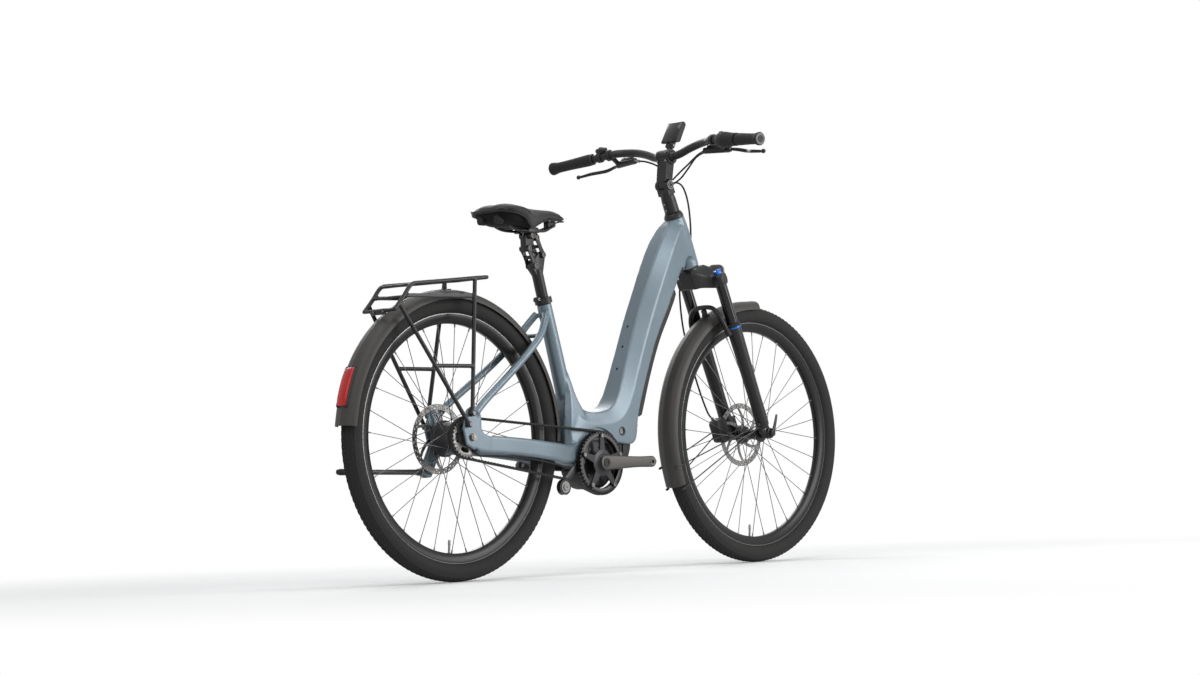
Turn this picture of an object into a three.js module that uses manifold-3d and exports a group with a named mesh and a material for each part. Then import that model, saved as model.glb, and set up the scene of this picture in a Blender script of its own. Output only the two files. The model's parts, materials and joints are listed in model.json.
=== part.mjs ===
// A step-through electric city bicycle with a belt drive, a suspension fork, a suspension seat post,
// hydraulic disc brakes, mudguards and a rear carrier.
// Frame: +X forward, +Y to the rider's left, +Z up, millimetres. The tyres stand on z = 0.
import * as THREE from "three";
import { mergeVertices } from "three/addons/utils/BufferGeometryUtils.js";
import Module from "manifold-3d";

const wasm = await Module();
wasm.setup();

// Driving dimensions
const deg = Math.PI / 180;
const wheelBase = 1180;
const tyreRadius = 364;
const tyreWidth = 53;
const bottomBracketX = 492;
const bottomBracketHeight = 292;
const headAngle = 68 * deg;
const forkOffset = 51;
const headTubeBottom = 833;
const headTubeLength = 148;
const seatAngle = 75 * deg;
const seatTubeTop = 716;
const seatTubeTopX = 349;
const gap = 0.3;
const runningGap = 0.4;
const overrun = 6;
const weld = 1e-4;

// Shape helpers
const v3 = (x, y, z) => new THREE.Vector3(x, y, z);
const mirrorY = (p) => v3(p.x, -p.y, p.z);
const lerp = THREE.MathUtils.lerp;

function bare(geometry) {
  const g = geometry.index ? geometry.toNonIndexed() : geometry.clone();
  const only = new THREE.BufferGeometry();
  only.setAttribute("position", g.getAttribute("position").clone());
  return mergeVertices(only, weld);
}

function solid(geometry) {
  const merged = bare(geometry);
  const index = merged.index.array;
  const kept = [];
  for (let i = 0; i < index.length; i += 3) {
    const [a, b, c] = [index[i], index[i + 1], index[i + 2]];
    if (a !== b && b !== c && a !== c) kept.push(a, b, c);
  }
  const mesh = new wasm.Mesh({
    numProp: 3,
    vertProperties: new Float32Array(merged.getAttribute("position").array),
    triVerts: new Uint32Array(kept),
  });
  mesh.merge();
  const made = new wasm.Manifold(mesh);
  if (made.volume() >= 0) return made;
  for (let i = 0; i < kept.length; i += 3) [kept[i], kept[i + 1]] = [kept[i + 1], kept[i]];
  mesh.triVerts = new Uint32Array(kept);
  return new wasm.Manifold(mesh);
}

function geometryOf(made) {
  const mesh = made.getMesh();
  const count = mesh.vertProperties.length / mesh.numProp;
  const places = new Float32Array(count * 3);
  for (let i = 0; i < count; i++) {
    places.set(mesh.vertProperties.subarray(i * mesh.numProp, i * mesh.numProp + 3), i * 3);
  }
  const g = new THREE.BufferGeometry();
  g.setAttribute("position", new THREE.BufferAttribute(places, 3));
  g.setIndex(new THREE.BufferAttribute(new Uint32Array(mesh.triVerts), 1));
  return g;
}

const joined = (pieces) => geometryOf(pieces.map(solid).reduce((a, b) => a.add(b)));
const cut = (piece, cutters) => geometryOf(
  cutters.map(solid).reduce((a, b) => a.subtract(b), solid(piece)),
);

// Moves, turns or mirrors a copy of a geometry
const moved = (g, x, y, z) => g.clone().translate(x, y, z);
function mirrored(g) {
  const flipped = bare(g).scale(1, -1, 1);
  const index = flipped.index.array;
  for (let i = 0; i < index.length; i += 3) [index[i], index[i + 1]] = [index[i + 1], index[i]];
  return flipped;
}

// A closed skin over rings of equal point counts, with flat ends
function loft(rings) {
  const n = rings[0].length;
  const places = rings.flat().flatMap((p) => [p.x, p.y, p.z]);
  const faces = [];
  for (let r = 0; r + 1 < rings.length; r++) {
    for (let i = 0; i < n; i++) {
      const j = (i + 1) % n;
      const [a, b, c, d] = [r * n + i, r * n + j, (r + 1) * n + i, (r + 1) * n + j];
      faces.push(a, b, d, a, d, c);
    }
  }
  for (const [ring, start, turn] of [[rings[0], 0, 1], [rings.at(-1), (rings.length - 1) * n, 0]]) {
    if (n === 3) {
      faces.push(start, start + (turn ? 2 : 1), start + (turn ? 1 : 2));
      continue;
    }
    const centre = ring.reduce((s, p) => s.add(p), v3(0, 0, 0)).divideScalar(n);
    const hub = places.push(centre.x, centre.y, centre.z) / 3 - 1;
    for (let i = 0; i < n; i++) {
      const j = (i + 1) % n;
      faces.push(hub, start + (turn ? j : i), start + (turn ? i : j));
    }
  }
  const g = new THREE.BufferGeometry();
  g.setAttribute("position", new THREE.Float32BufferAttribute(places, 3));
  g.setIndex(faces);
  return g;
}

// A ring of points around a centre, in the plane of two unit vectors
function ring(centre, u, v, ru, rv, sides, turn = 0) {
  return Array.from({ length: sides }, (_, i) => {
    const a = ((i + turn) / sides) * 2 * Math.PI;
    return centre.clone().addScaledVector(u, ru * Math.cos(a)).addScaledVector(v, rv * Math.sin(a));
  });
}

// A straight round bar between two points, tapered when its ends differ
function rod(from, to, radius, sides = 12, endRadius = radius) {
  const along = to.clone().sub(from).normalize();
  const side = Math.abs(along.y) < Math.SQRT1_2 ? v3(0, 1, 0) : v3(1, 0, 0);
  const u = side.clone().cross(along).normalize();
  const v = along.clone().cross(u);
  return loft([ring(from, u, v, radius, radius, sides), ring(to, u, v, endRadius, endRadius, sides)]);
}

// A bent tube along a smooth curve through points
function pipe(points, radius, sides, steps, tension = 0.5) {
  const curve = new THREE.CatmullRomCurve3(points, false, "catmullrom", tension);
  const shape = new THREE.Shape(
    Array.from({ length: sides }, (_, i) => {
      const a = (i / sides) * 2 * Math.PI;
      return new THREE.Vector2(radius * Math.cos(a), radius * Math.sin(a));
    }),
  );
  return new THREE.ExtrudeGeometry(shape, { steps, bevelEnabled: false, extrudePath: curve });
}

// A bent tube with a mitred ring at each of its points
function tube(points, radius, sides) {
  let side = v3(0, 0, 1);
  return loft(
    points.map((p, i) => {
      const along = points[Math.min(
        i + 1, points.length - 1,
      )].clone().sub(points[Math.max(i - 1, 0)]).normalize();
      const u = side.clone().addScaledVector(along, -side.dot(along)).normalize();
      side = u;
      return ring(p, u, along.clone().cross(u), radius, radius, sides);
    }),
  );
}

// A profile of [radius, height] pairs turned about an axis through the origin: "x", "y" or "z"
function turned(profile, axis, sides) {
  const closed = profile.map(([r, h]) => new THREE.Vector2(Math.max(r, 0), h));
  if (closed[0].x > 0 || closed.at(-1).x > 0) closed.push(closed[0].clone());
  const g = new THREE.LatheGeometry(closed, sides);
  if (axis === "z") g.rotateX(Math.PI / 2);
  if (axis === "x") g.rotateZ(-Math.PI / 2);
  return g;
}

// An outline of [x, z] pairs with holes, extruded across y about a middle plane
function slab(outline, thickness, middle = 0, holes = []) {
  const points = (list) => list.map(([x, z]) => new THREE.Vector2(x, z));
  const shape = new THREE.Shape(points(outline));
  shape.holes = holes.map((h) => new THREE.Path(points(h)));
  const g = new THREE.ExtrudeGeometry(shape, { depth: thickness, bevelEnabled: false });
  return g.translate(0, 0, -thickness / 2).rotateX(Math.PI / 2).translate(0, middle, 0);
}

// A block by its lowest and highest corners
function block(low, high) {
  const size = high.clone().sub(low);
  const g = new THREE.BoxGeometry(size.x, size.y, size.z);
  return g.translate((low.x + high.x) / 2, (low.y + high.y) / 2, (low.z + high.z) / 2);
}

// Points of an arc in a plane, from one angle to another
function arc(cx, cz, radius, from, to, steps) {
  return Array.from({ length: steps + 1 }, (_, i) => {
    const a = lerp(from, to, i / steps);
    return [cx + radius * Math.cos(a), cz + radius * Math.sin(a)];
  });
}

const circle = (cx, cz, radius, sides) => arc(
  cx, cz, radius, 0, 2 * Math.PI * (1 - 1 / sides), sides - 1,
);

// Smooth values through a table at its own keys
function smooth(keys, values, at) {
  const i = Math.min(Math.max(keys.findIndex((k) => k >= at), 1), keys.length - 1);
  const t = (at - keys[i - 1]) / (keys[i] - keys[i - 1]);
  const [p0, p1, p2, p3] = [i - 2, i - 1, i, i + 1].map(
    (k) => values[Math.min(Math.max(k, 0), values.length - 1)],
  );
  const [c1, c2, c3] = [p2 - p0, 2 * p0 - 5 * p1 + 4 * p2 - p3, 3 * (p1 - p2) + p3 - p0];
  return p1 + (c1 * t + c2 * t ** 2 + c3 * t ** 3) / 2;
}

const bike = new THREE.Group();
const looks = {
  frame: { color: 0x7d8e98, roughness: 0.42, metalness: 0.35 },
  black: { color: 0x141416, roughness: 0.5, metalness: 0.2 },
  satin: { color: 0x26272a, roughness: 0.38, metalness: 0.6 },
  steel: { color: 0xb9bbbd, roughness: 0.3, metalness: 0.9 },
  rubber: { color: 0x1a1a1b, roughness: 0.85, metalness: 0 },
  grey: { color: 0x6a6965, roughness: 0.45, metalness: 0.5 },
  blue: { color: 0x1c57b5, roughness: 0.4, metalness: 0.4 },
  red: { color: 0xb80d12, roughness: 0.25, metalness: 0 },
  glass: { color: 0xd9dcdf, roughness: 0.15, metalness: 0.1 },
  hide: { color: 0x2a2827, roughness: 0.7, metalness: 0 },
};

function add(group, name, geometry, look) {
  const mesh = new THREE.Mesh(geometryOf(solid(geometry)), new THREE.MeshStandardMaterial(looks[look]));
  mesh.name = name;
  group.add(mesh);
  return mesh;
}

const rear = new THREE.Group();
const front = new THREE.Group();
const cockpit = new THREE.Group();
const seat = new THREE.Group();

// Wheels: each is written about the y axis and set at its axle
const wheelFacets = 24;
const tyreHeight = 56.5;
const beadRadius = tyreRadius - tyreHeight;
const rimLipHeight = 10;
const rimRadius = beadRadius + rimLipHeight;
const rimHalfWidth = 14;
const rimLipHalf = 12.6;
const rimFloorHalf = 11.6;
const rimFloorDrop = 0.6;
const rimFloor = beadRadius - rimFloorDrop;
const rimBedDepth = 14.5;
const rimBed = beadRadius - rimBedDepth;
const rimBedHalfWidth = 10.8;
const tyreShares = [
  [1, 0], [0.88, 0.8], [0.58, 1], [0.26, 0.6], [0.2, 0.45], [0, 0.4],
  [0, 0.27], [0.24, 0.32], [0.58, 0.84], [0.93, 0],
];

function tyre() {
  const half = tyreShares.map(([r, w]) => [lerp(beadRadius, tyreRadius, r), (w * tyreWidth) / 2]);
  const other = half.slice(1, -1).reverse().map(([r, y]) => [r, -y]);
  return turned([...half, ...other, half[0]], "y", wheelFacets);
}

function rim() {
  const half = [
    [rimBed, rimBedHalfWidth],
    [rimRadius, rimHalfWidth],
    [rimRadius, rimLipHalf],
    [rimFloor, rimFloorHalf],
  ];
  const other = half.map(([r, y]) => [r, -y]).reverse();
  return turned([...half, ...other, half[0]], "y", wheelFacets);
}

// Spokes run from the two flanges to the rim bed; neighbours lean opposite ways and cross
const spokeCount = 32;
const spokeRadius = 1.25;
const spokeEnd = rimBed * Math.cos(Math.PI / wheelFacets) - 2 * gap;
const spokeStagger = 2.2;
const spokeSides = 3;
const flangeThickness = 6.6;
const spokeSeat = 1.9;
const spokeDepth = 4;

function spokes(flangeRadius, flangeLeft, flangeRight, lean, phase) {
  return Array.from({ length: spokeCount }, (_, i) => {
    const side = i % 2 ? -1 : 1;
    const turn = (i >> 1) % 2 ? 1 : -1;
    const atRim = phase + (i / spokeCount) * 2 * Math.PI;
    const atHub = atRim + turn * lean;
    const flange = side > 0 ? flangeLeft : flangeRight;
    const inner = v3(
      flangeRadius * Math.cos(atHub), flange + turn * spokeSeat, flangeRadius * Math.sin(atHub),
    );
    const outer = v3(spokeEnd * Math.cos(atRim), side * spokeStagger, spokeEnd * Math.sin(atRim));
    return rod(inner, outer, spokeRadius, spokeSides);
  });
}

// A hub shell with two flanges and, on its left, the seat of the brake rotor
function hubShell(shell, flangeRadius, flangeLeft, flangeRight, leftEnd, rightEnd, neck) {
  const bore = axleRadius + runningGap;
  const half = flangeThickness / 2;
  return turned(
    [
      [bore, rightEnd],
      [neck, rightEnd],
      [neck, flangeRight - half],
      [flangeRadius, flangeRight - half],
      [flangeRadius, flangeRight + half],
      [shell, flangeRight + half],
      [shell, flangeLeft - half],
      [flangeRadius, flangeLeft - half],
      [flangeRadius, flangeLeft + half],
      [rotorSeatRadius, flangeLeft + half],
      [rotorSeatRadius, leftEnd],
      [bore, leftEnd],
      [bore, rightEnd],
    ],
    "y",
    hubFacets,
  );
}

const hubFacets = 12;
const axleRadius = 6;
const axleFacets = 10;
const rearFlange = 47;
const rearShell = 41;
const rearFlangeY = 30;
const rearHubLeft = 63;
const rearHubRight = -40.5;
const rotorSeatRadius = 17;
const rearNeck = 16;
const rearSpokeLean = 46 * deg;
const rearSpokePhase = 7.6 * deg;
const frontFlange = 24;
const frontShell = 15;
const frontFlangeLeft = 26;
const frontFlangeRight = -34;
const frontHubLeft = 48.4;
const frontHubRight = -48.4;
const frontNeck = 12;
const frontSpokeLean = 64 * deg;
const frontSpokePhase = 8.2 * deg;

function rearHub() {
  const shell = hubShell(
    rearShell, rearFlange, rearFlangeY, -rearFlangeY, rearHubLeft, rearHubRight, rearNeck,
  );
  return joined([
    shell,
    ...spokes(rearFlange - spokeDepth, rearFlangeY, -rearFlangeY, rearSpokeLean, rearSpokePhase),
  ]);
}

function frontHub() {
  const shell = hubShell(
    frontShell, frontFlange, frontFlangeLeft, frontFlangeRight, frontHubLeft, frontHubRight, frontNeck,
  );
  return joined([
    shell,
    ...spokes(
      frontFlange - spokeDepth, frontFlangeLeft, frontFlangeRight, frontSpokeLean, frontSpokePhase,
    ),
  ]);
}

// Brake rotors: a braking ring on six slanted arms
const rotorRadius = 90;
const rotorBand = 15;
const rotorThickness = 1.8;
const rotorCore = 31;
const rotorArms = 6;
const rotorArmShare = 0.72;
const rotorFacets = 26;
const rotorSlant = 22 * deg;
const rearRotorY = 53;
const frontRotorY = 40;

function rotor() {
  const inner = rotorRadius - rotorBand;
  const pitch = (2 * Math.PI) / rotorArms;
  const holes = Array.from({ length: rotorArms }, (_, i) => [
    ...arc(0, 0, inner, i * pitch, (i + rotorArmShare) * pitch, 3),
    ...arc(0, 0, rotorCore, (i + rotorArmShare) * pitch - rotorSlant, i * pitch - rotorSlant, 1),
  ]);
  holes.push(circle(0, 0, rotorSeatRadius + 2 * gap, 14));
  return slab(circle(0, 0, rotorRadius, rotorFacets), rotorThickness, 0, holes);
}

function wheel(group, x, name, hub, rotorY) {
  const set = (piece, look, g) => add(group, name + "_" + piece, moved(g, x, 0, tyreRadius), look);
  set("tyre", "rubber", tyre());
  set("rim", "black", rim());
  set("hub", "satin", hub);
  set("rotor", "steel", moved(rotor(), 0, rotorY, 0));
}

wheel(rear, 0, "rear", rearHub(), rearRotorY);
wheel(front, wheelBase, "front", frontHub(), frontRotorY);

// Belt drive: the belt's run follows the tangents between the front pulley, the idler and the rear pulley
const beltY = -48;
const beltWidth = 11;
const beltThickness = 4.4;
const beltPitch = 11;
const frontTeeth = 48;
const rearTeeth = 30;
const toothDepth = 3.6;
const pulleyWidth = 13;
const tipDrop = 1.6;
const idlerRadius = 19;
const idlerBack = 141;
const idlerDrop = 61.5;
const idlerX = bottomBracketX - idlerBack;
const idlerZ = bottomBracketHeight - idlerDrop;
const idlerWidth = 14.6;
const idlerBore = 6.4;
const pulleyTip = (teeth) => (teeth * beltPitch) / (2 * Math.PI) - tipDrop;
const rearPulleyTip = pulleyTip(rearTeeth);
const frontPulleyTip = pulleyTip(frontTeeth);

function toothed(tip, teeth) {
  const pitch = (2 * Math.PI) / teeth;
  const toothShares = [[0, -1], [0.28, 0], [0.72, 0]];
  return Array.from({ length: teeth }, (_, i) =>
    toothShares.map(([at, low]) => {
      const r = tip + low * toothDepth;
      return [r * Math.cos((i + at) * pitch), r * Math.sin((i + at) * pitch)];
    }),
  ).flat();
}

// The points of a band's face, at an offset to the left of its travel
function beltFace(offset) {
  const half = beltThickness / 2;
  const wheels = [
    { x: 0, z: tyreRadius, r: rearPulleyTip + gap + half, s: 1, steps: 13 },
    { x: bottomBracketX, z: bottomBracketHeight, r: frontPulleyTip + gap + half, s: 1, steps: 16 },
    { x: idlerX, z: idlerZ, r: idlerRadius + gap + half, s: -1, steps: 4 },
  ];
  const normals = wheels.map((a, i) => {
    const b = wheels[(i + 1) % wheels.length];
    const far = Math.hypot(b.x - a.x, b.z - a.z);
    return Math.atan2(b.z - a.z, b.x - a.x) + Math.acos((a.s * a.r - b.s * b.r) / far);
  });
  return wheels.flatMap((w, i) => {
    const start = normals[(i + wheels.length - 1) % wheels.length];
    const wrap = THREE.MathUtils.euclideanModulo(w.s * (start - normals[i]), 2 * Math.PI);
    const clear = 1 / Math.cos(wrap / w.steps / 2);
    return arc(w.x, w.z, (w.s * w.r + offset) * clear, start, start - w.s * wrap, w.steps);
  });
}

function driveBelt() {
  const half = beltThickness / 2;
  return cut(slab(beltFace(half), beltWidth, beltY), [slab(beltFace(-half), beltWidth + overrun, beltY)]);
}

// The rear pulley is a toothed ring on three arms over the hub's neck
const rearPulleyBand = 9;
const rearPulleyCore = 25;
const rearPulleyArms = 5;

function ringHoles(arms, outer, inner, armShare, steps, phase) {
  const pitch = (2 * Math.PI) / arms;
  return Array.from({ length: arms }, (_, i) => [
    ...arc(0, 0, outer, phase + i * pitch, phase + (i + armShare) * pitch, steps),
    ...arc(0, 0, inner, phase + (i + armShare) * pitch, phase + i * pitch, steps - 1),
  ]);
}

function rearPulley() {
  const root = rearPulleyTip - toothDepth;
  const outer = root - rearPulleyBand;
  const holes = ringHoles(rearPulleyArms, outer, rearPulleyCore, 0.7, 3, 0);
  holes.push(circle(0, 0, axleRadius + runningGap, axleFacets));
  return moved(slab(toothed(rearPulleyTip, rearTeeth), pulleyWidth, beltY, holes), 0, 0, tyreRadius);
}

// The front pulley is a toothed ring that the right crank's five arms carry
const frontPulleyInner = 68;
const spiderArms = 5;
const ringFacets = 22;

function frontPulley() {
  const holes = [circle(0, 0, frontPulleyInner, ringFacets)];
  const g = slab(toothed(frontPulleyTip, frontTeeth), pulleyWidth, beltY, holes);
  return moved(g, bottomBracketX, 0, bottomBracketHeight);
}
add(rear, "drive_belt", driveBelt(), "rubber");
add(rear, "rear_pulley", rearPulley(), "steel");
add(rear, "front_pulley", frontPulley(), "satin");

// Frame: stations of the faceted main tube, from the head down round the low step to the seat tube.
// Each holds crest, crease and lower edge as [x, z, half width].
const tubeStations = [
  [[853, 958, 13], [870, 949, 25], [895, 943, 20]],
  [[830, 934, 19], [858, 919, 33], [905, 896, 26]],
  [[784, 875, 23], [819, 858, 40], [868, 827, 34]],
  [[722, 765, 22], [758, 747, 42], [806, 727, 40]],
  [[674, 665, 23], [710, 647, 42], [747, 629, 40]],
  [[632, 565, 25], [667, 547, 42], [702, 529, 40]],
  [[594, 478, 29], [630, 458, 42], [663, 425, 40]],
  [[562, 441, 33], [592, 412, 43], [640, 346, 41]],
  [[520, 429, 35], [532, 396, 43], [560, 346, 41]],
  [[480, 428, 34], [474, 398, 42], [468, 346, 41]],
  [[452, 440, 26], [436, 414, 38], [404, 350, 39]],
  [[438, 470, 20], [416, 452, 26], [390, 420, 27]],
];

function mainTube() {
  return loft(
    tubeStations.map(([crest, crease, low]) => {
      const side = [[crest[0], crest[1], crest[2]], crease, low].map(([x, z, y]) => v3(x, y, z));
      const other = side.map(mirrorY).reverse();
      return [...side, ...other];
    }),
  );
}

// A point on the steering axis or beside it: forward, left and up in the steering group's own frame
const headFromAxle = forkOffset / Math.sin(headAngle) + (headTubeBottom - tyreRadius) / Math.tan(headAngle);
const headX = wheelBase - headFromAxle;
const rake = Math.PI / 2 - headAngle;
function steer(x, y, z) {
  return v3(
    headX + x * Math.cos(rake) - z * Math.sin(rake),
    y,
    headTubeBottom + x * Math.sin(rake) + z * Math.cos(rake),
  );
}
const onSteer = (g) => g.clone().rotateY(-rake).translate(headX, 0, headTubeBottom);

// A point on the seat tube's axis at a height
const seatPoint = (z) => v3(seatTubeTopX + (seatTubeTop - z) / Math.tan(seatAngle), 0, z);
const seatTubeRadius = 19.5;
const seatBore = 15.9;
const seatBoreDepth = 240;
const headTubeRadius = 28;
const headBore = 19;
const dropoutY = 67;
const dropoutThickness = 6.5;
const stayRadius = 9;
// Points beside the bottom bracket, and points beside the rear axle
const fromBracket = (points) => points.map(
  ([x, z]) => [bottomBracketX + x, bottomBracketHeight + z],
);
const fromAxle = (points) => points.map(([x, z]) => [x, tyreRadius + z]);
const stayRise = 61;
const stayPoints = [
  v3(16, 70, tyreRadius + stayRise), v3(196, 51, 542), v3(280, 42, 618), v3(338, 18, 690),
];
// The chainstay's rear half goes with the axle and its front half with the bottom bracket
const stayRearStations = [
  [24, 0, -37, 61, 73],
  [100, 0, -40, 59, 73],
  [190, -7, -46, 56, 72],
];
const stayFrontStations = [
  [-202, 55, 13, 46, 70],
  [-152, 50, 4, 38, 64],
  [-120, 48, 2, 28, 56],
  [-88, 51, 6, 18, 46],
];
const chainstayStations = [
  ...stayRearStations.map(([x, top, low, ...y]) => [x, tyreRadius + top, tyreRadius + low, ...y]),
  ...stayFrontStations.map(([x, top, low, ...y]) => [
    bottomBracketX + x, bottomBracketHeight + top, bottomBracketHeight + low, ...y,
  ]),
];
const motorPocketHalf = 33.5;
const motorRadius = 62;
const crescentRadius = 95;
const crescentDepth = 9;
const kickPivotX = -26;
const kickPivotDrop = 83;
const kickPivotZ = tyreRadius - kickPivotDrop;
const kickHoleRadius = 5;
const dropoutOutline = fromAxle([
  [-20, -19], [-31, 24], [-14, 72], [20, 76], [34, 52], [32, 8], [60, 0], [60, -38], [24, -34],
  [0, -24],
]);
const standOutline = fromAxle([
  [-20, -19], [-44, -68], [-40, -94], [-12, -96], [4, -64], [26, -34], [0, -4],
]);

function chainstay() {
  return loft(
    chainstayStations.map(([x, top, low, inner, outer]) => {
      const bevel = (outer - inner) / 4;
      return [
        v3(x, inner, low + bevel), v3(x, inner, top - bevel), v3(x, inner + bevel, top),
        v3(x, outer - bevel, top),
        v3(x, outer, top - bevel), v3(x, outer, low + bevel), v3(x, outer - bevel, low),
        v3(x, inner + bevel, low),
      ];
    }),
  );
}

const seatstay = () => tube(stayPoints, stayRadius, 8);

function dropout(stand) {
  const middle = dropoutY + dropoutThickness / 2;
  const hole = circle(0, tyreRadius, axleRadius + 2 * gap, axleFacets);
  const plate = slab(dropoutOutline, dropoutThickness, middle);
  const plates = stand ? joined([plate, slab(standOutline, dropoutThickness, middle)]) : plate;
  const drill = [slab(hole, dropoutThickness + overrun, middle)];
  if (stand) drill.push(slab(
    circle(kickPivotX, kickPivotZ, kickHoleRadius + gap, axleFacets),
    dropoutThickness + overrun,
    middle,
  ));
  return cut(plates, drill);
}

// Battery bay: a straight pocket from below, along the tube, between its inner line and the outside
const bayLow = [607, 440];
const bayLength = 386;
const bayAngle = 66.7 * deg;
const bayHalf = 30;
const bayDepth = 110;
const bayPoint = (along, out) => [
  bayLow[0] + along * Math.cos(bayAngle) + out * Math.sin(bayAngle),
  bayLow[1] + along * Math.sin(bayAngle) - out * Math.cos(bayAngle),
];
const bayOutline = [
  bayPoint(0, 0), bayPoint(bayLength, 0), bayPoint(bayLength, bayDepth), bayPoint(0, bayDepth),
];
const lockX = 591;
const lockZ = 376;
const lockRadius = 9;
const lockInner = -30;
const lockOuter = -45;

// Rear yoke, seat tube and bridges
const yokeOutline = fromBracket([
  [-108, 60], [-104, 118], [-98, 154], [-88, 188], [-52, 188], [-22, 138], [-12, 48], [-22, 8],
  [-62, -8], [-96, 0],
]);
const motorPocket = fromBracket([[-54, -92], [-54, 60], [-36, 80], [68, 80], [112, 58], [112, -92]]);
const yokeHalf = 37;
const bridgeX = 283;
const bridgeZ = 628;
const bridgeRadius = 6;

function motorBay() {
  const c = [bottomBracketX, bottomBracketHeight];
  return [
    slab(motorPocket, 2 * motorPocketHalf),
    slab(circle(...c, motorRadius + gap + gap, ringFacets), 3 * yokeHalf),
    slab(circle(...c, crescentRadius, ringFacets), crescentDepth * 2, -yokeHalf - crescentDepth),
  ];
}

function frame() {
  const seatTop = seatPoint(seatTubeTop);
  const seatLow = seatPoint(bottomBracketHeight + motorRadius + headTubeRadius + seatTubeRadius);
  const side = [chainstay(), seatstay()];
  const body = joined([
    mainTube(),
    slab(yokeOutline, 2 * yokeHalf),
    rod(seatTop, seatLow, seatTubeRadius, 16, seatTubeRadius + 3),
    onSteer(turned(
      [[0, 0], [headTubeRadius, 0], [headTubeRadius, headTubeLength], [0, headTubeLength]],
      "z",
      18,
    )),
    ...side,
    ...side.map(mirrored),
    dropout(true),
    mirrored(dropout(false)),
    rod(v3(bridgeX, -36, bridgeZ), v3(bridgeX, 36, bridgeZ), bridgeRadius, 8),
  ]);
  const bore = turned(
    [
      [0, -overrun], [headBore, -overrun], [headBore, headTubeLength + overrun],
      [0, headTubeLength + overrun],
    ],
    "z",
    12,
  );
  const seatDir = seatTop.clone().sub(seatLow).normalize();
  return cut(body, [
    onSteer(bore),
    rod(
      seatTop.clone().addScaledVector(seatDir, overrun),
      seatTop.clone().addScaledVector(seatDir, -seatBoreDepth), seatBore, 14,
    ),
    slab(bayOutline, 2 * bayHalf),
    slab(
      circle(lockX, lockZ, lockRadius + gap, 16), lockInner - lockOuter + overrun,
      lockInner - (lockInner - lockOuter + overrun) / 2 + gap,
    ),
    ...motorBay(),
  ]);
}
add(rear, "frame", frame(), "frame");

// Rear axle, hub interface with the shift cable, kickstand
const axleHead = 10;
const axleHeadLength = 7;
const sideY = dropoutY + dropoutThickness;

function rearAxle() {
  const at = (y) => v3(0, y, tyreRadius);
  return joined([
    rod(at(-sideY - axleHeadLength), at(sideY + axleHeadLength), axleRadius, axleFacets),
    rod(at(-sideY - axleHeadLength), at(-sideY - gap), axleHead, 8),
    rod(at(sideY + gap), at(sideY + axleHeadLength), axleHead, 6),
  ]);
}
const interfaceRadius = 21;
const interfaceOuter = -66.5;
const interfaceInner = -55;
const cableRadius = 2.6;
const cableAtHub = [
  [9, -59, -14], [17, -60, -33], [33, -61, -46], [70, -61, -48], [110, -62, -49], [190, -62, -54],
];
const cableAtBracket = [
  [-202, -57, 4], [-142, -49, -7], [-100, -34, -13], [-65, -22, -13],
];
const cableRun = [
  ...cableAtHub.map(([x, y, z]) => v3(x, y, tyreRadius + z)),
  ...cableAtBracket.map(([x, y, z]) => v3(bottomBracketX + x, y, bottomBracketHeight + z)),
];

function hubInterface() {
  const bore = axleRadius + gap;
  const body = turned(
    [
      [bore, interfaceOuter], [interfaceRadius, interfaceOuter], [interfaceRadius, interfaceInner],
      [bore, interfaceInner], [bore, interfaceOuter],
    ],
    "y",
    hubFacets,
  );
  return joined([moved(body, 0, 0, tyreRadius), pipe(cableRun, cableRadius, 4, 14)]);
}
const kickLength = 279;
const kickRise = 6;
const kickTop = 7.5;
const kickTip = 6;
const kickSplay = 16;

function kickstand() {
  const y = sideY + kickTop + gap;
  const root = v3(kickPivotX, y, kickPivotZ);
  const tip = v3(kickPivotX - kickLength, y + kickSplay, kickPivotZ + kickRise);
  const pin = rod(
    v3(kickPivotX, dropoutY - gap, kickPivotZ), v3(kickPivotX, y, kickPivotZ), kickHoleRadius, axleFacets,
  );
  const boss = rod(
    v3(kickPivotX, sideY + gap, kickPivotZ), v3(kickPivotX, y + kickTop, kickPivotZ), 2 * kickTop, 12,
  );
  return joined([rod(root, tip, kickTop, 10, kickTip), pin, boss]);
}
add(rear, "rear_axle", rearAxle(), "satin");
add(rear, "hub_interface", hubInterface(), "black");
add(rear, "kickstand_leg", kickstand(), "grey");

// Mudguards: an arched strip round the axle
const fenderClearance = 12;
const fenderRadius = tyreRadius + fenderClearance;
const fenderHalf = 31;
const fenderCrown = 15;
const fenderDrop = 9;
const fenderSkin = 2.4;
const fenderStep = 9 * deg;
const rearFenderFrom = -2 * deg;
const rearFenderSteps = 20;
const frontFenderFrom = 86 * deg;
const frontFenderSteps = 13;

// A strip's sections from one angle on, a step apart
function strip(x, z, from, steps, radius, crown, half, drop, skin) {
  return loft(
    Array.from({ length: steps + 1 }, (_, i) => {
      const a = from + i * fenderStep;
      const at = (r, y) => v3(x + r * Math.cos(a), y, z + r * Math.sin(a));
      return [
        at(radius + skin, crown), at(radius + skin - drop, half), at(radius - drop, half - skin),
        at(radius, crown - skin / 2),
        at(radius, skin / 2 - crown), at(radius - drop, skin - half), at(radius + skin - drop, -half),
        at(radius + skin, -crown),
      ];
    }),
  );
}
const rackBarX = -10;
const rackBarZ = 765;
const rackTube = 5.5;

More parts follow.
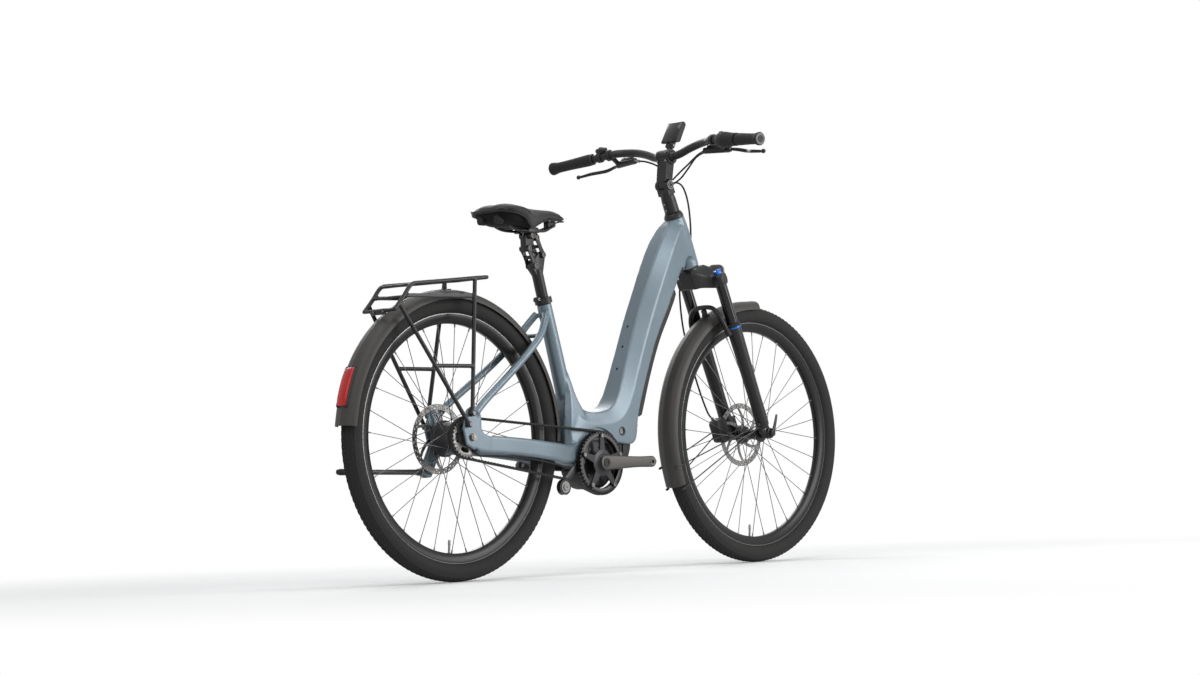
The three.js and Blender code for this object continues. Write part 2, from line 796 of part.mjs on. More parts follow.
function rearFender() {
  const skin = strip(
    0, tyreRadius, rearFenderFrom, rearFenderSteps, fenderRadius, fenderCrown, fenderHalf, fenderDrop,
    fenderSkin,
  );
  const toBridge = v3(bridgeX, 0, bridgeZ - tyreRadius);
  const far = toBridge.length() - bridgeRadius - gap;
  const at = (r) => toBridge.clone().setLength(r).add(v3(0, 0, tyreRadius));
  const post = rod(
    v3(rackBarX, 0, tyreRadius + fenderRadius + 1), v3(rackBarX, 0, rackBarZ - rackTube), rackTube, 6,
  );
  return joined([skin, rod(at(fenderRadius + 1), at(far), bridgeRadius, 6), post]);
}
const reflectorFrom = 148 * deg;
const reflectorStep = 7.5 * deg;
const reflectorHalf = 22;
const reflectorDepth = 8;

function reflector() {
  const r = (fenderRadius + fenderSkin) / Math.cos(reflectorStep / 2) + gap;
  const steps = 2;
  return loft(
    Array.from({ length: steps + 1 }, (_, i) => {
      const a = reflectorFrom + i * reflectorStep;
      const at = (radius, y) => v3(radius * Math.cos(a), y, tyreRadius + radius * Math.sin(a));
      const lift = i === 0 || i === steps ? reflectorDepth / 2 : reflectorDepth;
      return [
        at(r, -reflectorHalf), at(r, reflectorHalf), at(r + lift / 2, reflectorHalf),
        at(r + lift, fenderCrown), at(r + lift, -fenderCrown), at(r + lift / 2, -reflectorHalf),
      ];
    }),
  );
}
add(rear, "rear_fender", rearFender(), "black");
add(rear, "rear_reflector", reflector(), "red");

// Carrier: two bent side rails, four stays, cross bars and a small lamp plate
const rackHalf = 56;
const rackSides = 5;
const rackBar = 4;
const railPoints = [[-236, 684], [-206, 716], [-186, 746], [-160, 751], [35, 769], [92, 774]];
const stayTop = [43, 769];
const stayFoot = [-6, 424];
const braceTop = [-222, 700];
const braceFoot = [-18, 396];
const footY = sideY + rackTube + 2.5;
const lowRailZ = 592;
const crossBars = [[-234, 686], [-206, 716], [-176, 748], [rackBarX, rackBarZ], [92, 774]];
const lampPlate = [[-238, 689], [-230, 689], [-232, 672], [-240, 672]];
const lampPlateHalf = 26;
const footBoss = 8;

function rackSide() {
  const at = ([x, z], y) => v3(x, y, z);
  const along = (a, b, z) => lerp(a[0], b[0], (z - a[1]) / (b[1] - a[1]));
  const wide = (a, b, z) => lerp(rackHalf, footY, (z - a[1]) / (b[1] - a[1]));
  const foot = (p) => rod(at(p, sideY + gap), at(p, footY + rackTube), footBoss, 6);
  return [
    tube(railPoints.map((p) => at(p, rackHalf)), rackTube, rackSides),
    rod(at(stayTop, rackHalf), at(stayFoot, footY), rackTube, rackSides),
    rod(at(braceTop, rackHalf), at(braceFoot, footY), rackTube, rackSides),
    rod(
      v3(along(stayTop, stayFoot, lowRailZ), wide(stayTop, stayFoot, lowRailZ), lowRailZ),
      v3(along(braceTop, braceFoot, lowRailZ), wide(braceTop, braceFoot, lowRailZ), lowRailZ),
      rackTube,
      rackSides,
    ),
    foot(stayFoot),
    foot(braceFoot),
  ];
}

function rack() {
  const side = rackSide();
  const bars = crossBars.map(
    ([x, z]) => rod(v3(x, -rackHalf, z), v3(x, rackHalf, z), rackBar, rackSides),
  );
  return joined([...side, ...side.map(mirrored), ...bars, slab(lampPlate, 2 * lampPlateHalf)]);
}
add(rear, "rack", rack(), "black");

// Motor unit under the main tube, its guard, and the crank set
const motorHalf = 33;
const motorOutline = fromBracket([
  [-46, 38], [-36, 60], [-16, 74], [64, 74], [106, 53], [106, 30], [53, -34], [-22, -52],
]);
const guardNose = fromBracket([[109, 53.4], [141, 53.4], [135, 24], [90, -26]]);
const guardTail = fromBracket([[57, -36], [109, 27]]);
const motorBoss = 22;
const motorBossY = 40.6;
const spindleRadius = 9.5;
const spindleY = 72;

function motorUnit() {
  const c = [bottomBracketX, bottomBracketHeight];
  const body = joined([
    slab(motorOutline, 2 * motorHalf),
    slab(circle(...c, motorRadius, ringFacets), 2 * (motorHalf + gap)),
    slab(circle(...c, motorBoss, 14), 2 * motorBossY),
  ]);
  return cut(body, [slab(circle(...c, spindleRadius + runningGap, 12), 3 * motorBossY)]);
}

function motorGuard() {
  const outer = arc(bottomBracketX, bottomBracketHeight, motorRadius + 7, -42 * deg, -165 * deg, 8);
  const inner = arc(bottomBracketX, bottomBracketHeight, motorRadius + 2.5, -165 * deg, -42 * deg, 8);
  return slab(
    [...guardNose, ...outer, ...inner, ...guardTail],
    2 * motorHalf,
  );
}
add(rear, "motor_unit", motorUnit(), "satin");
add(rear, "motor_guard", motorGuard(), "black");

const crankLength = 170;
const spiderInner = -(-beltY + pulleyWidth / 2 + gap);
const spiderThickness = 5;
const spiderReach = 76;
const spiderHalf = 9;
const crankHub = 19;
const crankStations = [
  [-16, 10, 58, 74],
  [0, 21, 58, 75],
  [40, 19, 60, 77],
  [120, 15, 66, 82],
  [165, 16, 69, 85],
  [184, 8, 71, 84],
];
const crankBevel = 3;
const pedalHole = 7;

function crankArm(phase) {
  const body = loft(
    crankStations.map(([x, half, inner, outer]) => [
      v3(x, inner, -half), v3(x, inner, half), v3(x, outer - crankBevel, half),
      v3(x, outer, half - crankBevel),
      v3(x, outer, crankBevel - half), v3(x, outer - crankBevel, -half),
    ]),
  );
  const arm = cut(body, [
    rod(v3(crankLength, 0, 0), v3(crankLength, 2 * spindleY, 0), pedalHole, axleFacets),
    rod(v3(0, 0, 0), v3(0, spindleY + runningGap, 0), spindleRadius + gap, 12),
  ]);
  return arm.rotateY(phase);
}

function rightCrank() {
  const middle = spiderInner - spiderThickness / 2;
  const arms = Array.from({ length: spiderArms }, (_, i) => {
    const a = -Math.PI / 2 + (i / spiderArms) * 2 * Math.PI;
    return slab(
      [[0, -spiderHalf], [spiderReach, 5 - spiderHalf], [spiderReach, spiderHalf - 5], [0, spiderHalf]],
      spiderThickness,
      middle,
    ).rotateY(-a);
  });
  const bore = rod(v3(0, -spindleY, 0), v3(0, 0, 0), spindleRadius + gap, 12);
  const plate = slab(circle(0, 0, 2 * crankHub, 16), spiderThickness, middle);
  return moved(
    cut(joined([mirrored(crankArm(0)), plate, ...arms]), [bore]), bottomBracketX, 0, bottomBracketHeight,
  );
}
const leftCrank = () => moved(crankArm(Math.PI), bottomBracketX, 0, bottomBracketHeight);
const spindle = () =>
  rod(
    v3(bottomBracketX, -spindleY, bottomBracketHeight), v3(bottomBracketX, spindleY, bottomBracketHeight),
    spindleRadius, 12,
  );
add(rear, "crank_spindle", spindle(), "steel");
add(rear, "right_crank", rightCrank(), "grey");
add(rear, "left_crank", leftCrank(), "grey");

// Belt tensioner: a sprung arm on the yoke's right side and a smooth idler under the belt
const [armPivot] = fromBracket([[-60, 8]]);
const armInner = -37.4;
const armOuter = -40.6;
const armRoot = 12;
const armEnd = 10;
const idlerStub = 5.9;

function tensioner() {
  const end = [idlerX, idlerZ];
  const dir = Math.atan2(end[1] - armPivot[1], end[0] - armPivot[0]);
  const outline = [
    ...arc(...armPivot, armRoot, dir + Math.PI / 2, dir + 1.5 * Math.PI, 6),
    ...arc(...end, armEnd, dir - Math.PI / 2, dir + Math.PI / 2, 6),
  ];
  const plate = slab(outline, armInner - armOuter, (armInner + armOuter) / 2);
  const outer = beltY - idlerWidth / 2 - gap;
  const stub = rod(v3(idlerX, armInner - gap, idlerZ), v3(idlerX, outer - 3, idlerZ), idlerStub, 12);
  const cap = rod(v3(idlerX, outer - 3, idlerZ), v3(idlerX, outer, idlerZ), 9, 12);
  return joined([plate, stub, cap]);
}

function idler() {
  const half = idlerWidth / 2;
  const g = turned(
    [
      [idlerBore, -half], [idlerRadius, -half], [idlerRadius, half], [idlerBore, half],
      [idlerBore, -half],
    ],
    "y",
    18,
  );
  return moved(g, idlerX, beltY, idlerZ);
}
add(rear, "tensioner_arm", tensioner(), "satin");
add(rear, "idler_pulley", idler(), "satin");

// Rear brake caliper over the left chainstay
function rearCaliper() {
  const body = joined([
    block(v3(54, 43, 371), v3(104, 66, 398)), block(v3(60, 46, 364.6), v3(98, 58.4, 372)),
  ]);
  return cut(body, [
    block(v3(40, rearRotorY - 1.8, 340), v3(92.5, rearRotorY + 1.8, 440)),
  ]);
}
add(rear, "rear_caliper", rearCaliper(), "black");

// Battery pack, its outer cover and its lock
const packClear = 0.8;
const packDepth = 50;
const packLength = bayLength - 6;
const packHalf = bayHalf - packClear;
const coverStations = [
  [2, 58.3, 38], [8.4, 58.1, 38], [119.3, 52.8, 38], [229, 54.5, 38], [342.3, 70, 37], [388, 76.9, 33],
];
const coverLift = 15;

function batteryPack() {
  return slab(
    [
      bayPoint(packClear, packClear), bayPoint(packLength, packClear), bayPoint(packLength, packDepth),
      bayPoint(packClear, packDepth),
    ],
    2 * packHalf,
  );
}

function batteryCover() {
  return loft(
    coverStations.map(([along, out, half]) => {
      const at = (o, y) => v3(bayPoint(along, out + o)[0], y, bayPoint(along, out + o)[1]);
      return [
        at(0, -half), at(0, half), at(coverLift / 2, half - 2), at(coverLift, half / 2),
        at(coverLift, -half / 2), at(coverLift / 2, 2 - half),
      ];
    }),
  );
}

function batteryLock() {
  const key = block(
    v3(lockX - 5, lockOuter - overrun, lockZ - 1.2), v3(lockX + 5, lockOuter + 4, lockZ + 1.2),
  );
  return cut(rod(v3(lockX, lockOuter, lockZ), v3(lockX, lockInner, lockZ), lockRadius, 16), [key]);
}
add(rear, "battery_pack", batteryPack(), "black");
add(rear, "battery_cover", batteryCover(), "black");
add(rear, "battery_lock", batteryLock(), "steel");

// Seat clamp, suspension seat post on two links, and the saddle
const seatDir = seatPoint(0).sub(seatPoint(1)).normalize().negate();
const clampHeight = 17;
const clampRadius = 23.5;
const postRadius = 15.5;
const postTop = 806;
const postLow = 560;
const postFoot = [[309, 814.5], [339, 844]];
const linkVector = [-22, 45];
const linkEnd = 8;
const linkHalf = 6.5;
const linkInner = 10.6;
const linkOuter = 14.6;
const headHalf = 10.2;
const pinRadius = 3.4;
const headFeet = postFoot.map(([x, z]) => [x + linkVector[0], z + linkVector[1]]);

function seatClamp() {
  const low = seatPoint(seatTubeTop).addScaledVector(seatDir, gap);
  const top = low.clone().addScaledVector(seatDir, clampHeight);
  const lug = block(v3(318, -8, 719), v3(332, 8, 731));
  return cut(joined([rod(low, top, clampRadius, 20), lug]), [
    rod(
      low.clone().addScaledVector(seatDir, -overrun), top.clone().addScaledVector(seatDir, overrun),
      seatBore, 16,
    ),
  ]);
}
const pins = (feet) => feet.map(
  ([x, z]) => rod(v3(x, -linkOuter, z), v3(x, linkOuter, z), pinRadius - gap, 6),
);

function seatPost() {
  return joined([
    rod(seatPoint(postLow), seatPoint(postTop), postRadius, 16),
    slab(
      [[299, 808], [303, 824], [331, 853], [346, 852], [350, 840], [342, 806], [337, 780], [323, 780]],
      2 * headHalf,
    ),
    ...pins(postFoot),
  ]);
}

function link(foot, barShare) {
  const end = [foot[0] + linkVector[0], foot[1] + linkVector[1]];
  const dir = Math.atan2(linkVector[1], linkVector[0]);
  const outline = [
    ...arc(...foot, linkEnd, dir + Math.PI / 2, dir + 1.5 * Math.PI, 5),
    ...arc(...end, linkEnd, dir - Math.PI / 2, dir + Math.PI / 2, 5),
  ];
  const holes = [circle(...foot, pinRadius + gap, 6), circle(...end, pinRadius + gap, 6)];
  const mid = [lerp(foot[0], end[0], barShare), lerp(foot[1], end[1], barShare)];
  const plate = (y) => slab(outline, linkOuter - linkInner, y, holes);
  const y = (linkInner + linkOuter) / 2;
  return joined([plate(y), plate(-y), rod(v3(mid[0], -y, mid[1]), v3(mid[0], y, mid[1]), linkHalf, 10)]);
}
const railY = 22;
const railZ = 905;
const railRadius = 3.5;
const railPath = [
  [166, 38, 938], [196, 31, 921], [232, railY, railZ + 1], [262, railY, railZ], [326, railY, railZ],
  [346, 20, railZ + 3], [370, 12, 916], [390, 5, 924],
];

function seatHead() {
  const [low, high] = headFeet;
  const outline = [
    [low[0] - 9, low[1] - 2], [low[0] - 9, 900], [274, 909], [314, 909], [high[0] + 9, 900],
    [high[0] + 9, high[1] - 4], [high[0] - 4, high[1] - 9], [low[0] + 3, low[1] - 9],
  ];
  const body = joined([
    slab(outline, 2 * headHalf), block(v3(274, -27.5, 899), v3(314, 27.5, 910)), ...pins(headFeet),
  ]);
  return cut(
    body,
    [-1, 1].map(
      (s) => rod(v3(200, s * railY, railZ), v3(360, s * railY, railZ), railRadius + 3 * gap, 8),
    ),
  );
}

function rails() {
  const half = railPath.map(([x, y, z]) => v3(x, y, z));
  return tube([...half, ...half.map(mirrorY).reverse()], railRadius, 6);
}

// Saddle cushion by stations along x: half width, top, shoulder, side, underside
const saddleKeys = [136, 142, 160, 190, 225, 262, 300, 340, 380, 410, 424, 428];
const saddleHalf = [40, 62, 79, 84, 76, 58, 40, 28, 22, 18, 12, 5];
const saddleTop = [951, 961, 968, 970, 967, 963, 962, 963, 963, 957, 948, 942];
const saddleLow = [944, 938, 930, 922, 913, 905, 906, 914, 920, 924, 928, 935];
const saddleCrown = [4, 7, 9, 9, 7, 5, 4, 5, 6, 6, 5, 2];
const saddleGroove = 2.5;

function cushion() {
  const stations = 16;
  const rings = Array.from({ length: stations + 1 }, (_, i) => {
    const x = lerp(saddleKeys[0], saddleKeys.at(-1), 0.5 - 0.5 * Math.cos((i / stations) * Math.PI));
    const [half, top, low, crown] = [
      saddleHalf, saddleTop, saddleLow, saddleCrown,
    ].map((t) => smooth(saddleKeys, t, x));
    const side = lerp(top, low, 0.45);
    const right = [
      [0, top - (half > 30 ? saddleGroove : 0)],
      [0.3, top],
      [0.62, top - crown * 0.5],
      [0.88, top - crown * 1.4],
      [1, side],
      [0.96, lerp(side, low, 0.6)],
      [0.86, low],
      [0.6, low + (side - low) * 0.5],
    ];
    const left = right.slice(1).map(([y, z]) => [-y, z]).reverse();
    const under = [[0, low + (side - low) * 0.65]];
    return [...right, ...under, ...left].map(([y, z]) => v3(x, y * half, z));
  });
  const [end, before] = railPath;
  const socket = (s) => rod(
    v3(end[0] - overrun, s * end[1], end[2] + 1), v3(before[0], s * before[1], before[2]),
    railRadius + 2.5, 8,
  );
  return cut(loft(rings), [socket(-1), socket(1)]);
}
add(seat, "seat_clamp", seatClamp(), "black");
add(seat, "seatpost", seatPost(), "black");
add(seat, "seatpost_rear_link", link(postFoot[0], 0.5), "black");
add(seat, "seatpost_front_link", link(postFoot[1], 0.5), "black");
add(seat, "seatpost_head", seatHead(), "black");
add(seat, "saddle_rails", rails(), "satin");
add(seat, "saddle_cushion", cushion(), "hide");

// Fork: steerer, crown and stanchions; the lowers slide on the stanchions
const steererRadius = 14.3;
const steererTop = 218;
const legX = 36;
const legY = 65;
const stanchionRadius = 16;
const lowerRadius = 21;
const crownStations = [
  [-84, 24, 48, -66, -44], [-74, 16, 56, -74, -38], [-52, 15, 57, -74, -38], [-34, -14, 48, -62, -16],
  [-24, -28, 40, -60, -6],
];
const stanchionEnd = -300;
const sealZ = -192;
const forkTravel = 50;
const lowersEnd = -500;
const axleZ = -(headTubeBottom - tyreRadius) / Math.sin(headAngle) - forkOffset / Math.tan(headAngle);
const knobRadius = 11.5;
const knobHeight = 9;

function forkUpper() {
  const half = crownStations.map(([y, x0, x1, z0, z1]) => [
    v3(x0, y, z0), v3(x1, y, z0), v3(x1, y, z1 - 5), v3(x1 - 6, y, z1), v3(x0 + 6, y, z1),
    v3(x0, y, z1 - 5),
  ]);
  const legs = [-1, 1].map(
    (s) => rod(
      v3(legX, s * legY, stanchionEnd), v3(legX, s * legY, crownStations[2][4] - 2), stanchionRadius, 12,
    ),
  );
  const race = turned(
    [[0, -8], [headTubeRadius - 1, -8], [headTubeRadius - 1, -gap], [0, -gap]],
    "z",
    20,
  );
  return joined([
    loft([...half, ...half.map((ring) => ring.map(mirrorY)).reverse()]),
    turned([[0, -10], [steererRadius, -10], [steererRadius, steererTop], [0, steererTop]], "z", 14),
    race,
    ...legs,
  ]);
}

function forkLowers() {
  const lug = [
    [-9, 22], [32, 24], [33, -18], [24, -40], [4, -38], [-8, -12],
  ].map(([x, z]) => [legX + x * 0.72, lowersEnd + z]);
  const side = (s) => [
    rod(v3(legX, s * legY, lowersEnd), v3(legX, s * legY, sealZ), lowerRadius - 3, 12, lowerRadius),
    rod(v3(legX, s * legY, sealZ), v3(legX, s * legY, sealZ + 7), lowerRadius + 1, 12),
    moved(slab(lug, 16), 0, s * (frontHubLeft + gap + 8.4), 0),
    rod(v3(forkOffset, s * (frontHubLeft + gap + 0.4), axleZ), v3(forkOffset, s * 73, axleZ), 15, 12),
  ];
  const archPoints = [[12, 62, -214], [5, 60, -176], [6, 48, -142], [archX, 24, archZ]];
  const archHalf = archPoints.map((p) => v3(...p));
  const arch = tube([...archHalf, ...archHalf.map(mirrorY).reverse()], archRadius, 6);
  const posts = [-462, -498].map((z) => block(v3(-4, 52, z - 5), v3(24, 62, z + 5)));
  return cut(joined([...side(-1), ...side(1), arch, ...posts]), [
    ...[-1, 1].map(
      (s) => rod(
        v3(legX, s * legY, stanchionEnd - forkTravel - overrun), v3(legX, s * legY, sealZ + 2 * overrun),
        stanchionRadius + runningGap, 12,
      ),
    ),
    rod(
      v3(forkOffset, -2 * legY, axleZ), v3(forkOffset, 2 * legY, axleZ), axleRadius + 2 * gap, axleFacets,
    ),
  ]);
}

// Through axle with its lever on the right
function frontAxle() {
  const at = (x, y, z) => v3(forkOffset + x, y, axleZ + z);
  return joined([
    rod(at(0, -82, 0), at(0, 73, 0), axleRadius, axleFacets),
    rod(at(0, -83, 0), at(0, -73.4, 0), 9, 10),
    loft([
      ring(at(0, -79, 0), v3(0, 1, 0), v3(0.8, 0, -0.6), 3.6, 7, 8),
      ring(at(26, -82, 30), v3(0, 1, 0), v3(0.8, 0, -0.6), 3, 6, 8),
      ring(at(36, -81, 42), v3(0, 1, 0), v3(0.8, 0, -0.6), 2, 4, 8),
    ]),
  ]);
}

function frontCaliper() {
  return cut(
    block(v3(-46, 27, -515), v3(-4.4, 60, -448)),
    [block(v3(-39, frontRotorY - 1.8, -540), v3(20, frontRotorY + 1.8, -420))],
  );
}

// The front mudguard reaches from above the tyre down behind it
const archX = 10;
const archZ = -126;
const archRadius = 7.5;
const wireRadius = 2.3;
const wireAngle = 172 * deg;
const wireHalf = 70;
const wireFoot = [13.6, -485];

function frontFender() {
  const skin = strip(
    forkOffset, axleZ, frontFenderFrom - rake, frontFenderSteps, fenderRadius, fenderCrown, fenderHalf,
    fenderDrop, fenderSkin,
  );
  const top = axleZ + fenderRadius;
  const seat = block(v3(archX - 7, -11, top - 3), v3(archX + 7, 11, archZ - archRadius - gap));
  const far = fenderRadius - fenderDrop / 2;
  const wires = [-1, 1].flatMap((s) => {
    const end = v3(
      forkOffset + far * Math.cos(wireAngle), s * (fenderHalf - 1), axleZ + far * Math.sin(wireAngle),
    );
    const foot = v3(wireFoot[0], s * wireHalf, wireFoot[1]);
    return [
      rod(foot, end, wireRadius, 6),
      rod(v3(wireFoot[0] - 5, s * wireHalf, wireFoot[1]), v3(17.4, s * wireHalf, wireFoot[1]), 5, 8),
    ];
  });
  return joined([skin, seat, ...wires]);
}

// Lockout knob on the right leg
function lockoutKnob() {
  const low = crownStations[2][4] + gap;
  const profile = [
    [0, low], [knobRadius, low], [knobRadius, low + knobHeight - 2], [knobRadius - 3, low + knobHeight],
    [0, low + knobHeight],
  ];
  return moved(turned(profile, "z", 14), legX, -legY, 0);
}

// Headlight on a bracket in front of the crown
const lampPivot = [92, -70];
function headlightBracket() {
  const plate = slab(
    [
      [40.4, -30], [40.4, -58], [56, -72], [66, -76], [88, -78], [98, -76], [99, -66], [90, -63],
      [66, -62], [54, -50], [48, -30],
    ],
    9,
  );
  return joined([
    plate,
    rod(v3(lampPivot[0], -11, lampPivot[1]), v3(lampPivot[0], 11, lampPivot[1]), 3.2, 10),
    block(v3(40.4, -18, -58), v3(44, 18, -30)),
  ]);
}
function headlight() {
  const body = loft([
    ring(v3(78, 0, -38), v3(0, 1, 0), v3(-0.37, 0, 0.93), 9, 9, 14),
    ring(v3(90, 0, -41), v3(0, 1, 0), v3(-0.37, 0, 0.93), 18, 17, 14),
    ring(v3(118, 0, -50), v3(0, 1, 0), v3(-0.37, 0, 0.93), 20, 18, 14),
    ring(v3(122, 0, -51.5), v3(0, 1, 0), v3(-0.37, 0, 0.93), 17, 15, 14),
  ]);
  const ear = (s) => slab([[84, -54], [108, -54], [100, -76], [86, -76]], 4, s * 7.2);
  return cut(joined([body, ear(-1), ear(1)]), [
    rod(v3(lampPivot[0], -12, lampPivot[1]), v3(lampPivot[0], 12, lampPivot[1]), 3.6, 10),
  ]);
}

// Headset cover, angle-adjustable stem base with its cheeks
const coverHeight = 15;
const stemPivotZ = 242.5;
const stemPivotRadius = 14;
const cheekInner = 10.4;
const cheekOuter = 20;
const stemPin = 4.2;

function headsetCover() {
  const low = headTubeLength + gap;
  const bore = steererRadius + gap;
  return turned(
    [
      [bore, low], [headTubeRadius, low], [headTubeRadius - 5, low + coverHeight],
      [bore, low + coverHeight], [bore, low],
    ],
    "z",
    20,
  );
}

function stemBase() {
  const low = headTubeLength + coverHeight + 2 * gap;
  const body = turned([[0, low], [21, low], [20.5, 200], [17, 226], [0, 226]], "z", 16);
  const cheeks = slab(
    [...arc(0, stemPivotZ, stemPivotRadius, 0, Math.PI, 10), [-15, 215], [15, 215]],
    2 * cheekOuter,
  );
  const slot = slab(circle(0, stemPivotZ, stemPivotRadius + 2, 16), 2 * cheekInner);
  const bore = turned(
    [
      [0, low - overrun], [steererRadius + gap, low - overrun], [steererRadius + gap, steererTop + gap],
      [0, steererTop + gap],
    ],
    "z",
    14,
  );
  const pin = rod(v3(0, -cheekOuter, stemPivotZ), v3(0, cheekOuter, stemPivotZ), stemPin, 12);
  return joined([cut(joined([body, cheeks]), [slot, bore]), pin]);
}
const steerAdd = (name, g, look) => add(front, name, onSteer(g), look);
steerAdd("fork_upper", forkUpper(), "black");
steerAdd("fork_lowers", forkLowers(), "black");
steerAdd("front_axle", frontAxle(), "satin");
steerAdd("front_caliper", frontCaliper(), "black");
steerAdd("front_fender", frontFender(), "black");
steerAdd("lockout_knob", lockoutKnob(), "blue");
steerAdd("headlight_bracket", headlightBracket(), "black");
steerAdd("headlight", headlight(), "glass");
steerAdd("headset_cover", headsetCover(), "black");
steerAdd("stem_base", stemBase(), "black");

// Cockpit: stem arm, handlebar and controls, in the bike's own axes
const stemPivot = steer(0, 0, stemPivotZ);
const barClamp = v3(857, 0, 1138);
const clampOuter = 21;
const clampHalf = 23;
const barThick = 15.9;
const barRadius = 11.1;
const gripStart = 205;
const barEnd = 388;
const barTip = [800, 1142];
const barAt = (y, side = 1) => v3(
  barTip[0] + (barEnd - y) * (26 / 148), side * y, barTip[1] + (barEnd - y) * (16 / 148),
);
const sleeveBore = barRadius + 0.35;

function stemArm() {
  const from = [stemPivot.x, stemPivot.z];
  const to = [barClamp.x, barClamp.z];
  const dir = Math.atan2(to[1] - from[1], to[0] - from[0]);
  const tongue = slab(
    [
      ...arc(
        ...from, stemPivotRadius - 0.5, dir + 1.5 * Math.PI / 2 * 0.8, dir + 2.5 * Math.PI / 2 * 1.12, 8,
      ),
      [to[0] + 12, to[1] - 12],
      [to[0] - 14, to[1] - 12],
    ],
    2 * cheekInner - 2 * gap,
  );
  const arm = slab(
    [
      [from[0] - 15, from[1] + 24], [from[0] + 17, from[1] + 24], [to[0] + 17, to[1]],
      [to[0] - 17, to[1]],
    ],
    34,
  );
  const clamp = rod(v3(to[0], -clampHalf, to[1]), v3(to[0], clampHalf, to[1]), clampOuter, 16);
  const lug = slab(
    [
      [to[0] + 6, to[1] + 16], [to[0] + 26, to[1] + 12], [to[0] + 22, to[1] + 36],
      [to[0] + 12, to[1] + 40],
    ],
    10,
  );
  const displayPin = rod(v3(875, -14, 1171), v3(875, 14, 1171), 3, 10);
  return cut(joined([tongue, arm, clamp, lug, displayPin]), [
    rod(v3(to[0], -2 * clampHalf, to[1]), v3(to[0], 2 * clampHalf, to[1]), barThick + gap, 16),
    rod(v3(from[0], -clampHalf, from[1]), v3(from[0], clampHalf, from[1]), stemPin + gap, 12),
  ]);
}

function handlebar() {
  const half = [
    [857, 24, 1138], [860, 48, 1142], [864, 82, 1154], [864, 120, 1163], [853, 158, 1166],
  ].map((p) => v3(...p));
  const bar = [...half, barAt(gripStart - 22), barAt(barEnd)];
  const centre = rod(v3(barClamp.x, -34, barClamp.z), v3(barClamp.x, 34, barClamp.z), barThick, 16);
  return joined([tube([...bar.map(mirrorY).reverse(), ...bar], barRadius, 8), centre]);
}

// A sleeve on the grip section, from a table of distance along y and radius
function sleeve(side, profile, facets = 14) {
  const dir = barAt(barEnd, side).sub(barAt(gripStart, side)).normalize();
  const turn = new THREE.Quaternion().setFromUnitVectors(v3(0, 0, 1), dir);
  const origin = barAt(gripStart, side);
  const stretch = 1 / Math.abs(dir.y);
  const g = turned(profile.map(([y, r]) => [r, (y - gripStart) * stretch]), "z", facets);
  return g.applyQuaternion(turn).translate(origin.x, origin.y, origin.z);
}
const bored = (list) => [...list, [list.at(-1)[0], sleeveBore], [list[0][0], sleeveBore], list[0]];
const grip = (side, start) =>
  sleeve(
    side,
    bored([
      [start, 15], [start + 6, 17], [(start + barEnd) / 2, 15.5], [barEnd - 34, 15], [barEnd - 14, 18],
      [barEnd - 2, 18.5], [barEnd - 1, 16],
    ]),
  );
const shifterStart = 239;
const shifterEnd = 293;
const twistShifter = () =>
  sleeve(
    -1,
    bored([
      [shifterStart, 21], [shifterStart + 6, 22], [shifterStart + 20, 20], [shifterEnd - 14, 18],
      [shifterEnd, 17.5],
    ]),
    16,
  );
const shifterHousing = () => {
  const ringed = sleeve(
    -1,
    bored([[shifterStart - 17, 19], [shifterStart - 14, 21], [shifterStart - 0.5, 21]]),
    16,
  );
  const at = barAt(shifterStart - 8, -1);
  const route = [
    [at.x + 8, at.y, at.z - 17], [at.x + 12, at.y + 34, at.z - 24], [845, -160, 1136], [858, -110, 1126],
    [876, -62, 1100], [882, -28, 1077], [866, -4, 1058],
  ];
  const cable = tube(route.map((p) => v3(...p)), cableRadius, 5);
  return joined([ringed, cable]);
};

// Brake controls: a clamp ring, a master cylinder and a slotted end that holds the lever
const leverPivot = v3(884, 204, 1141);
const leverTip = v3(864, 345, 1118);
const leverRoot = 9;

function brakeBody(side) {
  const ringAt = barAt(194);
  const dir = barAt(barEnd).sub(barAt(gripStart)).normalize();
  const band = rod(
    ringAt.clone().addScaledVector(dir, -6), ringAt.clone().addScaledVector(dir, 6), barRadius + 4.6, 9,
  );
  const arm = rod(ringAt.clone().add(v3(9, 0, -2)), leverPivot.clone().add(v3(-6, -4, 0)), 7, 6, 8);
  const master = rod(v3(871, 128, 1143), leverPivot.clone().add(v3(0, 4, 0)), 8.5, 8, 10.5);
  const hose = tube(
    [
      [871, 130, 1143], [880, 104, 1139], [888, 76, 1129], [890, 50, 1114], [883, 28, 1096],
      [868, 11, 1074],
    ].map((p) => v3(...p)),
    cableRadius,
    5,
  );
  const slot = rod(
    leverPivot.clone().add(v3(0, 0, -4.6)), leverPivot.clone().add(v3(0, 0, 4.6)), leverRoot + 3.5, 10,
  );
  const pin = rod(leverPivot.clone().add(v3(0, 0, -8)), leverPivot.clone().add(v3(0, 0, 8)), 2.6, 6);
  const bore = rod(
    ringAt.clone().addScaledVector(dir, -12), ringAt.clone().addScaledVector(dir, 12), sleeveBore + 0.1,
    14,
  );
  const g = joined([cut(joined([band, arm, master, hose]), [slot, bore]), pin]);
  return side > 0 ? g : mirrored(g);
}

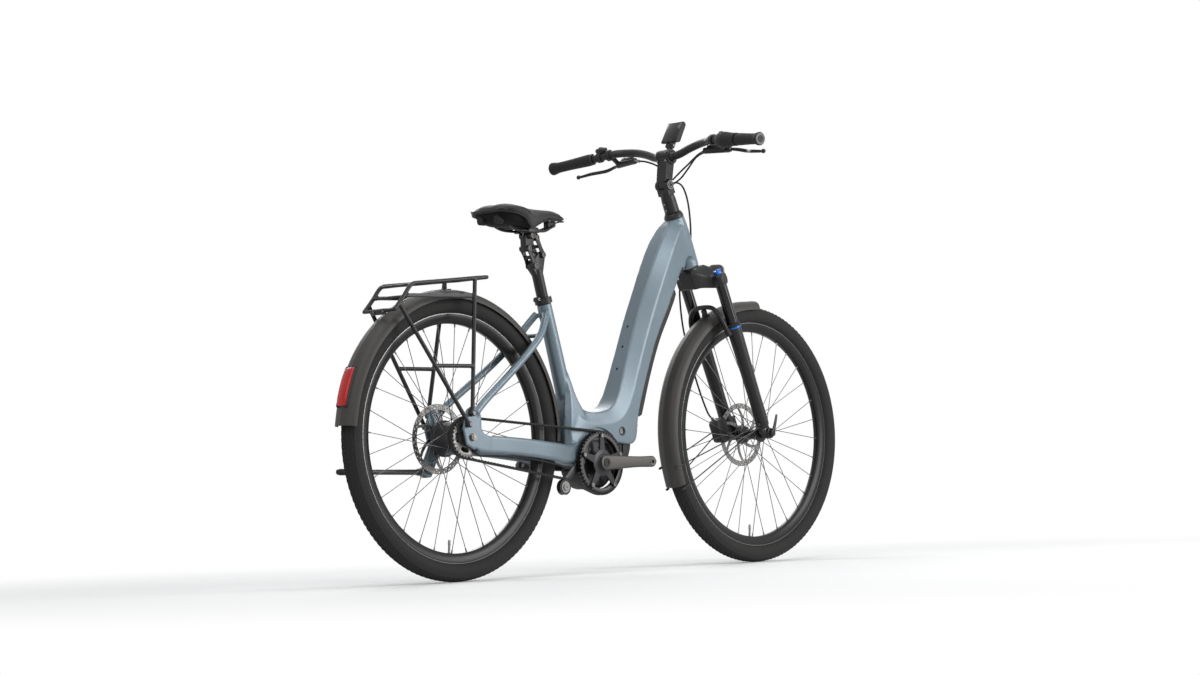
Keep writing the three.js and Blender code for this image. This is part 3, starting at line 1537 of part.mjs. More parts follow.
function brakeLever(side) {
  const p = leverPivot;
  const disc = rod(v3(p.x, p.y, p.z - 4), v3(p.x, p.y, p.z + 4), leverRoot, 10);
  const blade = tube(
    [
      v3(p.x + 2, p.y + 5, p.z), v3(p.x + 10, p.y + 22, p.z - 4), v3(p.x + 9, p.y + 60, p.z - 12),
      v3(leverTip.x + 2, leverTip.y - 30, leverTip.z + 3), leverTip.clone(),
    ],
    4,
    6,
  );
  const ball = new THREE.SphereGeometry(6, 7, 5).translate(leverTip.x, leverTip.y, leverTip.z);
  const hole = rod(v3(p.x, p.y, p.z - 8), v3(p.x, p.y, p.z + 8), 3.2, 6);
  const g = cut(joined([disc, blade, ball]), [hole]);
  return side > 0 ? g : mirrored(g);
}

// Remote pod inboard of the left grip, with a sprung button
function remotePod() {
  const at = barAt(225);
  const dir = barAt(barEnd).sub(barAt(gripStart)).normalize();
  const band = rod(
    at.clone().addScaledVector(dir, -7), at.clone().addScaledVector(dir, 7), barRadius + 3.5, 10,
  );
  const pod = loft([
    ring(v3(at.x + 6, at.y - 2, at.z + 12), v3(1, 0, 0.2), v3(0, 1, 0), 14, 14, 8),
    ring(v3(at.x + 4, at.y - 2, at.z + 20), v3(1, 0, 0.2), v3(0, 1, 0), 17, 18, 8),
    ring(v3(at.x + 3, at.y - 2, at.z + 27), v3(1, 0, 0.2), v3(0, 1, 0), 13, 14, 8),
  ]);
  const bore = rod(
    at.clone().addScaledVector(dir, -30), at.clone().addScaledVector(dir, 30), sleeveBore + 0.1, 14,
  );
  const well = rod(v3(at.x + 3, at.y - 2, at.z + 22), v3(at.x + 3, at.y - 2, at.z + 34), 7.4, 12);
  return cut(joined([band, pod]), [bore, well]);
}
function remoteButton() {
  const at = barAt(225);
  return rod(v3(at.x + 3, at.y - 2, at.z + 24.2), v3(at.x + 3, at.y - 2, at.z + 29.5), 7, 12);
}

function display() {
  const pivot = [875, 1171];
  const face = [[868, 1182], [886, 1180], [914, 1232], [904, 1240]];
  const ears = (s) => slab([[869, 1164], [882, 1164], [892, 1196], [872, 1190]], 4, s * 8);
  return cut(joined([slab(face, 62), ears(-1), ears(1)]), [
    rod(v3(pivot[0], -20, pivot[1]), v3(pivot[0], 20, pivot[1]), 3.4, 10),
    block(v3(860, -5.6, 1160), v3(888, 5.6, 1188)),
  ]);
}

// Front brake hose: from the stem, in front of the head tube and down behind the left leg to the caliper
const hoseRun = [
  [24, 12, 214], [48, 14, 226], [74, 20, 205], [76, 28, 150], [70, 40, 60], [66, 66, 0], [52, 92, -50],
  [30, 98, -110],
  [6, 96, -200], [-6, 92, -330], [-18, 76, -420], [-26, 58, -446.5],
];
const frontHose = () => pipe(hoseRun.map((p) => v3(...p)), cableRadius, 4, 24);

add(cockpit, "stem_arm", stemArm(), "black");
add(cockpit, "handlebar", handlebar(), "black");
add(cockpit, "right_grip", grip(-1, shifterEnd + 1.5), "rubber");
add(cockpit, "left_grip", grip(1, 247), "rubber");
add(cockpit, "twist_shifter", twistShifter(), "rubber");
add(cockpit, "shifter_housing", shifterHousing(), "black");
add(cockpit, "right_brake_body", brakeBody(-1), "black");
add(cockpit, "left_brake_body", brakeBody(1), "black");
add(cockpit, "right_brake_lever", brakeLever(-1), "satin");
add(cockpit, "left_brake_lever", brakeLever(1), "satin");
add(cockpit, "remote_pod", remotePod(), "black");
add(cockpit, "remote_button", remoteButton(), "satin");
add(cockpit, "display", display(), "black");
steerAdd("front_brake_hose", frontHose(), "rubber");

bike.add(rear, front, cockpit, seat);
const originX = (wheelBase + tyreRadius - fenderRadius - fenderSkin) / 2;
bike.position.set(-originX, 0, 0);
export default bike;
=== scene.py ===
import json
import math

import bmesh
import bpy
from mathutils import Matrix, Vector
from mathutils.geometry import tessellate_polygon


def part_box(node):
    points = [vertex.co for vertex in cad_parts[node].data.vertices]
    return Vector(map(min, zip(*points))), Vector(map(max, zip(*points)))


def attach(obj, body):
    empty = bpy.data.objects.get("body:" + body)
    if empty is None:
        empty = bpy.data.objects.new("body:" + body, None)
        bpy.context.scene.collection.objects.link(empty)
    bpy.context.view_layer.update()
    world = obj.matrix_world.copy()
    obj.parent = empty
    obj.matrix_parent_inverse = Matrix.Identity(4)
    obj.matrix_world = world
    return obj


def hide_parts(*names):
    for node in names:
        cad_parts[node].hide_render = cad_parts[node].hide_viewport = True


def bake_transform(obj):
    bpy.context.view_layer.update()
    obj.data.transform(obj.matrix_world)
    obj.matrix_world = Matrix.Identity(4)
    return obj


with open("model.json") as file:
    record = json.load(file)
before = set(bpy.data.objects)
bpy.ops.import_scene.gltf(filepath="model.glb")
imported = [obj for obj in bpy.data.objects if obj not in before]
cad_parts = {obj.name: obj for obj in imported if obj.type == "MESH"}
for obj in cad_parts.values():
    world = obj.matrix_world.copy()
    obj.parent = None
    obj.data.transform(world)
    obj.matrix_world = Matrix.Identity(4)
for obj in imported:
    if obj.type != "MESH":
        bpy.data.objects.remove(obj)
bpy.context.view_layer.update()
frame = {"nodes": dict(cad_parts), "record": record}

MM = 0.001
DEG = math.pi / 180
TURN = 2 * math.pi
UP = (0, 0, 1)
ACROSS = (0, 1, 0)
AHEAD = (1, 0, 0)
BOTH = (-1, 1)
rear_low, rear_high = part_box("rear_tyre")
front_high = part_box("front_tyre")[1]
REAR_X = (rear_low[0] + rear_high[0]) / 2
WHEEL_RADIUS = (rear_high[2] - rear_low[2]) / 2 / MM
WHEEL_BASE = (front_high[0] - rear_high[0]) / MM


# Camera: fitted to the photograph's 1200 x 675 pixels
PHOTO_WIDTH = 1200
SENSOR = 36.0
FOCAL_PIXELS = 2719.45
CAMERA_AT = (-4786.4, -4997.7, 220.7)
CAMERA_YAW = 46.938 * DEG
CAMERA_PITCH = 3.201 * DEG
CAMERA_ROLL = -2.013 * DEG
CAMERA_REACH = 60


def vec(x, y, z):
    return Vector((x, y, z))


def in_metres(p):
    return vec(REAR_X + p[0] * MM, p[1] * MM, p[2] * MM)


def show(obj):
    bpy.context.scene.collection.objects.link(obj)
    return obj


def place_camera():
    yaw, pitch, roll = CAMERA_YAW, CAMERA_PITCH, CAMERA_ROLL
    ahead = vec(math.sin(yaw) * math.cos(pitch), math.cos(yaw) * math.cos(pitch), math.sin(pitch))
    level = vec(math.cos(yaw), -math.sin(yaw), 0)
    upright = level.cross(ahead)
    right = level * math.cos(roll) + upright * math.sin(roll)
    up = upright * math.cos(roll) - level * math.sin(roll)
    data = bpy.data.cameras.new("camera")
    data.sensor_width = SENSOR
    data.lens = FOCAL_PIXELS / PHOTO_WIDTH * SENSOR
    data.clip_end = CAMERA_REACH
    camera = show(bpy.data.objects.new("camera", data))
    turn = Matrix((right, up, -ahead)).transposed().to_4x4()
    camera.matrix_world = Matrix.Translation(in_metres(CAMERA_AT)) @ turn
    bpy.context.scene.camera = camera


# Studio: a pale floor, a plain world and four soft lamps, in metres from the middle of the bike
FLOOR_HALF = 14.0
FLOOR_COLOUR = (0.86, 0.86, 0.86, 1)
FLOOR_NEAR = 1.15
FLOOR_FAR = 2.7
WHITE = (1, 1, 1, 1)
WORLD_COLOUR = (0.80, 0.82, 0.84, 1)
WORLD_LIGHT = 0.34
LAMPS = [
    ("key_lamp", (1.7, -3.3, 1.5), 2.2, 105),
    ("fill_lamp", (-3.0, -1.6, 3.0), 2.8, 42),
    ("rim_lamp", (1.6, 3.2, 2.4), 2.4, 70),
    ("top_lamp", (-0.2, -0.2, 4.2), 3.2, 62),
]
LAMP_AIM = vec(0, 0, 0.55)


def set_inputs(made, **values):
    for name, value in values.items():
        made.inputs[name.replace("_", " ")].default_value = value
    return made


def node(tree, kind, mode=None, **values):
    """A shader node with its inputs. mode sets its operation, interpolation or data type."""
    made = tree.nodes.new("ShaderNode" + kind)
    for name, value in (mode or {}).items():
        setattr(made, name, value)
    return set_inputs(made, **values)


def plain_background(tree):
    """A switch that is 1 for camera, glossy and transmission rays, for the world and the far floor."""
    path = node(tree, "LightPath")
    first, second = (node(tree, "Math", {"operation": "MAXIMUM"}) for _ in range(2))
    tree.links.new(path.outputs["Is Camera Ray"], first.inputs[0])
    tree.links.new(path.outputs["Is Glossy Ray"], first.inputs[1])
    tree.links.new(first.outputs[0], second.inputs[0])
    tree.links.new(path.outputs["Is Transmission Ray"], second.inputs[1])
    return second.outputs[0]


def mixed(tree, share, one, other, output):
    blend = node(tree, "MixShader")
    for k, source in enumerate((share, one, other)):
        tree.links.new(source, blend.inputs[k])
    tree.links.new(blend.outputs[0], output.inputs["Surface"])


def light_world():
    world = bpy.data.worlds.new("studio")
    bpy.context.scene.world = world
    world.use_nodes = True
    tree = world.node_tree
    tree.nodes.clear()
    lit = node(tree, "Background", Color=WORLD_COLOUR, Strength=WORLD_LIGHT)
    seen = node(tree, "Background", Color=WHITE, Strength=1.0)
    mixed(tree, plain_background(tree), lit.outputs[0], seen.outputs[0], node(tree, "OutputWorld"))


def add_lamp(name, at, size, power):
    data = bpy.data.lights.new(name, "AREA")
    data.size = size
    data.energy = power
    lamp = show(bpy.data.objects.new(name, data))
    lamp.location = at
    lamp.rotation_euler = (LAMP_AIM - Vector(at)).to_track_quat("-Z", "Y").to_euler()


def new_look(name):
    look = bpy.data.materials.new(name)
    look.use_nodes = True
    tree = look.node_tree
    return look, tree, tree.links.new, tree.nodes["Principled BSDF"]


def lay_floor():
    mesh = bpy.data.meshes.new("studio_floor")
    h = FLOOR_HALF
    mesh.from_pydata([(-h, -h, 0), (h, -h, 0), (h, h, 0), (-h, h, 0)], [], [(0, 1, 2, 3)])
    look, tree, link, shader = new_look("studio_floor")
    set_inputs(shader, Base_Color=FLOOR_COLOUR, Roughness=0.9, Specular_IOR_Level=0.1)
    away = node(tree, "VectorMath", {"operation": "LENGTH"})
    link(node(tree, "TexCoord").outputs["Object"], away.inputs[0])
    fade = node(tree, "MapRange", {"interpolation_type": "SMOOTHSTEP"}, From_Min=FLOOR_NEAR, From_Max=FLOOR_FAR)
    link(away.outputs["Value"], fade.inputs[0])
    both = node(tree, "Math", {"operation": "MULTIPLY"})
    link(fade.outputs[0], both.inputs[0])
    link(plain_background(tree), both.inputs[1])
    white = node(tree, "Emission", Color=WHITE, Strength=1.0)
    mixed(tree, both.outputs[0], shader.outputs[0], white.outputs[0], tree.nodes["Material Output"])
    mesh.materials.append(look)
    show(bpy.data.objects.new("studio_floor", mesh))


place_camera()
light_world()
lay_floor()
for lamp in LAMPS:
    add_lamp(*lamp)
bpy.context.scene.view_settings.view_transform = "Standard"


# Materials: each is a colour with grain, a varied roughness and a fine bump, in the object's own space
BROAD_SCALE = 6
FINE_DETAIL = 3.0
BROAD_DETAIL = 4.0
TINT_FROM = 0.3
TINT_TO = 0.7


def grained(name, colour, roughness, metallic=0.0, grain=900, spread=0.12, bump=0.05, depth=0.2, rough_spread=0.1,
            coat=0.0, coat_roughness=0.1, broad_spread=0.08, stretch=(1, 1, 1), sheen=0.0, specular=0.5):
    look, tree, link, shader = new_look(name)
    set_inputs(shader, Metallic=metallic, Coat_Weight=coat, Coat_Roughness=coat_roughness, Sheen_Weight=sheen,
               Specular_IOR_Level=specular)
    place = node(tree, "TexCoord")
    scaled = node(tree, "Mapping", Scale=stretch)
    link(place.outputs["Object"], scaled.inputs["Vector"])
    fine = node(tree, "TexNoise", Scale=grain, Detail=FINE_DETAIL)
    wide = node(tree, "TexNoise", Scale=BROAD_SCALE, Detail=BROAD_DETAIL)
    link(scaled.outputs[0], fine.inputs["Vector"])
    link(place.outputs["Object"], wide.inputs["Vector"])
    both = node(tree, "Mix", {"data_type": "FLOAT"})
    both.inputs[0].default_value = 0.5
    link(fine.outputs["Fac"], both.inputs[2])
    link(wide.outputs["Fac"], both.inputs[3])
    tint = node(tree, "ValToRGB")
    share = spread + broad_spread
    for stop, position, sign in zip(tint.color_ramp.elements, (TINT_FROM, TINT_TO), BOTH):
        stop.position = position
        stop.color = (*[min(1, c * (1 + sign * share)) for c in colour], 1)
    link(both.outputs[0], tint.inputs[0])
    link(tint.outputs[0], shader.inputs["Base Color"])
    rough = node(tree, "MapRange", To_Min=max(0.02, roughness - rough_spread), To_Max=min(1, roughness + rough_spread))
    link(both.outputs[0], rough.inputs[0])
    link(rough.outputs[0], shader.inputs["Roughness"])
    relief = node(tree, "Bump", Strength=bump, Distance=depth * MM)
    link(fine.outputs["Fac"], relief.inputs["Height"])
    link(relief.outputs[0], shader.inputs["Normal"])
    return look


# Colour, roughness, how metallic, and what differs from the usual grain
LOOK_ROWS = {
    "frame_paint": ((0.120, 0.160, 0.190), 0.38, 0.30, dict(
        grain=2600, spread=0.16, bump=0.03, coat=0.18, coat_roughness=0.24, rough_spread=0.05, broad_spread=0.05,
        specular=0.4)),
    "black_paint": ((0.010, 0.010, 0.011), 0.40, 0.1, dict(
        grain=1800, bump=0.04, coat=0.08, coat_roughness=0.25, specular=0.28)),
    "satin_metal": ((0.030, 0.030, 0.032), 0.36, 0.7, dict(grain=1200, stretch=(1, 0.1, 1), specular=0.3)),
    "rotor_steel": ((0.17, 0.163, 0.158), 0.40, 0.9, dict(grain=1500, stretch=(1, 0.02, 1), bump=0.08)),
    "caliper_black": ((0.012, 0.012, 0.013), 0.44, 0.2, dict(grain=1400, bump=0.1, specular=0.3)),
    "crank_grey": ((0.062, 0.058, 0.054), 0.46, 0.6, dict(grain=1600)),
    "black_plastic": ((0.016, 0.0155, 0.015), 0.58, 0.0, dict(grain=1100, bump=0.14, depth=0.3, specular=0.3)),
    "button_plastic": ((0.05, 0.052, 0.055), 0.45, 0.0, dict(grain=1100, bump=0.1)),
    "lockout_blue": ((0.02, 0.12, 0.42), 0.32, 0.8, dict(grain=1500, stretch=(1, 1, 0.1))),
    "tyre_rubber": ((0.019, 0.0185, 0.018), 0.78, 0.0, dict(grain=700, bump=0.25, depth=0.4, specular=0.22)),
    "rubber": ((0.014, 0.014, 0.0145), 0.7, 0.0, dict(grain=1300, bump=0.2, depth=0.3, specular=0.25)),
    "reflector_red": ((0.46, 0.004, 0.006), 0.26, 0.0, dict(
        grain=500, bump=0.3, depth=0.5, coat=0.12, specular=0.3)),
    "lamp_glass": ((0.62, 0.64, 0.66), 0.12, 0.2, dict(grain=300, bump=0.1, coat=0.8)),
    "stanchion_black": ((0.008, 0.008, 0.009), 0.16, 0.4, dict(grain=1500, bump=0.01, coat=0.2, specular=0.35)),
    "display_glass": ((0.004, 0.004, 0.005), 0.12, 0.0, dict(grain=400, bump=0.01, coat=0.1, specular=0.3)),
    "fender_plastic": ((0.034, 0.032, 0.030), 0.52, 0.0, dict(grain=1000, bump=0.1, specular=0.35)),
    "rim_black": ((0.007, 0.007, 0.0075), 0.3, 0.1, dict(grain=1600, bump=0.03, specular=0.25)),
    # Near-black with almost no sheen: painted shade for the hollow under the saddle
    "base_black": ((0.005, 0.005, 0.005), 0.7, 0.0, dict(bump=0.1, specular=0.12)),
    "spoke_steel": ((0.10, 0.10, 0.105), 0.3, 0.9, dict(grain=2000)),
    "nipple_alloy": ((0.17, 0.165, 0.16), 0.36, 0.9, dict(grain=1500)),
    "saddle_cover": ((0.017, 0.016, 0.016), 0.64, 0.0, dict(
        grain=1500, bump=0.3, depth=0.4, sheen=0.06, specular=0.28)),
}
LOOKS = {name: grained(name, *row[:3], **row[3]) for name, row in LOOK_ROWS.items()}


def dress_nodes():
    """Every CAD node takes the look that its material slot names."""
    for row in frame["record"]["subparts"]:
        mesh = frame["nodes"][row["node"]].data
        mesh.materials.clear()
        mesh.materials.append(LOOKS[row["material_slot"]])


dress_nodes()


# Shapes: a shape is a list of points and a list of faces, made of closed shells
def joined(*shapes):
    points, faces = [], []
    for some, these in shapes:
        start = len(points)
        points += [Vector(p) for p in some]
        faces += [tuple(start + i for i in face) for face in these]
    return points, faces


def flip(p):
    return vec(p[0], -p[1], p[2])


def mirrored(shape):
    points, faces = shape
    return [flip(p) for p in points], [tuple(reversed(face)) for face in faces]


def sided(shape, side):
    """A left-hand shape as it is, or mirrored for the right."""
    return shape if side > 0 else mirrored(shape)


def both_sides(*shapes):
    one = joined(*shapes)
    return joined(one, mirrored(one))


def moved(shape, x, y, z):
    return [Vector(p) + vec(x, y, z) for p in shape[0]], shape[1]


def turned_by(shape, axis, angle):
    turn = Matrix.Rotation(angle, 3, Vector(axis))
    return [turn @ Vector(p) for p in shape[0]], shape[1]


def loft(rings, closed=False):
    """A skin over rings of equal point counts, with a flat face at each end unless it closes on itself."""
    count = len(rings[0])
    points = [p for one in rings for p in one]
    faces = []
    last = len(rings) if closed else len(rings) - 1
    for r in range(last):
        a, b = r * count, (r + 1) % len(rings) * count
        faces += [(a + i, a + (i + 1) % count, b + (i + 1) % count, b + i) for i in range(count)]
    if not closed:
        faces.append(tuple(reversed(range(count))))
        faces.append(tuple(range(len(points) - count, len(points))))
    return points, faces


def ring(centre, u, v, ru, rv, sides):
    angles = [i * TURN / sides for i in range(sides)]
    return [Vector(centre) + Vector(u) * (ru * math.cos(a)) + Vector(v) * (rv * math.sin(a)) for a in angles]


def there_and_back(half, ends=0):
    """(y, r) pairs of one side, then of the other. ends leaves out shared points: 1 the last, 2 the first too."""
    back = half[1 if ends > 1 else 0:len(half) - (1 if ends else 0)]
    return [*half, *[(-y, r) for y, r in reversed(back)]]


def mirrored_path(half, shared=False):
    half = [Vector(p) for p in half]
    return [*half, *[flip(p) for p in reversed(half[:-1] if shared else half)]]


def across(along):
    side = Vector(ACROSS) if abs(along.y) < 0.7 else Vector(AHEAD)
    u = side.cross(along).normalized()
    return u, along.cross(u)


def rod(start, end, radius, sides=24, end_radius=None):
    start, end = Vector(start), Vector(end)
    u, v = across((end - start).normalized())
    last = radius if end_radius is None else end_radius
    return loft([ring(start, u, v, radius, radius, sides), ring(end, u, v, last, last, sides)])


def cross_rod(x, z, low, high, radius, sides=24):
    """A rod across the bike from y = low to y = high."""
    return rod((x, low, z), (x, high, z), radius, sides)


def lathe(profile, origin=(0, 0, 0), axis=ACROSS, sides=48):
    """A profile of (radius, height) pairs turned about an axis. It closes on itself, or ends on the axis."""
    origin, axis = Vector(origin), Vector(axis).normalized()
    u, v = across(axis)
    if profile[0][0] <= 0:
        profile = profile[1:]
    if profile[-1][0] <= 0:
        profile = profile[:-1]
    closed = profile[0] == profile[-1]
    return loft([ring(origin + axis * h, u, v, r, r, sides) for r, h in profile[:-1 if closed else None]], closed)


def collar(profile, *place, **options):
    """A turned ring with a bore."""
    return lathe([*profile, profile[0]], *place, **options)


def catmull_rom(a, b, c, d, t):
    return 0.5 * (2 * b + (c - a) * t + (2 * a - 5 * b + 4 * c - d) * t * t + (3 * b - a - 3 * c + d) * t ** 3)


def smooth_path(points, steps=8):
    """Points on a smooth curve through the given points, evenly shared between neighbours."""
    points = [Vector(p) for p in points]
    ends = [points[0] * 2 - points[1], *points, points[-1] * 2 - points[-2]]
    made = [catmull_rom(*ends[i - 1:i + 3], s / steps) for i in range(1, len(ends) - 2) for s in range(steps)]
    return [*made, points[-1]]


def tracks(rows, steps):
    """Smooth curves down the columns of a table whose first column is shared."""
    return zip(*[smooth_path([(row[0], row[k], 0) for row in rows], steps) for k in range(1, len(rows[0]))])


def tube(points, radius, sides=16, steps=8, smooth=True, closed=False):
    """A round tube along points. radius is a number, or a function of the share of the way along."""
    path = smooth_path(points, steps) if smooth else [Vector(p) for p in points]
    size = radius if callable(radius) else lambda share: radius
    side = Vector(UP)
    rings = []
    for i, p in enumerate(path):
        before = path[i - 1] if i or closed else path[0]
        after = path[(i + 1) % len(path)] if i + 1 < len(path) or closed else path[-1]
        along = (after - before).normalized()
        if abs(along.dot(side)) > 0.98:
            side = Vector(AHEAD)
        u = (side - along * side.dot(along)).normalized()
        side = u
        r = size(i / (len(path) - 1))
        rings.append(ring(p, u, along.cross(u), r, r, sides))
    return loft(rings, closed)


def slab(outline, low, high, holes=()):
    """An outline of (x, z) pairs with holes, spanned from y = low to y = high."""
    loops = [list(outline), *[list(h) for h in holes]]
    flat = [p for loop in loops for p in loop]
    triangles = tessellate_polygon([[vec(x, z, 0) for x, z in loop] for loop in loops])
    count = len(flat)
    points = [vec(x, y, z) for y in (low, high) for x, z in flat]
    faces = [tuple(t) for t in triangles] + [tuple(i + count for i in reversed(t)) for t in triangles]
    start = 0
    for loop in loops:
        n = len(loop)
        faces += [(start + i, start + (i + 1) % n, count + start + (i + 1) % n, count + start + i) for i in range(n)]
        start += n
    return points, faces


def block(low, high):
    (a, b, c), (d, e, f) = low, high
    return slab([(a, c), (d, c), (d, f), (a, f)], b, e)


def polar(radius, angle, cx=0, cz=0):
    return cx + radius * math.cos(angle), cz + radius * math.sin(angle)


def arc(cx, cz, radius, start, end, steps):
    return [polar(radius, start + (end - start) * i / steps, cx, cz) for i in range(steps + 1)]


def circle(cx, cz, radius, sides=32):
    return arc(cx, cz, radius, 0, TURN * (1 - 1 / sides), sides - 1)


def rounded(x0, x1, z0, z1, corner, steps):
    """A rectangle with round corners, as (x, z) pairs."""
    made = []
    for cx, cz, quarter in ((x1 - corner, z1 - corner, 0), (x0 + corner, z1 - corner, 1),
                            (x0 + corner, z0 + corner, 2), (x1 - corner, z0 + corner, 3)):
        made += arc(cx, cz, corner, quarter * 90 * DEG, (quarter + 1) * 90 * DEG, steps)
    return made


def round_a_circle(shape, radius, count, start, centre):
    """Copies of a shape round a centre, without turning them."""
    cx, _, cz = centre
    spots = [polar(radius, start + k * TURN / count, cx, cz) for k in range(count)]
    return joined(*[moved(shape, x, 0, z) for x, z in spots])


def mix(a, b, share):
    return a + (b - a) * share


def along_keys(keys, values, at):
    """Smooth values through a table at its own keys."""
    i = max(next((n for n, k in enumerate(keys) if k >= at), len(keys) - 1), 1)
    t = (at - keys[i - 1]) / (keys[i] - keys[i - 1])
    return catmull_rom(*(values[min(max(n, 0), len(values) - 1)] for n in (i - 2, i - 1, i, i + 1)), t)


# Pieces: a shape becomes an object that rides a body, with rounded edges and a look
SHARP = 32
WELD = 1e-6
FLAT = 0.3 * DEG


def as_object(name, shape, flat_faces=True):
    points, faces = shape
    mesh = bpy.data.meshes.new(name)
    mesh.from_pydata([in_metres(p) for p in points], [], faces)
    made = bmesh.new()
    made.from_mesh(mesh)
    bmesh.ops.remove_doubles(made, verts=made.verts, dist=WELD)
    if flat_faces:
        bmesh.ops.dissolve_limit(made, angle_limit=FLAT, verts=made.verts, edges=made.edges)
    bmesh.ops.recalc_face_normals(made, faces=made.faces)
    made.to_mesh(mesh)
    made.free()
    return show(bpy.data.objects.new(name, mesh))


def apply_modifiers(obj):
    depsgraph = bpy.context.evaluated_depsgraph_get()
    mesh = bpy.data.meshes.new_from_object(obj.evaluated_get(depsgraph))
    old = obj.data
    obj.modifiers.clear()
    obj.data = mesh
    bpy.data.meshes.remove(old)


def modify(obj, kind, **values):
    modifier = obj.modifiers.new(kind.lower(), kind)
    for name, value in values.items():
        setattr(modifier, name, value)


def rounded_edges(obj, width, segments):
    modify(obj, "BEVEL", width=width * MM, segments=segments, limit_method="ANGLE", angle_limit=SHARP * DEG,
           use_clamp_overlap=True)
    apply_modifiers(obj)
    return obj


def cut(obj, *cutters):
    """Takes shapes away from an object."""
    for cutter in cutters:
        tool = as_object("cutter", cutter, False)
        modify(obj, "BOOLEAN", object=tool, operation="DIFFERENCE", solver="EXACT")
        apply_modifiers(obj)
        bpy.data.objects.remove(tool)
    return obj


def without(shape, cutter):
    """A shape with another taken away."""
    obj = cut(as_object("stock", shape, False), cutter)
    points = [vec((v.co.x - REAR_X) / MM, v.co.y / MM, v.co.z / MM) for v in obj.data.vertices]
    faces = [tuple(p.vertices) for p in obj.data.polygons]
    bpy.data.objects.remove(obj)
    return points, faces


def grown(name, shape, voxel, smoothing):
    """A shape's shells merged into one skin, with its corners eased."""
    obj = as_object(name, shape, False)
    modify(obj, "REMESH", mode="VOXEL", voxel_size=voxel * MM)
    modify(obj, "SMOOTH", factor=0.5, iterations=smoothing)
    apply_modifiers(obj)
    return obj


def settle(obj, body, look, replaces=(), sharp=SHARP):
    """Gives an object its look and shading, and ties it to its body and the nodes that it stands for."""
    obj.data.materials.clear()
    obj.data.materials.append(LOOKS[look])
    obj.data.shade_smooth()
    if sharp:
        obj.data.set_sharp_from_angle(angle=sharp * DEG)
    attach(obj, body)
    if replaces:
        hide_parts(*replaces)


def piece(name, shape, body, look, replaces=(), bevel=0.0, sharp=SHARP, slot=None, segments=2):
    obj = as_object(name, shape, bool(bevel))
    if bevel:
        rounded_edges(obj, bevel, segments)
    settle(obj, body, look, replaces, sharp)


def bright(name, shape, body, *replaced):
    """A bare metal screw, nut or washer."""
    piece(name, shape, body, "nipple_alloy", replaced, sharp=30)


# Wheels
TYRE_HALF = (rear_high[1] - rear_low[1]) / 2 / MM
BEAD_RADIUS = 307.5
TREAD_PITCHES = 132
TREAD_STEPS = 4
TREAD_DEPTH = 2.4
TREAD_EDGE = 0.86
TREAD_PLAIN = 0.2
SHOULDER = 0.74
# The casing's outside and inside as shares of the way from the bead to the tread, and of the half width
CASING_SHARES = [
    (0.0, 0.43), (0.10, 0.43), (0.205, 0.45), (0.25, 0.66), (0.33, 0.84), (0.45, 0.96), (0.56, 1.0), (0.66, 0.985),
    (SHOULDER, 0.95),
]
TREAD_ROWS = [0.90, 0.84, 0.70, 0.66, 0.47, 0.43, 0.24, 0.20, 0.045, 0.0]
INSIDE_SHARES = [(0.935, 0.0), (0.75, 0.78), (0.40, 0.76), (0.0, 0.27)]
WHEEL_SIDES = 144
RIM_SECTION = [
    (291.6, 0), (291.8, 6.4), (294.0, 9.0), (305.5, 13.2), (314.5, 14.0), (317.3, 13.9), (317.4, 12.6), (315.4, 11.9),
    (308.6, 11.9), (306.6, 10.6), (304.6, 5.0), (304.0, 0),
]
# The bright ring at each edge of the rim, as (radius, y): a painted highlight
RIM_HIGHLIGHT = [(316.0, 13.7), (316.3, 14.3), (317.8, 14.2), (318.0, 13.0)]
NIPPLE = [(0, 0), (2.1, 0), (2.1, 9), (1.6, 13), (0, 13)]
VALVE = [(0, 0), (4.6, 0), (4.6, 3), (3.0, 3.5), (3.0, 22), (3.7, 22.5), (3.7, 33), (2.6, 35), (0, 35)]
VALVE_ANGLE = 265 * DEG
SPOKE_COUNT = 32
SPOKE_RADIUS = 1.05
SPOKE_END = 293.0
SPOKE_STAGGER = 2.2
SPOKE_SEAT = 1.9
REAR_HUB = [
    (6.4, -40.5), (16, -40.5), (16, -36), (44, -34.6), (47, -33.0), (47, -27.4), (44.5, -26.4), (42.5, -24),
    (41.2, -18),
    (40.4, 0), (41.2, 18), (42.5, 24), (44.5, 26.4), (47, 27.4), (47, 33.0), (44, 34.6), (32, 36.5), (26, 44), (22, 50),
    (17, 52), (17, 58), (13, 60), (13, 63), (6.4, 63),
]
FRONT_HUB = [
    (6.4, -48.4), (12, -48.4), (12, -38), (22, -37.3), (24, -36.5), (24, -31.5), (21, -30.6), (17.5, -27), (14.8, -18),
    (14.2, -4), (14.8, 14), (17, 20), (20, 22.8), (24, 23.6), (24, 28.6), (22, 29.4), (19, 32), (17, 36), (17, 44),
    (12, 45), (12, 48.4), (6.4, 48.4),
]
# Spokes: the radius of their seats, the two flanges, their lean and where the first one stands
REAR_SPOKES = (43, 30, -30, 46 * DEG, 7.6 * DEG)
FRONT_SPOKES = (20, 26, -34, 64 * DEG, 8.2 * DEG)
ROTOR_RADIUS = 90
ROTOR_INNER = 75.5
ROTOR_CORE = 27
ROTOR_BORE = 17.6
ROTOR_ARMS = 6
ROTOR_HALF = 0.9
ROTOR_SWEEP = 0.62
ROTOR_BOLT_CIRCLE = 22
SLOT_ROWS = (79.6, 85.6)
SLOTS = 30
SLOT = ((-0.032, -1), (0.024, -1.4), (0.034, 1), (-0.022, 1.4))


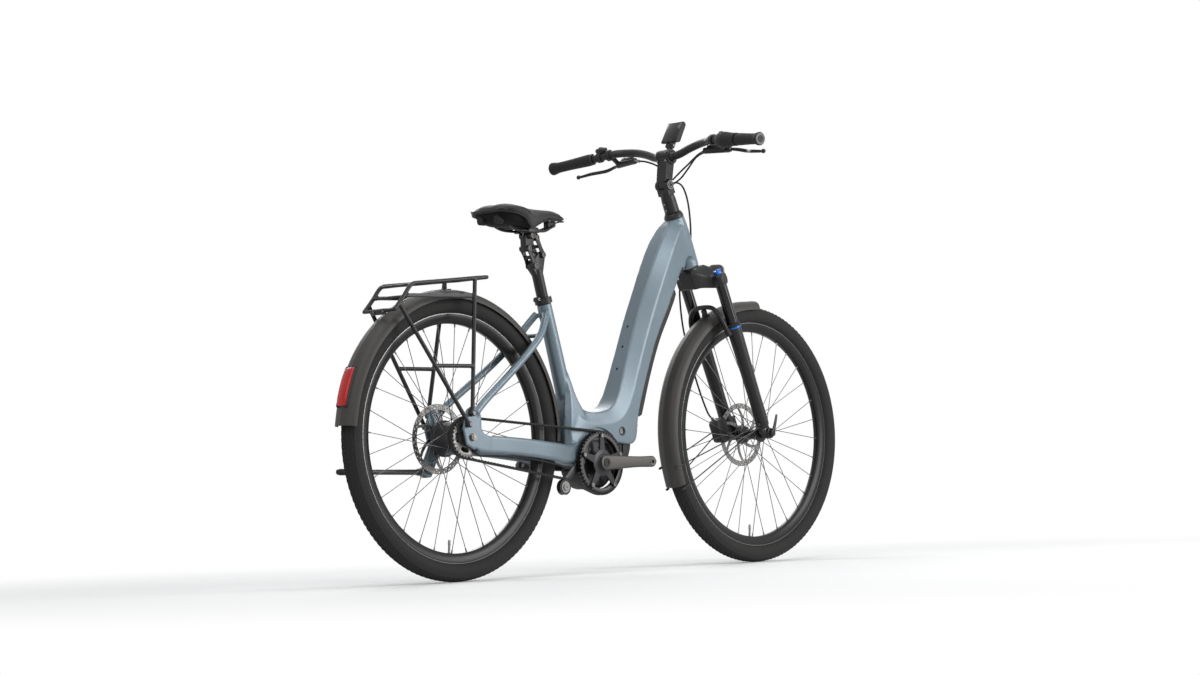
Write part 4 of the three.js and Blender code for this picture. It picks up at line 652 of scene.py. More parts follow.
def tyre():
    """The casing with its tread blocks. The tread's crown falls off towards the shoulders."""
    def at(way, wide):
        return mix(BEAD_RADIUS, WHEEL_RADIUS, way), wide * TYRE_HALF

    def crown(wide):
        return mix(at(SHOULDER, 0)[0], WHEEL_RADIUS, math.sqrt(max(0, 1 - (abs(wide) / 0.955) ** 2.3)))

    rings = []
    total = TREAD_PITCHES * TREAD_STEPS
    rows = TREAD_ROWS + [-s for s in reversed(TREAD_ROWS[:-1])]
    for step in range(total):
        a = step * TURN / total
        section = [at(*p) for p in CASING_SHARES]
        for n, share in enumerate(rows):
            band = min(n, len(rows) - 1 - n) // 2
            grooved = (step + band * 2 + (2 if share < 0 else 0)) % TREAD_STEPS == 0 or n % 2 == 1
            deep = grooved and abs(share) <= TREAD_EDGE
            section.append((crown(share) - (TREAD_DEPTH if deep else TREAD_PLAIN), share * TYRE_HALF))
        section += [at(r, -w) for r, w in reversed(CASING_SHARES)]
        section += [at(r, -w) for r, w in reversed(INSIDE_SHARES)]
        section += [at(*p) for p in INSIDE_SHARES[1:]]
        rings.append([vec(r * math.cos(a), y, r * math.sin(a)) for r, y in section])
    return loft(rings, closed=True)


def rim():
    return collar([*RIM_SECTION, *[(r, -y) for r, y in reversed(RIM_SECTION[1:-1])]], sides=WHEEL_SIDES)


def rim_highlight_rings():
    """A bright alloy ring where each side of the rim meets the tyre: a painted highlight along the rim's edge."""
    return both_sides(collar(RIM_HIGHLIGHT, sides=WHEEL_SIDES))


def spoke_lines(hub_radius, flange_left, flange_right, lean, phase):
    for i in range(SPOKE_COUNT):
        side = -1 if i % 2 else 1
        turn = 1 if (i >> 1) % 2 else -1
        at_rim = phase + i / SPOKE_COUNT * TURN
        at_hub = at_rim + turn * lean
        flange = flange_left if side > 0 else flange_right
        inner = vec(hub_radius * math.cos(at_hub), flange + turn * SPOKE_SEAT, hub_radius * math.sin(at_hub))
        outer = vec(SPOKE_END * math.cos(at_rim), side * SPOKE_STAGGER, SPOKE_END * math.sin(at_rim))
        yield inner, outer, turn


def spokes(layout):
    """Straight spokes, each with its elbow and head through the flange."""
    made = []
    for inner, outer, turn in spoke_lines(*layout):
        out = (outer - inner).normalized()
        bend = [inner - vec(0, turn * 3.4, 0), inner + vec(0, turn * 0.72, 0), inner + out * 2.5]
        made += [tube(bend, SPOKE_RADIUS, 8, 3), rod(inner + out, outer, SPOKE_RADIUS, 8)]
    return joined(*made)


def nipples(layout):
    made = []
    for inner, outer, _ in spoke_lines(*layout):
        back = (inner - outer).normalized()
        made.append(lathe(NIPPLE, outer - back * 2, back, 8))
    return joined(*made)


def valve():
    out = vec(math.cos(VALVE_ANGLE), 0, math.sin(VALVE_ANGLE))
    return lathe(VALVE, out * SPOKE_END, -out, 16)


def offset_point(path, n, side):
    x, z, half = path[n]
    ax, az, _ = path[max(n - 1, 0)]
    bx, bz, _ = path[min(n + 1, len(path) - 1)]
    length = math.hypot(bx - ax, bz - az)
    return x - side * half * (bz - az) / length, z + side * half * (bx - ax) / length


def rotor_slots():
    for row, radius in enumerate(SLOT_ROWS):
        for i in range(SLOTS):
            a = (i + row * 0.5) * TURN / SLOTS
            yield [polar(q, a, *polar(radius, a + w)) for w, q in SLOT]


def rotor(y):
    """A braking ring with two rows of slots, on slanted arms that meet in a hub ring with bolts."""
    def plate(outline, holes=(), share=1):
        return slab(outline, -ROTOR_HALF * share, ROTOR_HALF * share, holes)

    arms = []
    for i in range(ROTOR_ARMS):
        path = []
        for share in (0, 0.25, 0.5, 0.75, 1):
            lean = i * TURN / ROTOR_ARMS + ROTOR_SWEEP * share ** 0.8
            path.append((*polar(mix(ROTOR_CORE - 2, ROTOR_INNER + 2, share), lean), mix(5.2, 3.6, share)))
        left, right = ([offset_point(path, n, side) for n in range(len(path))] for side in (1, -1))
        arms.append(plate([*left, *reversed(right)], share=0.96))
    bolt = cross_rod(0, 0, -2.2, 2.2, 2.6, 12)
    return moved(joined(
        plate(circle(0, 0, ROTOR_RADIUS, 96), [circle(0, 0, ROTOR_INNER, 96), *rotor_slots()]),
        plate(circle(0, 0, ROTOR_CORE, 48), [circle(0, 0, ROTOR_BORE, 48)]), *arms,
        round_a_circle(bolt, ROTOR_BOLT_CIRCLE, ROTOR_ARMS, TURN / ROTOR_ARMS / 2, (0, 0, 0)),
    ), 0, y, 0)


def build_wheel(name, centre_x, profile, layout, rotor_y):
    for part, shape, look, node_name, sharp in (
        ("tread", tyre(), "tyre_rubber", "tyre", 28), ("hoop", rim(), "rim_black", "rim", 40),
        # The rim's edge rings are bright alloy: a painted highlight
        ("rim_highlight_rings", rim_highlight_rings(), "nipple_alloy", None, 30),
        ("hub_shell", collar(profile, sides=64), "satin_metal", "hub", 30),
        ("spokes", spokes(layout), "spoke_steel", None, 60), ("nipples", nipples(layout), "nipple_alloy", None, SHARP),
        ("valve", valve(), "nipple_alloy", None, SHARP), ("brake_disc", rotor(rotor_y), "rotor_steel", "rotor", 30),
    ):
        stands_for = [f"{name}_{node_name}"] if node_name else []
        piece(f"{name}_{part}", moved(shape, centre_x, 0, WHEEL_RADIUS), name + "_wheel", look, stands_for, sharp=sharp)


build_wheel("rear", 0, REAR_HUB, REAR_SPOKES, 53)
build_wheel("front", WHEEL_BASE, FRONT_HUB, FRONT_SPOKES, 40)


# Frame: one skin grown over overlapping tubes, so that its joints have smooth fillets, then bored
HEAD_ANGLE = 68 * DEG
RAKE = 90 * DEG - HEAD_ANGLE
FORK_OFFSET = 51
HEAD_LOW = 833
HEAD_LENGTH = 148
HEAD_X = WHEEL_BASE - FORK_OFFSET / math.sin(HEAD_ANGLE) - (HEAD_LOW - WHEEL_RADIUS) / math.tan(HEAD_ANGLE)
AXLE_DROP = -(HEAD_LOW - WHEEL_RADIUS) / math.sin(HEAD_ANGLE) - FORK_OFFSET / math.tan(HEAD_ANGLE)
BRACKET_X = 492
BRACKET_Z = 292
BRACKET = (BRACKET_X, 0, BRACKET_Z)
SEAT_TOP = 716
SEAT_TOP_X = 349
SEAT_ANGLE = 75 * DEG


def steer(x, y, z):
    """A point given forward, left and up along the steering axis."""
    return vec(HEAD_X + x * math.cos(RAKE) - z * math.sin(RAKE), y,
               HEAD_LOW + x * math.sin(RAKE) + z * math.cos(RAKE))


def on_steer(shape):
    return [steer(*p) for p in shape[0]], shape[1]


def seat_point(z):
    return vec(SEAT_TOP_X + (SEAT_TOP - z) / math.tan(SEAT_ANGLE), 0, z)


SEAT_UP = (seat_point(1) - seat_point(0)).normalized()

# The main tube from the head down round the low step: crest, crease and lower edge as (x, z, half width)
TUBE_STATIONS = [
    [(853, 960, 15), (890, 951, 29), (899, 944, 24)],
    [(825, 934, 20), (860, 920, 34), (905, 896, 29)],
    [(781, 874, 24), (819, 858, 40), (868, 827, 35)],
    [(722, 765, 22), (758, 747, 42), (806, 727, 40)],
    [(674, 665, 23), (710, 647, 42), (747, 629, 40)],
    [(632, 565, 25), (667, 547, 42), (702, 529, 40)],
    [(594, 478, 29), (630, 458, 42), (663, 425, 40)],
    [(562, 441, 33), (592, 412, 43), (640, 346, 41)],
    [(520, 429, 35), (532, 396, 43), (560, 346, 41)],
    [(480, 428, 34), (474, 398, 42), (468, 346, 41)],
    [(452, 440, 26), (436, 414, 38), (404, 350, 39)],
    [(438, 470, 20), (416, 452, 26), (390, 420, 27)],
]
TUBE_STEPS = 8
# The skin from the tube round the head: height on the axis, front radius, and the place and half width of its back
HEAD_SKIN = [
    (147.4, 28.2, -2, 27.8), (124, 29.6, -3, 29.6), (108, 30.2, -34, 32.6), (90, 30.4, -56, 34.2),
    (60, 30.2, -60, 35), (30, 29.6, -61, 35.2), (0.4, 28.8, -61, 35.2),
]
SCOOP = (910, 835)
SCOOP_RADIUS = 25
STAY_POINTS = [(16, 70, 425), (60, 65.6, 460), (196, 51.6, 553), (280, 43.6, 620), (316, 31, 662), (338, 18, 690)]
STAY_RADIUS = 10
# The chainstay by stations along x: top, underside, inner and outer side
CHAINSTAY = [
    (24, 364, 326, 61, 73), (60, 366, 323, 60, 73), (100, 366, 321, 59, 73.6), (190, 360, 314, 56, 73),
    (290, 350, 302, 46, 70), (340, 345, 294, 38, 64), (372, 342, 292, 28, 56), (404, 344, 297, 18, 46),
]
DROPOUT_INNER = 67
DROPOUT_OUTER = 73.5
DROPOUT = [
    (-20, 345), (-31, 388), (-14, 436), (4, 444), (24, 438), (34, 416), (34, 384), (44, 372), (64, 366), (64, 326),
    (24, 330), (0, 340),
]
DROPOUT_FILL = [(-20, 345), (10, 330), (-5, 350)]
STAND_PIVOT = (-26, 281)
STAND_LUG = [(-20, 345), (-44, 300), (-42, 276), (-28, 265), (-12, 268), (4, 300), (26, 330), (0, 360)]
# The seat tube's foot by stations up it: height, rear and front, half width
YOKE = [
    (284, 420, 446, 34), (290, 402, 462, 37), (304, 393, 472, 37), (340, 385, 480, 37), (380, 386, 480, 37),
    (408, 388, 474, 37), (434, 391, 461, 35.5), (456, 395, 447, 32), (480, 399, 436, 28), (506, 397, 428, 23.5),
    (534, 392, 419, 18),
]
FOOT_CHAMFER = 0.36
FENDER_BRIDGE = (283, 628)
MOTOR_RADIUS = 62
MOTOR_POCKET = [(438, 200), (438, 352), (456, 372), (560, 372), (604, 350), (604, 200)]
CRESCENT_RADIUS = 95
LOCK_X = 591
LOCK_Z = 376
BAY_LOW = (607, 440)
BAY_ANGLE = 66.7 * DEG
BAY_LENGTH = 386
BAY_HALF = 30
FRAME_VOXEL = 2.5
FRAME_EASE = 4
SEAT_BORE = 15.9
STEERER_BORE = 19
LUGS = [(673, 662), (648, 607), (620, 548)]


def main_tube():
    crests, creases, lows = (smooth_path([station[k] for station in TUBE_STATIONS], TUBE_STEPS) for k in range(3))
    return loft([mirrored_path([(p[0], p[2], p[1]) for p in side]) for side in zip(crests, creases, lows)])


def seat_foot():
    """The chamfered foot that carries the seat tube into the low step."""
    rings = []
    for z, rear, front, half in YOKE:
        c = FOOT_CHAMFER * half
        side = [(rear, half - c, z), (rear + c, half, z), (front - c, half, z), (front, half - c, z)]
        rings.append(mirrored_path(side))
    return loft(rings)


def chainstay():
    rings = []
    for top, low, inner, outer in tracks(CHAINSTAY, 6):
        a, b, c, d = inner[1], outer[1], low[1], top[1]
        bevel = (b - a) / 4
        rings.append([vec(top[0], y, z) for y, z in (
            (a, c + bevel), (a, d - bevel), (a + bevel, d), (b - bevel, d), (b, d - bevel), (b, c + bevel),
            (b - bevel, c), (a + bevel, c))])
    return loft(rings)


def bay_point(along, out):
    return (BAY_LOW[0] + along * math.cos(BAY_ANGLE) + out * math.sin(BAY_ANGLE),
            BAY_LOW[1] + along * math.sin(BAY_ANGLE) - out * math.cos(BAY_ANGLE))


def head_skin():
    """The tube's side panels carried forward round the head, with a scoop under each."""
    rings = []
    for h, front, back, half in HEAD_SKIN:
        curve = [vec(*polar(front, k * 16 * DEG), h) for k in range(-5, 6)]
        rings.append([*curve, vec(back, half, h), vec(back, -half, h)])
    x, z = SCOOP
    outline = [*arc(x, z, SCOOP_RADIUS, 0, math.pi, 32), (x - 36, z - 16), (x - 36, z - 60), (x + SCOOP_RADIUS, z - 60)]
    return without(on_steer(loft(rings)), slab(outline, -60, 60))


def build_frame():
    seat_top = seat_point(SEAT_TOP)
    obj = grown("frame_body", joined(
        main_tube(),
        head_skin(),
        seat_foot(),
        rod(seat_point(398), seat_top, 22.5, 40, 19.5),
        on_steer(lathe([(0, 0), (28, 0), (28, HEAD_LENGTH), (0, HEAD_LENGTH)], sides=48, axis=UP)),
        both_sides(chainstay(), tube(STAY_POINTS, STAY_RADIUS, 20), slab(DROPOUT, DROPOUT_INNER, DROPOUT_OUTER)),
        mirrored(slab(DROPOUT_FILL, DROPOUT_INNER, DROPOUT_OUTER)),
        slab(STAND_LUG, DROPOUT_INNER, DROPOUT_OUTER),
        cross_rod(*FENDER_BRIDGE, -36, 36, 6),
    ), FRAME_VOXEL, FRAME_EASE)
    bay = [bay_point(along, out) for along, out in ((0, 0), (BAY_LENGTH, 0), (BAY_LENGTH, 110), (0, 110))]
    through_crest = vec(math.sin(BAY_ANGLE), 0, -math.cos(BAY_ANGLE))
    cut(
        obj,
        on_steer(lathe([(0, -6), (STEERER_BORE, -6), (STEERER_BORE, HEAD_LENGTH + 6), (0, HEAD_LENGTH + 6)], axis=UP,
                       sides=40)),
        rod(seat_top + SEAT_UP * 6, seat_top - SEAT_UP * 240, SEAT_BORE, 32),
        slab(bay, -BAY_HALF, BAY_HALF),
        cross_rod(LOCK_X, LOCK_Z, -60, -29.7, 9.3),
        slab(MOTOR_POCKET, -33.5, 33.5),
        cross_rod(BRACKET_X, BRACKET_Z, -60, 60, MOTOR_RADIUS + 0.6, 64),
        cross_rod(BRACKET_X, BRACKET_Z, -60, -37, CRESCENT_RADIUS, 96),
        cross_rod(0, WHEEL_RADIUS, -90, 90, 6.3),
        cross_rod(*STAND_PIVOT, 60, 90, 5.3),
        *[rod(vec(x, 0, z) - through_crest * 10, vec(x, 0, z) + through_crest * 12, 3.6) for x, z in LUGS],
    )
    settle(obj, "frame", "frame_paint", ["frame"], sharp=52)


build_frame()


# Drive: a toothed belt, two toothed pulleys, an idler on a sprung arm, and the cranks
BELT_Y = -48
BELT_HALF = 5.5
BELT_BACK = 3.4
BELT_TOOTH = 2.9
BELT_TEETH = ((0.0, 0.0), (0.10, 0.0), (0.24, 1.0), (0.5, 1.0), (0.64, 0.0))
PULLEY_HALF = 6.5
PULLEY_TEETH = ((0.02, 0.0), (0.42, 0.0), (0.52, 0.55), (0.62, 0.95), (0.72, 1.0), (0.82, 0.95), (0.92, 0.55))
PITCH = 11
TIP_DROP = 1.6
FRONT_TEETH = 48
REAR_TEETH = 30
FRONT_TIP = FRONT_TEETH * PITCH / TURN - TIP_DROP
REAR_TIP = REAR_TEETH * PITCH / TURN - TIP_DROP
TOOTH_DEPTH = 3.6
IDLER = (351, 230.5)
IDLER_RADIUS = 19
CLEAR = 0.35
HUB_CENTRE = (0, 0, WHEEL_RADIUS)


def belt_line(offset):
    """The belt's run round the rear pulley, the front pulley and the idler, with its outward directions."""
    wheels = [(0, WHEEL_RADIUS, REAR_TIP + CLEAR, 1), (BRACKET_X, BRACKET_Z, FRONT_TIP + CLEAR, 1),
              (*IDLER, IDLER_RADIUS + CLEAR + BELT_BACK, -1)]
    turns = []
    for (x, z, r, s), (bx, bz, br, bs) in zip(wheels, [*wheels[1:], wheels[0]]):
        far = math.hypot(bx - x, bz - z)
        turns.append(math.atan2(bz - z, bx - x) + math.acos((s * r - bs * br) / far))
    points = []
    for i, (x, z, r, s) in enumerate(wheels):
        start, end = turns[i - 1], turns[i]
        wrap = (s * (start - end)) % TURN
        steps = max(8, int(wrap / (3 * DEG)))
        for k in range(steps + 1):
            out = Vector(polar(1, start - s * wrap * k / steps))
            points.append((Vector((x, z)) + out * (s * r + offset), out))
    return points


def belt():
    """The back of the belt is a smooth band. Its teeth stand on the inner side at an equal pitch."""
    line = belt_line(0)
    lengths = [0.0]
    for (a, _), (b, _) in zip(line, [*line[1:], line[0]]):
        lengths.append(lengths[-1] + (b - a).length)
    count = round(lengths[-1] / PITCH)

    def along(distance):
        distance %= lengths[-1]
        i = max(n for n in range(len(line)) if lengths[n] <= distance)
        (a, out_a), (b, out_b) = line[i], line[(i + 1) % len(line)]
        t = (distance - lengths[i]) / (lengths[i + 1] - lengths[i])
        return a.lerp(b, t), out_a.lerp(out_b, t).normalized()

    inner = []
    for tooth in range(count):
        for share, deep in BELT_TEETH:
            at, out = along((tooth + share) * lengths[-1] / count)
            inner.append(tuple(at - out * (BELT_TOOTH * deep)))
    outer = [tuple(p) for p, _ in belt_line(BELT_BACK)]
    return slab(outer, BELT_Y - BELT_HALF, BELT_Y + BELT_HALF, [inner])


def pulley(tip, teeth, holes, x, z):
    """A toothed wheel: flat tips with round valleys between them."""
    outline = [polar(tip - TOOTH_DEPTH * deep, (i + share) * TURN / teeth)
               for i in range(teeth) for share, deep in PULLEY_TEETH]
    return moved(slab(outline, BELT_Y - PULLEY_HALF, BELT_Y + PULLEY_HALF, holes), x, 0, z)


def window(middle, half_angle, inner, outer, waist):
    """A rounded opening between two arms of a wheel."""
    corner = 4 / outer
    return [
        *arc(0, 0, outer, middle + half_angle - corner, middle - half_angle + corner, 10),
        *arc(0, 0, outer - 4, middle - half_angle, middle - half_angle * 0.99, 1),
        *arc(0, 0, inner, middle - half_angle * waist, middle + half_angle * waist, 6),
        *arc(0, 0, outer - 4, middle + half_angle * 0.99, middle + half_angle, 1),
    ]


def build_belt_drive():
    piece("toothed_belt", belt(), "frame", "rubber", ["drive_belt"], sharp=25)
    windows = [window((k + 0.5) * 72 * DEG, 24 * DEG, 27, REAR_TIP - 12, 0.8) for k in range(5)]
    sprocket = pulley(REAR_TIP, REAR_TEETH, [circle(0, 0, 22, 48), *windows], 0, WHEEL_RADIUS)
    piece("rear_sprocket", sprocket, "rear_drive", "rotor_steel", ["rear_pulley"], bevel=0.5)
    carrier = collar([(7, -41.5), (24, -41.5), (24, -55), (21, -56), (7, -56)], HUB_CENTRE)
    piece("pulley_carrier", carrier, "rear_drive", "satin_metal", bevel=0.4)
    piece("toothed_ring", pulley(FRONT_TIP, FRONT_TEETH, [circle(0, 0, 68.2, 96)], BRACKET_X, BRACKET_Z), "crankset",
          "satin_metal", ["front_pulley"], bevel=0.5)
    face = collar([(69.5, -54.4), (76.5, -54.4), (76.5, -55.0), (75.5, -55.3), (70.5, -55.3), (69.5, -55.0)], BRACKET,
                  sides=96)
    piece("ring_face", face, "crankset", "crank_grey", sharp=30)


# Cranks
CRANK_LENGTH = 170
CRANK_KEYS = [0, 40, 120, 170, 187]
CRANK_HALF = [19.5, 18, 14.5, 15, 15]
CRANK_INNER = [58, 60, 66, 69.5, 71]
CRANK_OUTER = [75, 77, 82, 84.5, 84.5]
CRANK_STATIONS = [-19.3, -18, -15.5, -12, -6, 0, 12, 28, 50, 75, 100, 125, 145, 160, 170, 176, 181, 184, 185.3]
CRANK_TIP = 15.5
CRANK_CORNER = 4.5
PEDAL_SLEEVE = [(6.6, 69.8), (7.5, 69.8), (7.5, 84.4), (8.8, 84.9), (8.8, 85.4), (6.6, 85.4)]
CRANK_CAP = [(0, 73), (12.5, 73), (12.5, 76.2), (11, 77.2), (5.5, 77.2), (5.0, 75.6), (0, 75.6)]
SPIDER_ARMS = 5
SPIDER_ARM = [
    (8, -15), (40, -9.5), (66, -7), (76, -6.5), (78.5, -3.5), (78.5, 3.5), (76, 6.5), (66, 7), (40, 9.5), (8, 15),
]
SPIDER_HUB = [(10, -55), (34, -55), (36, -56), (36, -59.6), (34, -60.4), (24, -62), (21, -66), (10, -66)]
SPIDER_BOLT = [(0, -60), (5.4, -60), (5.4, -62), (4.6, -62.6), (2.6, -62.6), (2.4, -61.2), (0, -61.2)]
BOLT_CIRCLE = 72


def crank_arm():
    rings = []
    for x in CRANK_STATIONS:
        half, inner, outer = (along_keys(CRANK_KEYS, v, max(x, 0)) for v in (CRANK_HALF, CRANK_INNER, CRANK_OUTER))
        past = -x if x < 0 else x - CRANK_LENGTH
        if past > 0:
            half = math.sqrt(max((CRANK_HALF[0] if x < 0 else CRANK_TIP) ** 2 - past * past, 4))
        section = rounded(inner, outer, -half, half, min(CRANK_CORNER, half * 0.9), 4)
        rings.append([vec(x, y, z) for y, z in section])
    return loft(rings)


def crank(name, side, replaces):
    def bored(at, low, high, radius):
        return rod(at + vec(0, low * side, 0), at + vec(0, high * side, 0), radius, 32)

    centre = Vector(BRACKET)
    eye = centre + vec(-side * CRANK_LENGTH, 0, 0)
    arm = turned_by(sided(crank_arm(), side), ACROSS, math.pi if side > 0 else 0)
    obj = as_object(name, moved(arm, *centre), False)
    cut(obj, bored(eye, 60, 95, 7.6), bored(centre, 50, 71.5, 9.9))
    settle(obj, "crankset", "crank_grey", replaces, sharp=35)
    thread = moved(sided(collar(PEDAL_SLEEVE, sides=32), side), *eye)
    piece(name + "_thread", thread, "crankset", "rotor_steel", sharp=30)
    piece(name + "_cap", moved(sided(lathe(CRANK_CAP, sides=40), side), *centre), "crankset", "black_plastic", sharp=30)


def build_cranks():
    piece("crank_axle", cross_rod(BRACKET_X, BRACKET_Z, -71, 71, 9.4, 40), "crankset", "rotor_steel", ["crank_spindle"],
          bevel=0.6)
    crank("right_arm", -1, ["right_crank"])
    crank("left_arm", 1, ["left_crank"])
    arm = slab(SPIDER_ARM, -60.3, -55.2)
    arms = [turned_by(arm, ACROSS, -90 * DEG - k * TURN / SPIDER_ARMS) for k in range(SPIDER_ARMS)]
    obj = grown("spider", moved(joined(*arms, collar(SPIDER_HUB, sides=64)), *BRACKET), 0.9, 2)
    settle(obj, "crankset", "satin_metal", sharp=40)
    bright("spider_bolts", round_a_circle(lathe(SPIDER_BOLT, sides=24), BOLT_CIRCLE, SPIDER_ARMS, 90 * DEG, BRACKET),
           "crankset")


# Motor unit, its guard, tensioner and idler
HOUSING = [(446, 330), (456, 352), (476, 366), (556, 366), (598, 345), (598, 322), (545, 258), (470, 240)]
# One side of the drum from its bore outwards, as (y, radius)
DRUM_SIDE = [
    (40.6, 10.5), (40.6, 20), (39.6, 22), (36.4, 22), (35.4, 30), (34.2, 50), (33.6, 54), (33.6, 58), (32, 61.5),
]
DRUM_SCREW = [(0, -34), (3.4, -34), (3.4, -36.2), (2.8, -36.8), (1.6, -36.8), (1.5, -35.8), (0, -35.8)]
DRUM_SCREWS = 7
DRUM_SCREW_CIRCLE = 44
GUARD_FRONT = [(601, 345.4), (633, 345.4), (630, 328), (622, 308), (600, 284), (580, 264)]
GUARD_BACK = [(549, 257), (601, 319)]
GUARD_FROM = -42 * DEG
GUARD_TO = -165 * DEG
GUARD_RIB = [(575, 263), (600, 286), (622, 310), (620.5, 311.5), (598, 288), (574, 265)]
RIB_PITCH = 11
MOTOR_HALF = 33


def build_motor():
    obj = rounded_edges(as_object("motor_housing", slab(HOUSING, -MOTOR_HALF, MOTOR_HALF)), 3, 3)
    cut(obj, cross_rod(BRACKET_X, BRACKET_Z, -50, 50, 55, 64))
    settle(obj, "frame", "satin_metal")
    drum = [(r, y) for y, r in [*[(-y, r) for y, r in DRUM_SIDE], *reversed(DRUM_SIDE)]]
    piece("motor_drum", collar(drum, BRACKET, sides=96), "frame", "satin_metal", ["motor_unit"], sharp=30)
    screws = round_a_circle(lathe(DRUM_SCREW, sides=20), DRUM_SCREW_CIRCLE, DRUM_SCREWS, 20 * DEG, BRACKET)
    bright("motor_screws", both_sides(screws), "frame")
    outer = arc(BRACKET_X, BRACKET_Z, MOTOR_RADIUS + 7, GUARD_FROM, GUARD_TO, 24)
    inner = arc(BRACKET_X, BRACKET_Z, MOTOR_RADIUS + 2.5, GUARD_TO, GUARD_FROM, 24)
    guard = slab([*GUARD_FRONT, *outer, *inner, *GUARD_BACK], -MOTOR_HALF, MOTOR_HALF)
    piece("guard_shell", guard, "frame", "black_plastic", ["motor_guard"], bevel=1.6, segments=3)
    ribs = [slab(GUARD_RIB, k * RIB_PITCH - 1, k * RIB_PITCH + 1) for k in range(-2, 3)]
    piece("guard_ribs", moved(joined(*ribs), 1.4, 0, -1.4), "frame", "black_plastic", sharp=30)


ARM_PIVOT = (432, 300)
ARM_ROOT = 12
ARM_END = 10
PIVOT_BOLT = [(0, -37.2), (8, -37.2), (8, -44), (7, -45), (3.2, -45), (3, -43), (0, -43)]
IDLER_BOLT = [
    (0, -37.6), (5.9, -37.6), (5.9, -55.8), (9, -55.8), (9, -57.8), (8, -58.6), (3, -58.6), (2.8, -57), (0, -57),
]
# One side of the idler from its bore outwards, as (y, radius)
IDLER_SIDE = [(7.3, 6.4), (7.3, 16), (6.6, 16.6), (6.6, 20.2), (5.8, 20.2), (5.6, IDLER_RADIUS)]
IDLER_SHIELD = [(7.4, -7.25), (15, -7.25), (15, -7.9), (7.4, -7.9)]
SPRING_COIL = 10.2
SPRING_WIRE = 0.65
SPRING_STEPS = 61


def build_tensioner():
    px, pz = ARM_PIVOT
    aim = math.atan2(IDLER[1] - pz, IDLER[0] - px)
    outline = [*arc(px, pz, ARM_ROOT, aim + 90 * DEG, aim + 270 * DEG, 16),
               *arc(*IDLER, ARM_END, aim - 90 * DEG, aim + 90 * DEG, 14)]
    piece("arm_plate", slab(outline, -40.6, -37.4), "tensioner", "satin_metal", ["tensioner_arm"], bevel=0.8)
    at = (IDLER[0], 0, IDLER[1])
    piece("idler_bolt", lathe(IDLER_BOLT, at, sides=36), "tensioner", "rotor_steel", sharp=30)
    bright("pivot_bolt", lathe(PIVOT_BOLT, (px, 0, pz), sides=36), "tensioner")
    coils = []
    for k in range(SPRING_STEPS):
        x, z = polar(SPRING_COIL, k * 18 * DEG, px, pz)
        coils.append((x, -41.8 - k * 0.034, z))
    piece("tension_spring", tube(coils, SPRING_WIRE, 8, smooth=False), "tensioner", "rotor_steel")
    at = (IDLER[0], BELT_Y, IDLER[1])
    wheel = [(r, y) for y, r in [*[(-y, r) for y, r in IDLER_SIDE], *reversed(IDLER_SIDE)]]
    piece("idler_wheel", collar(wheel, at, sides=64), "idler", "satin_metal", ["idler_pulley"], sharp=30)
    piece("idler_shield", collar(IDLER_SHIELD, at), "idler", "rotor_steel", sharp=30)


# Rear axle, hub interface with its cable, and the kickstand
AXLE_ROD = [(0, -82.5), (5.2, -82.5), (6, -81.6), (6, 81.6), (5.2, 82.5), (0, 82.5)]
AXLE_WASHER = [(6.2, 73.7), (11.5, 73.7), (11.5, 74.9), (6.2, 74.9)]
AXLE_NUT = [(0, 73.9), (10, 73.9), (10, 79.3), (9, 80.5), (0, 80.5)]
INTERFACE = [(6.3, -66.5), (18, -66.5), (20, -65.6), (21, -63.5), (21, -58), (19, -55.2), (6.3, -55.2)]
CABLE_RUN = [
    (9, -59, 350), (17, -60, 331), (33, -61, 318), (70, -61, 316), (110, -62, 315), (190, -62, 310), (290, -57, 296),
    (350, -49, 285), (392, -34, 279), (427, -22, 279),
]


def build_rear_axle():
    def end(profile, side, sides):
        return lathe([(r, side * y) for r, y in profile], sides=sides)

    nuts = [end(AXLE_NUT, side, 6) for side in BOTH]
    washers = [end([*AXLE_WASHER, AXLE_WASHER[0]], side, 36) for side in BOTH]
    axle = moved(joined(lathe(AXLE_ROD, sides=32), *nuts, *washers), *HUB_CENTRE)
    bright("axle_and_nuts", axle, "frame", "rear_axle")
    disc = collar(INTERFACE, HUB_CENTRE, sides=56)
    piece("interface_disc", disc, "frame", "black_plastic", ["hub_interface"], sharp=30)
    piece("shift_cable", tube(CABLE_RUN, 2.5, 14, 6), "frame", "rubber")
    clips = joined(tube([CABLE_RUN[0], (11.5, -59.3, 344), (15, -59.8, 335)], 3.6, 14, 4),
                   tube([(150, -62, 312.9), (156, -62, 312.5)], 3.4, 14, 2),
                   tube([(250, -59.6, 302.5), (256, -59.3, 301.6)], 3.4, 14, 2))
    piece("cable_clips", clips, "frame", "black_plastic")


STAND_TIP = (-305, 287)
STAND_Y = 81.3
STAND_BOSS = [(0, 66.8), (5, 66.8), (5, 73.8), (15, 73.8), (15, 86.4), (13, 88.4), (6, 88.4), (5.6, 86.8), (0, 86.8)]
FOOT_RADII = (7.2, 8.2, 8.2, 6.4)


def build_kickstand():
    root, tip = vec(STAND_PIVOT[0], STAND_Y, STAND_PIVOT[1]), vec(STAND_TIP[0], STAND_Y + 16, STAND_TIP[1])
    back = (tip - root).normalized()
    leg = [root + back * 6, root + back * 60, root + back * 200, tip - back * 26]
    leg = tube(leg, lambda s: mix(7.6, 6.0, s), 24, 6)
    piece("stand_bar", leg, "kickstand", "crank_grey", ["kickstand_leg"], sharp=30)
    boss = lathe(STAND_BOSS, (STAND_PIVOT[0], 0, STAND_PIVOT[1]))
    piece("stand_boss", boss, "kickstand", "rotor_steel", sharp=30)
    foot = [tip - back * far for far in (30, 20, 8, 0)]
    foot = tube(foot, lambda s: FOOT_RADII[min(int(s * 3.999), 3)], 24, smooth=False)
    piece("stand_foot", foot, "kickstand", "rubber", sharp=35)
    collar_tube = tube([root + back * 14, root + back * 22], 9.2, 24, smooth=False)
    piece("stand_collar", collar_tube, "kickstand", "crank_grey", bevel=0.8)


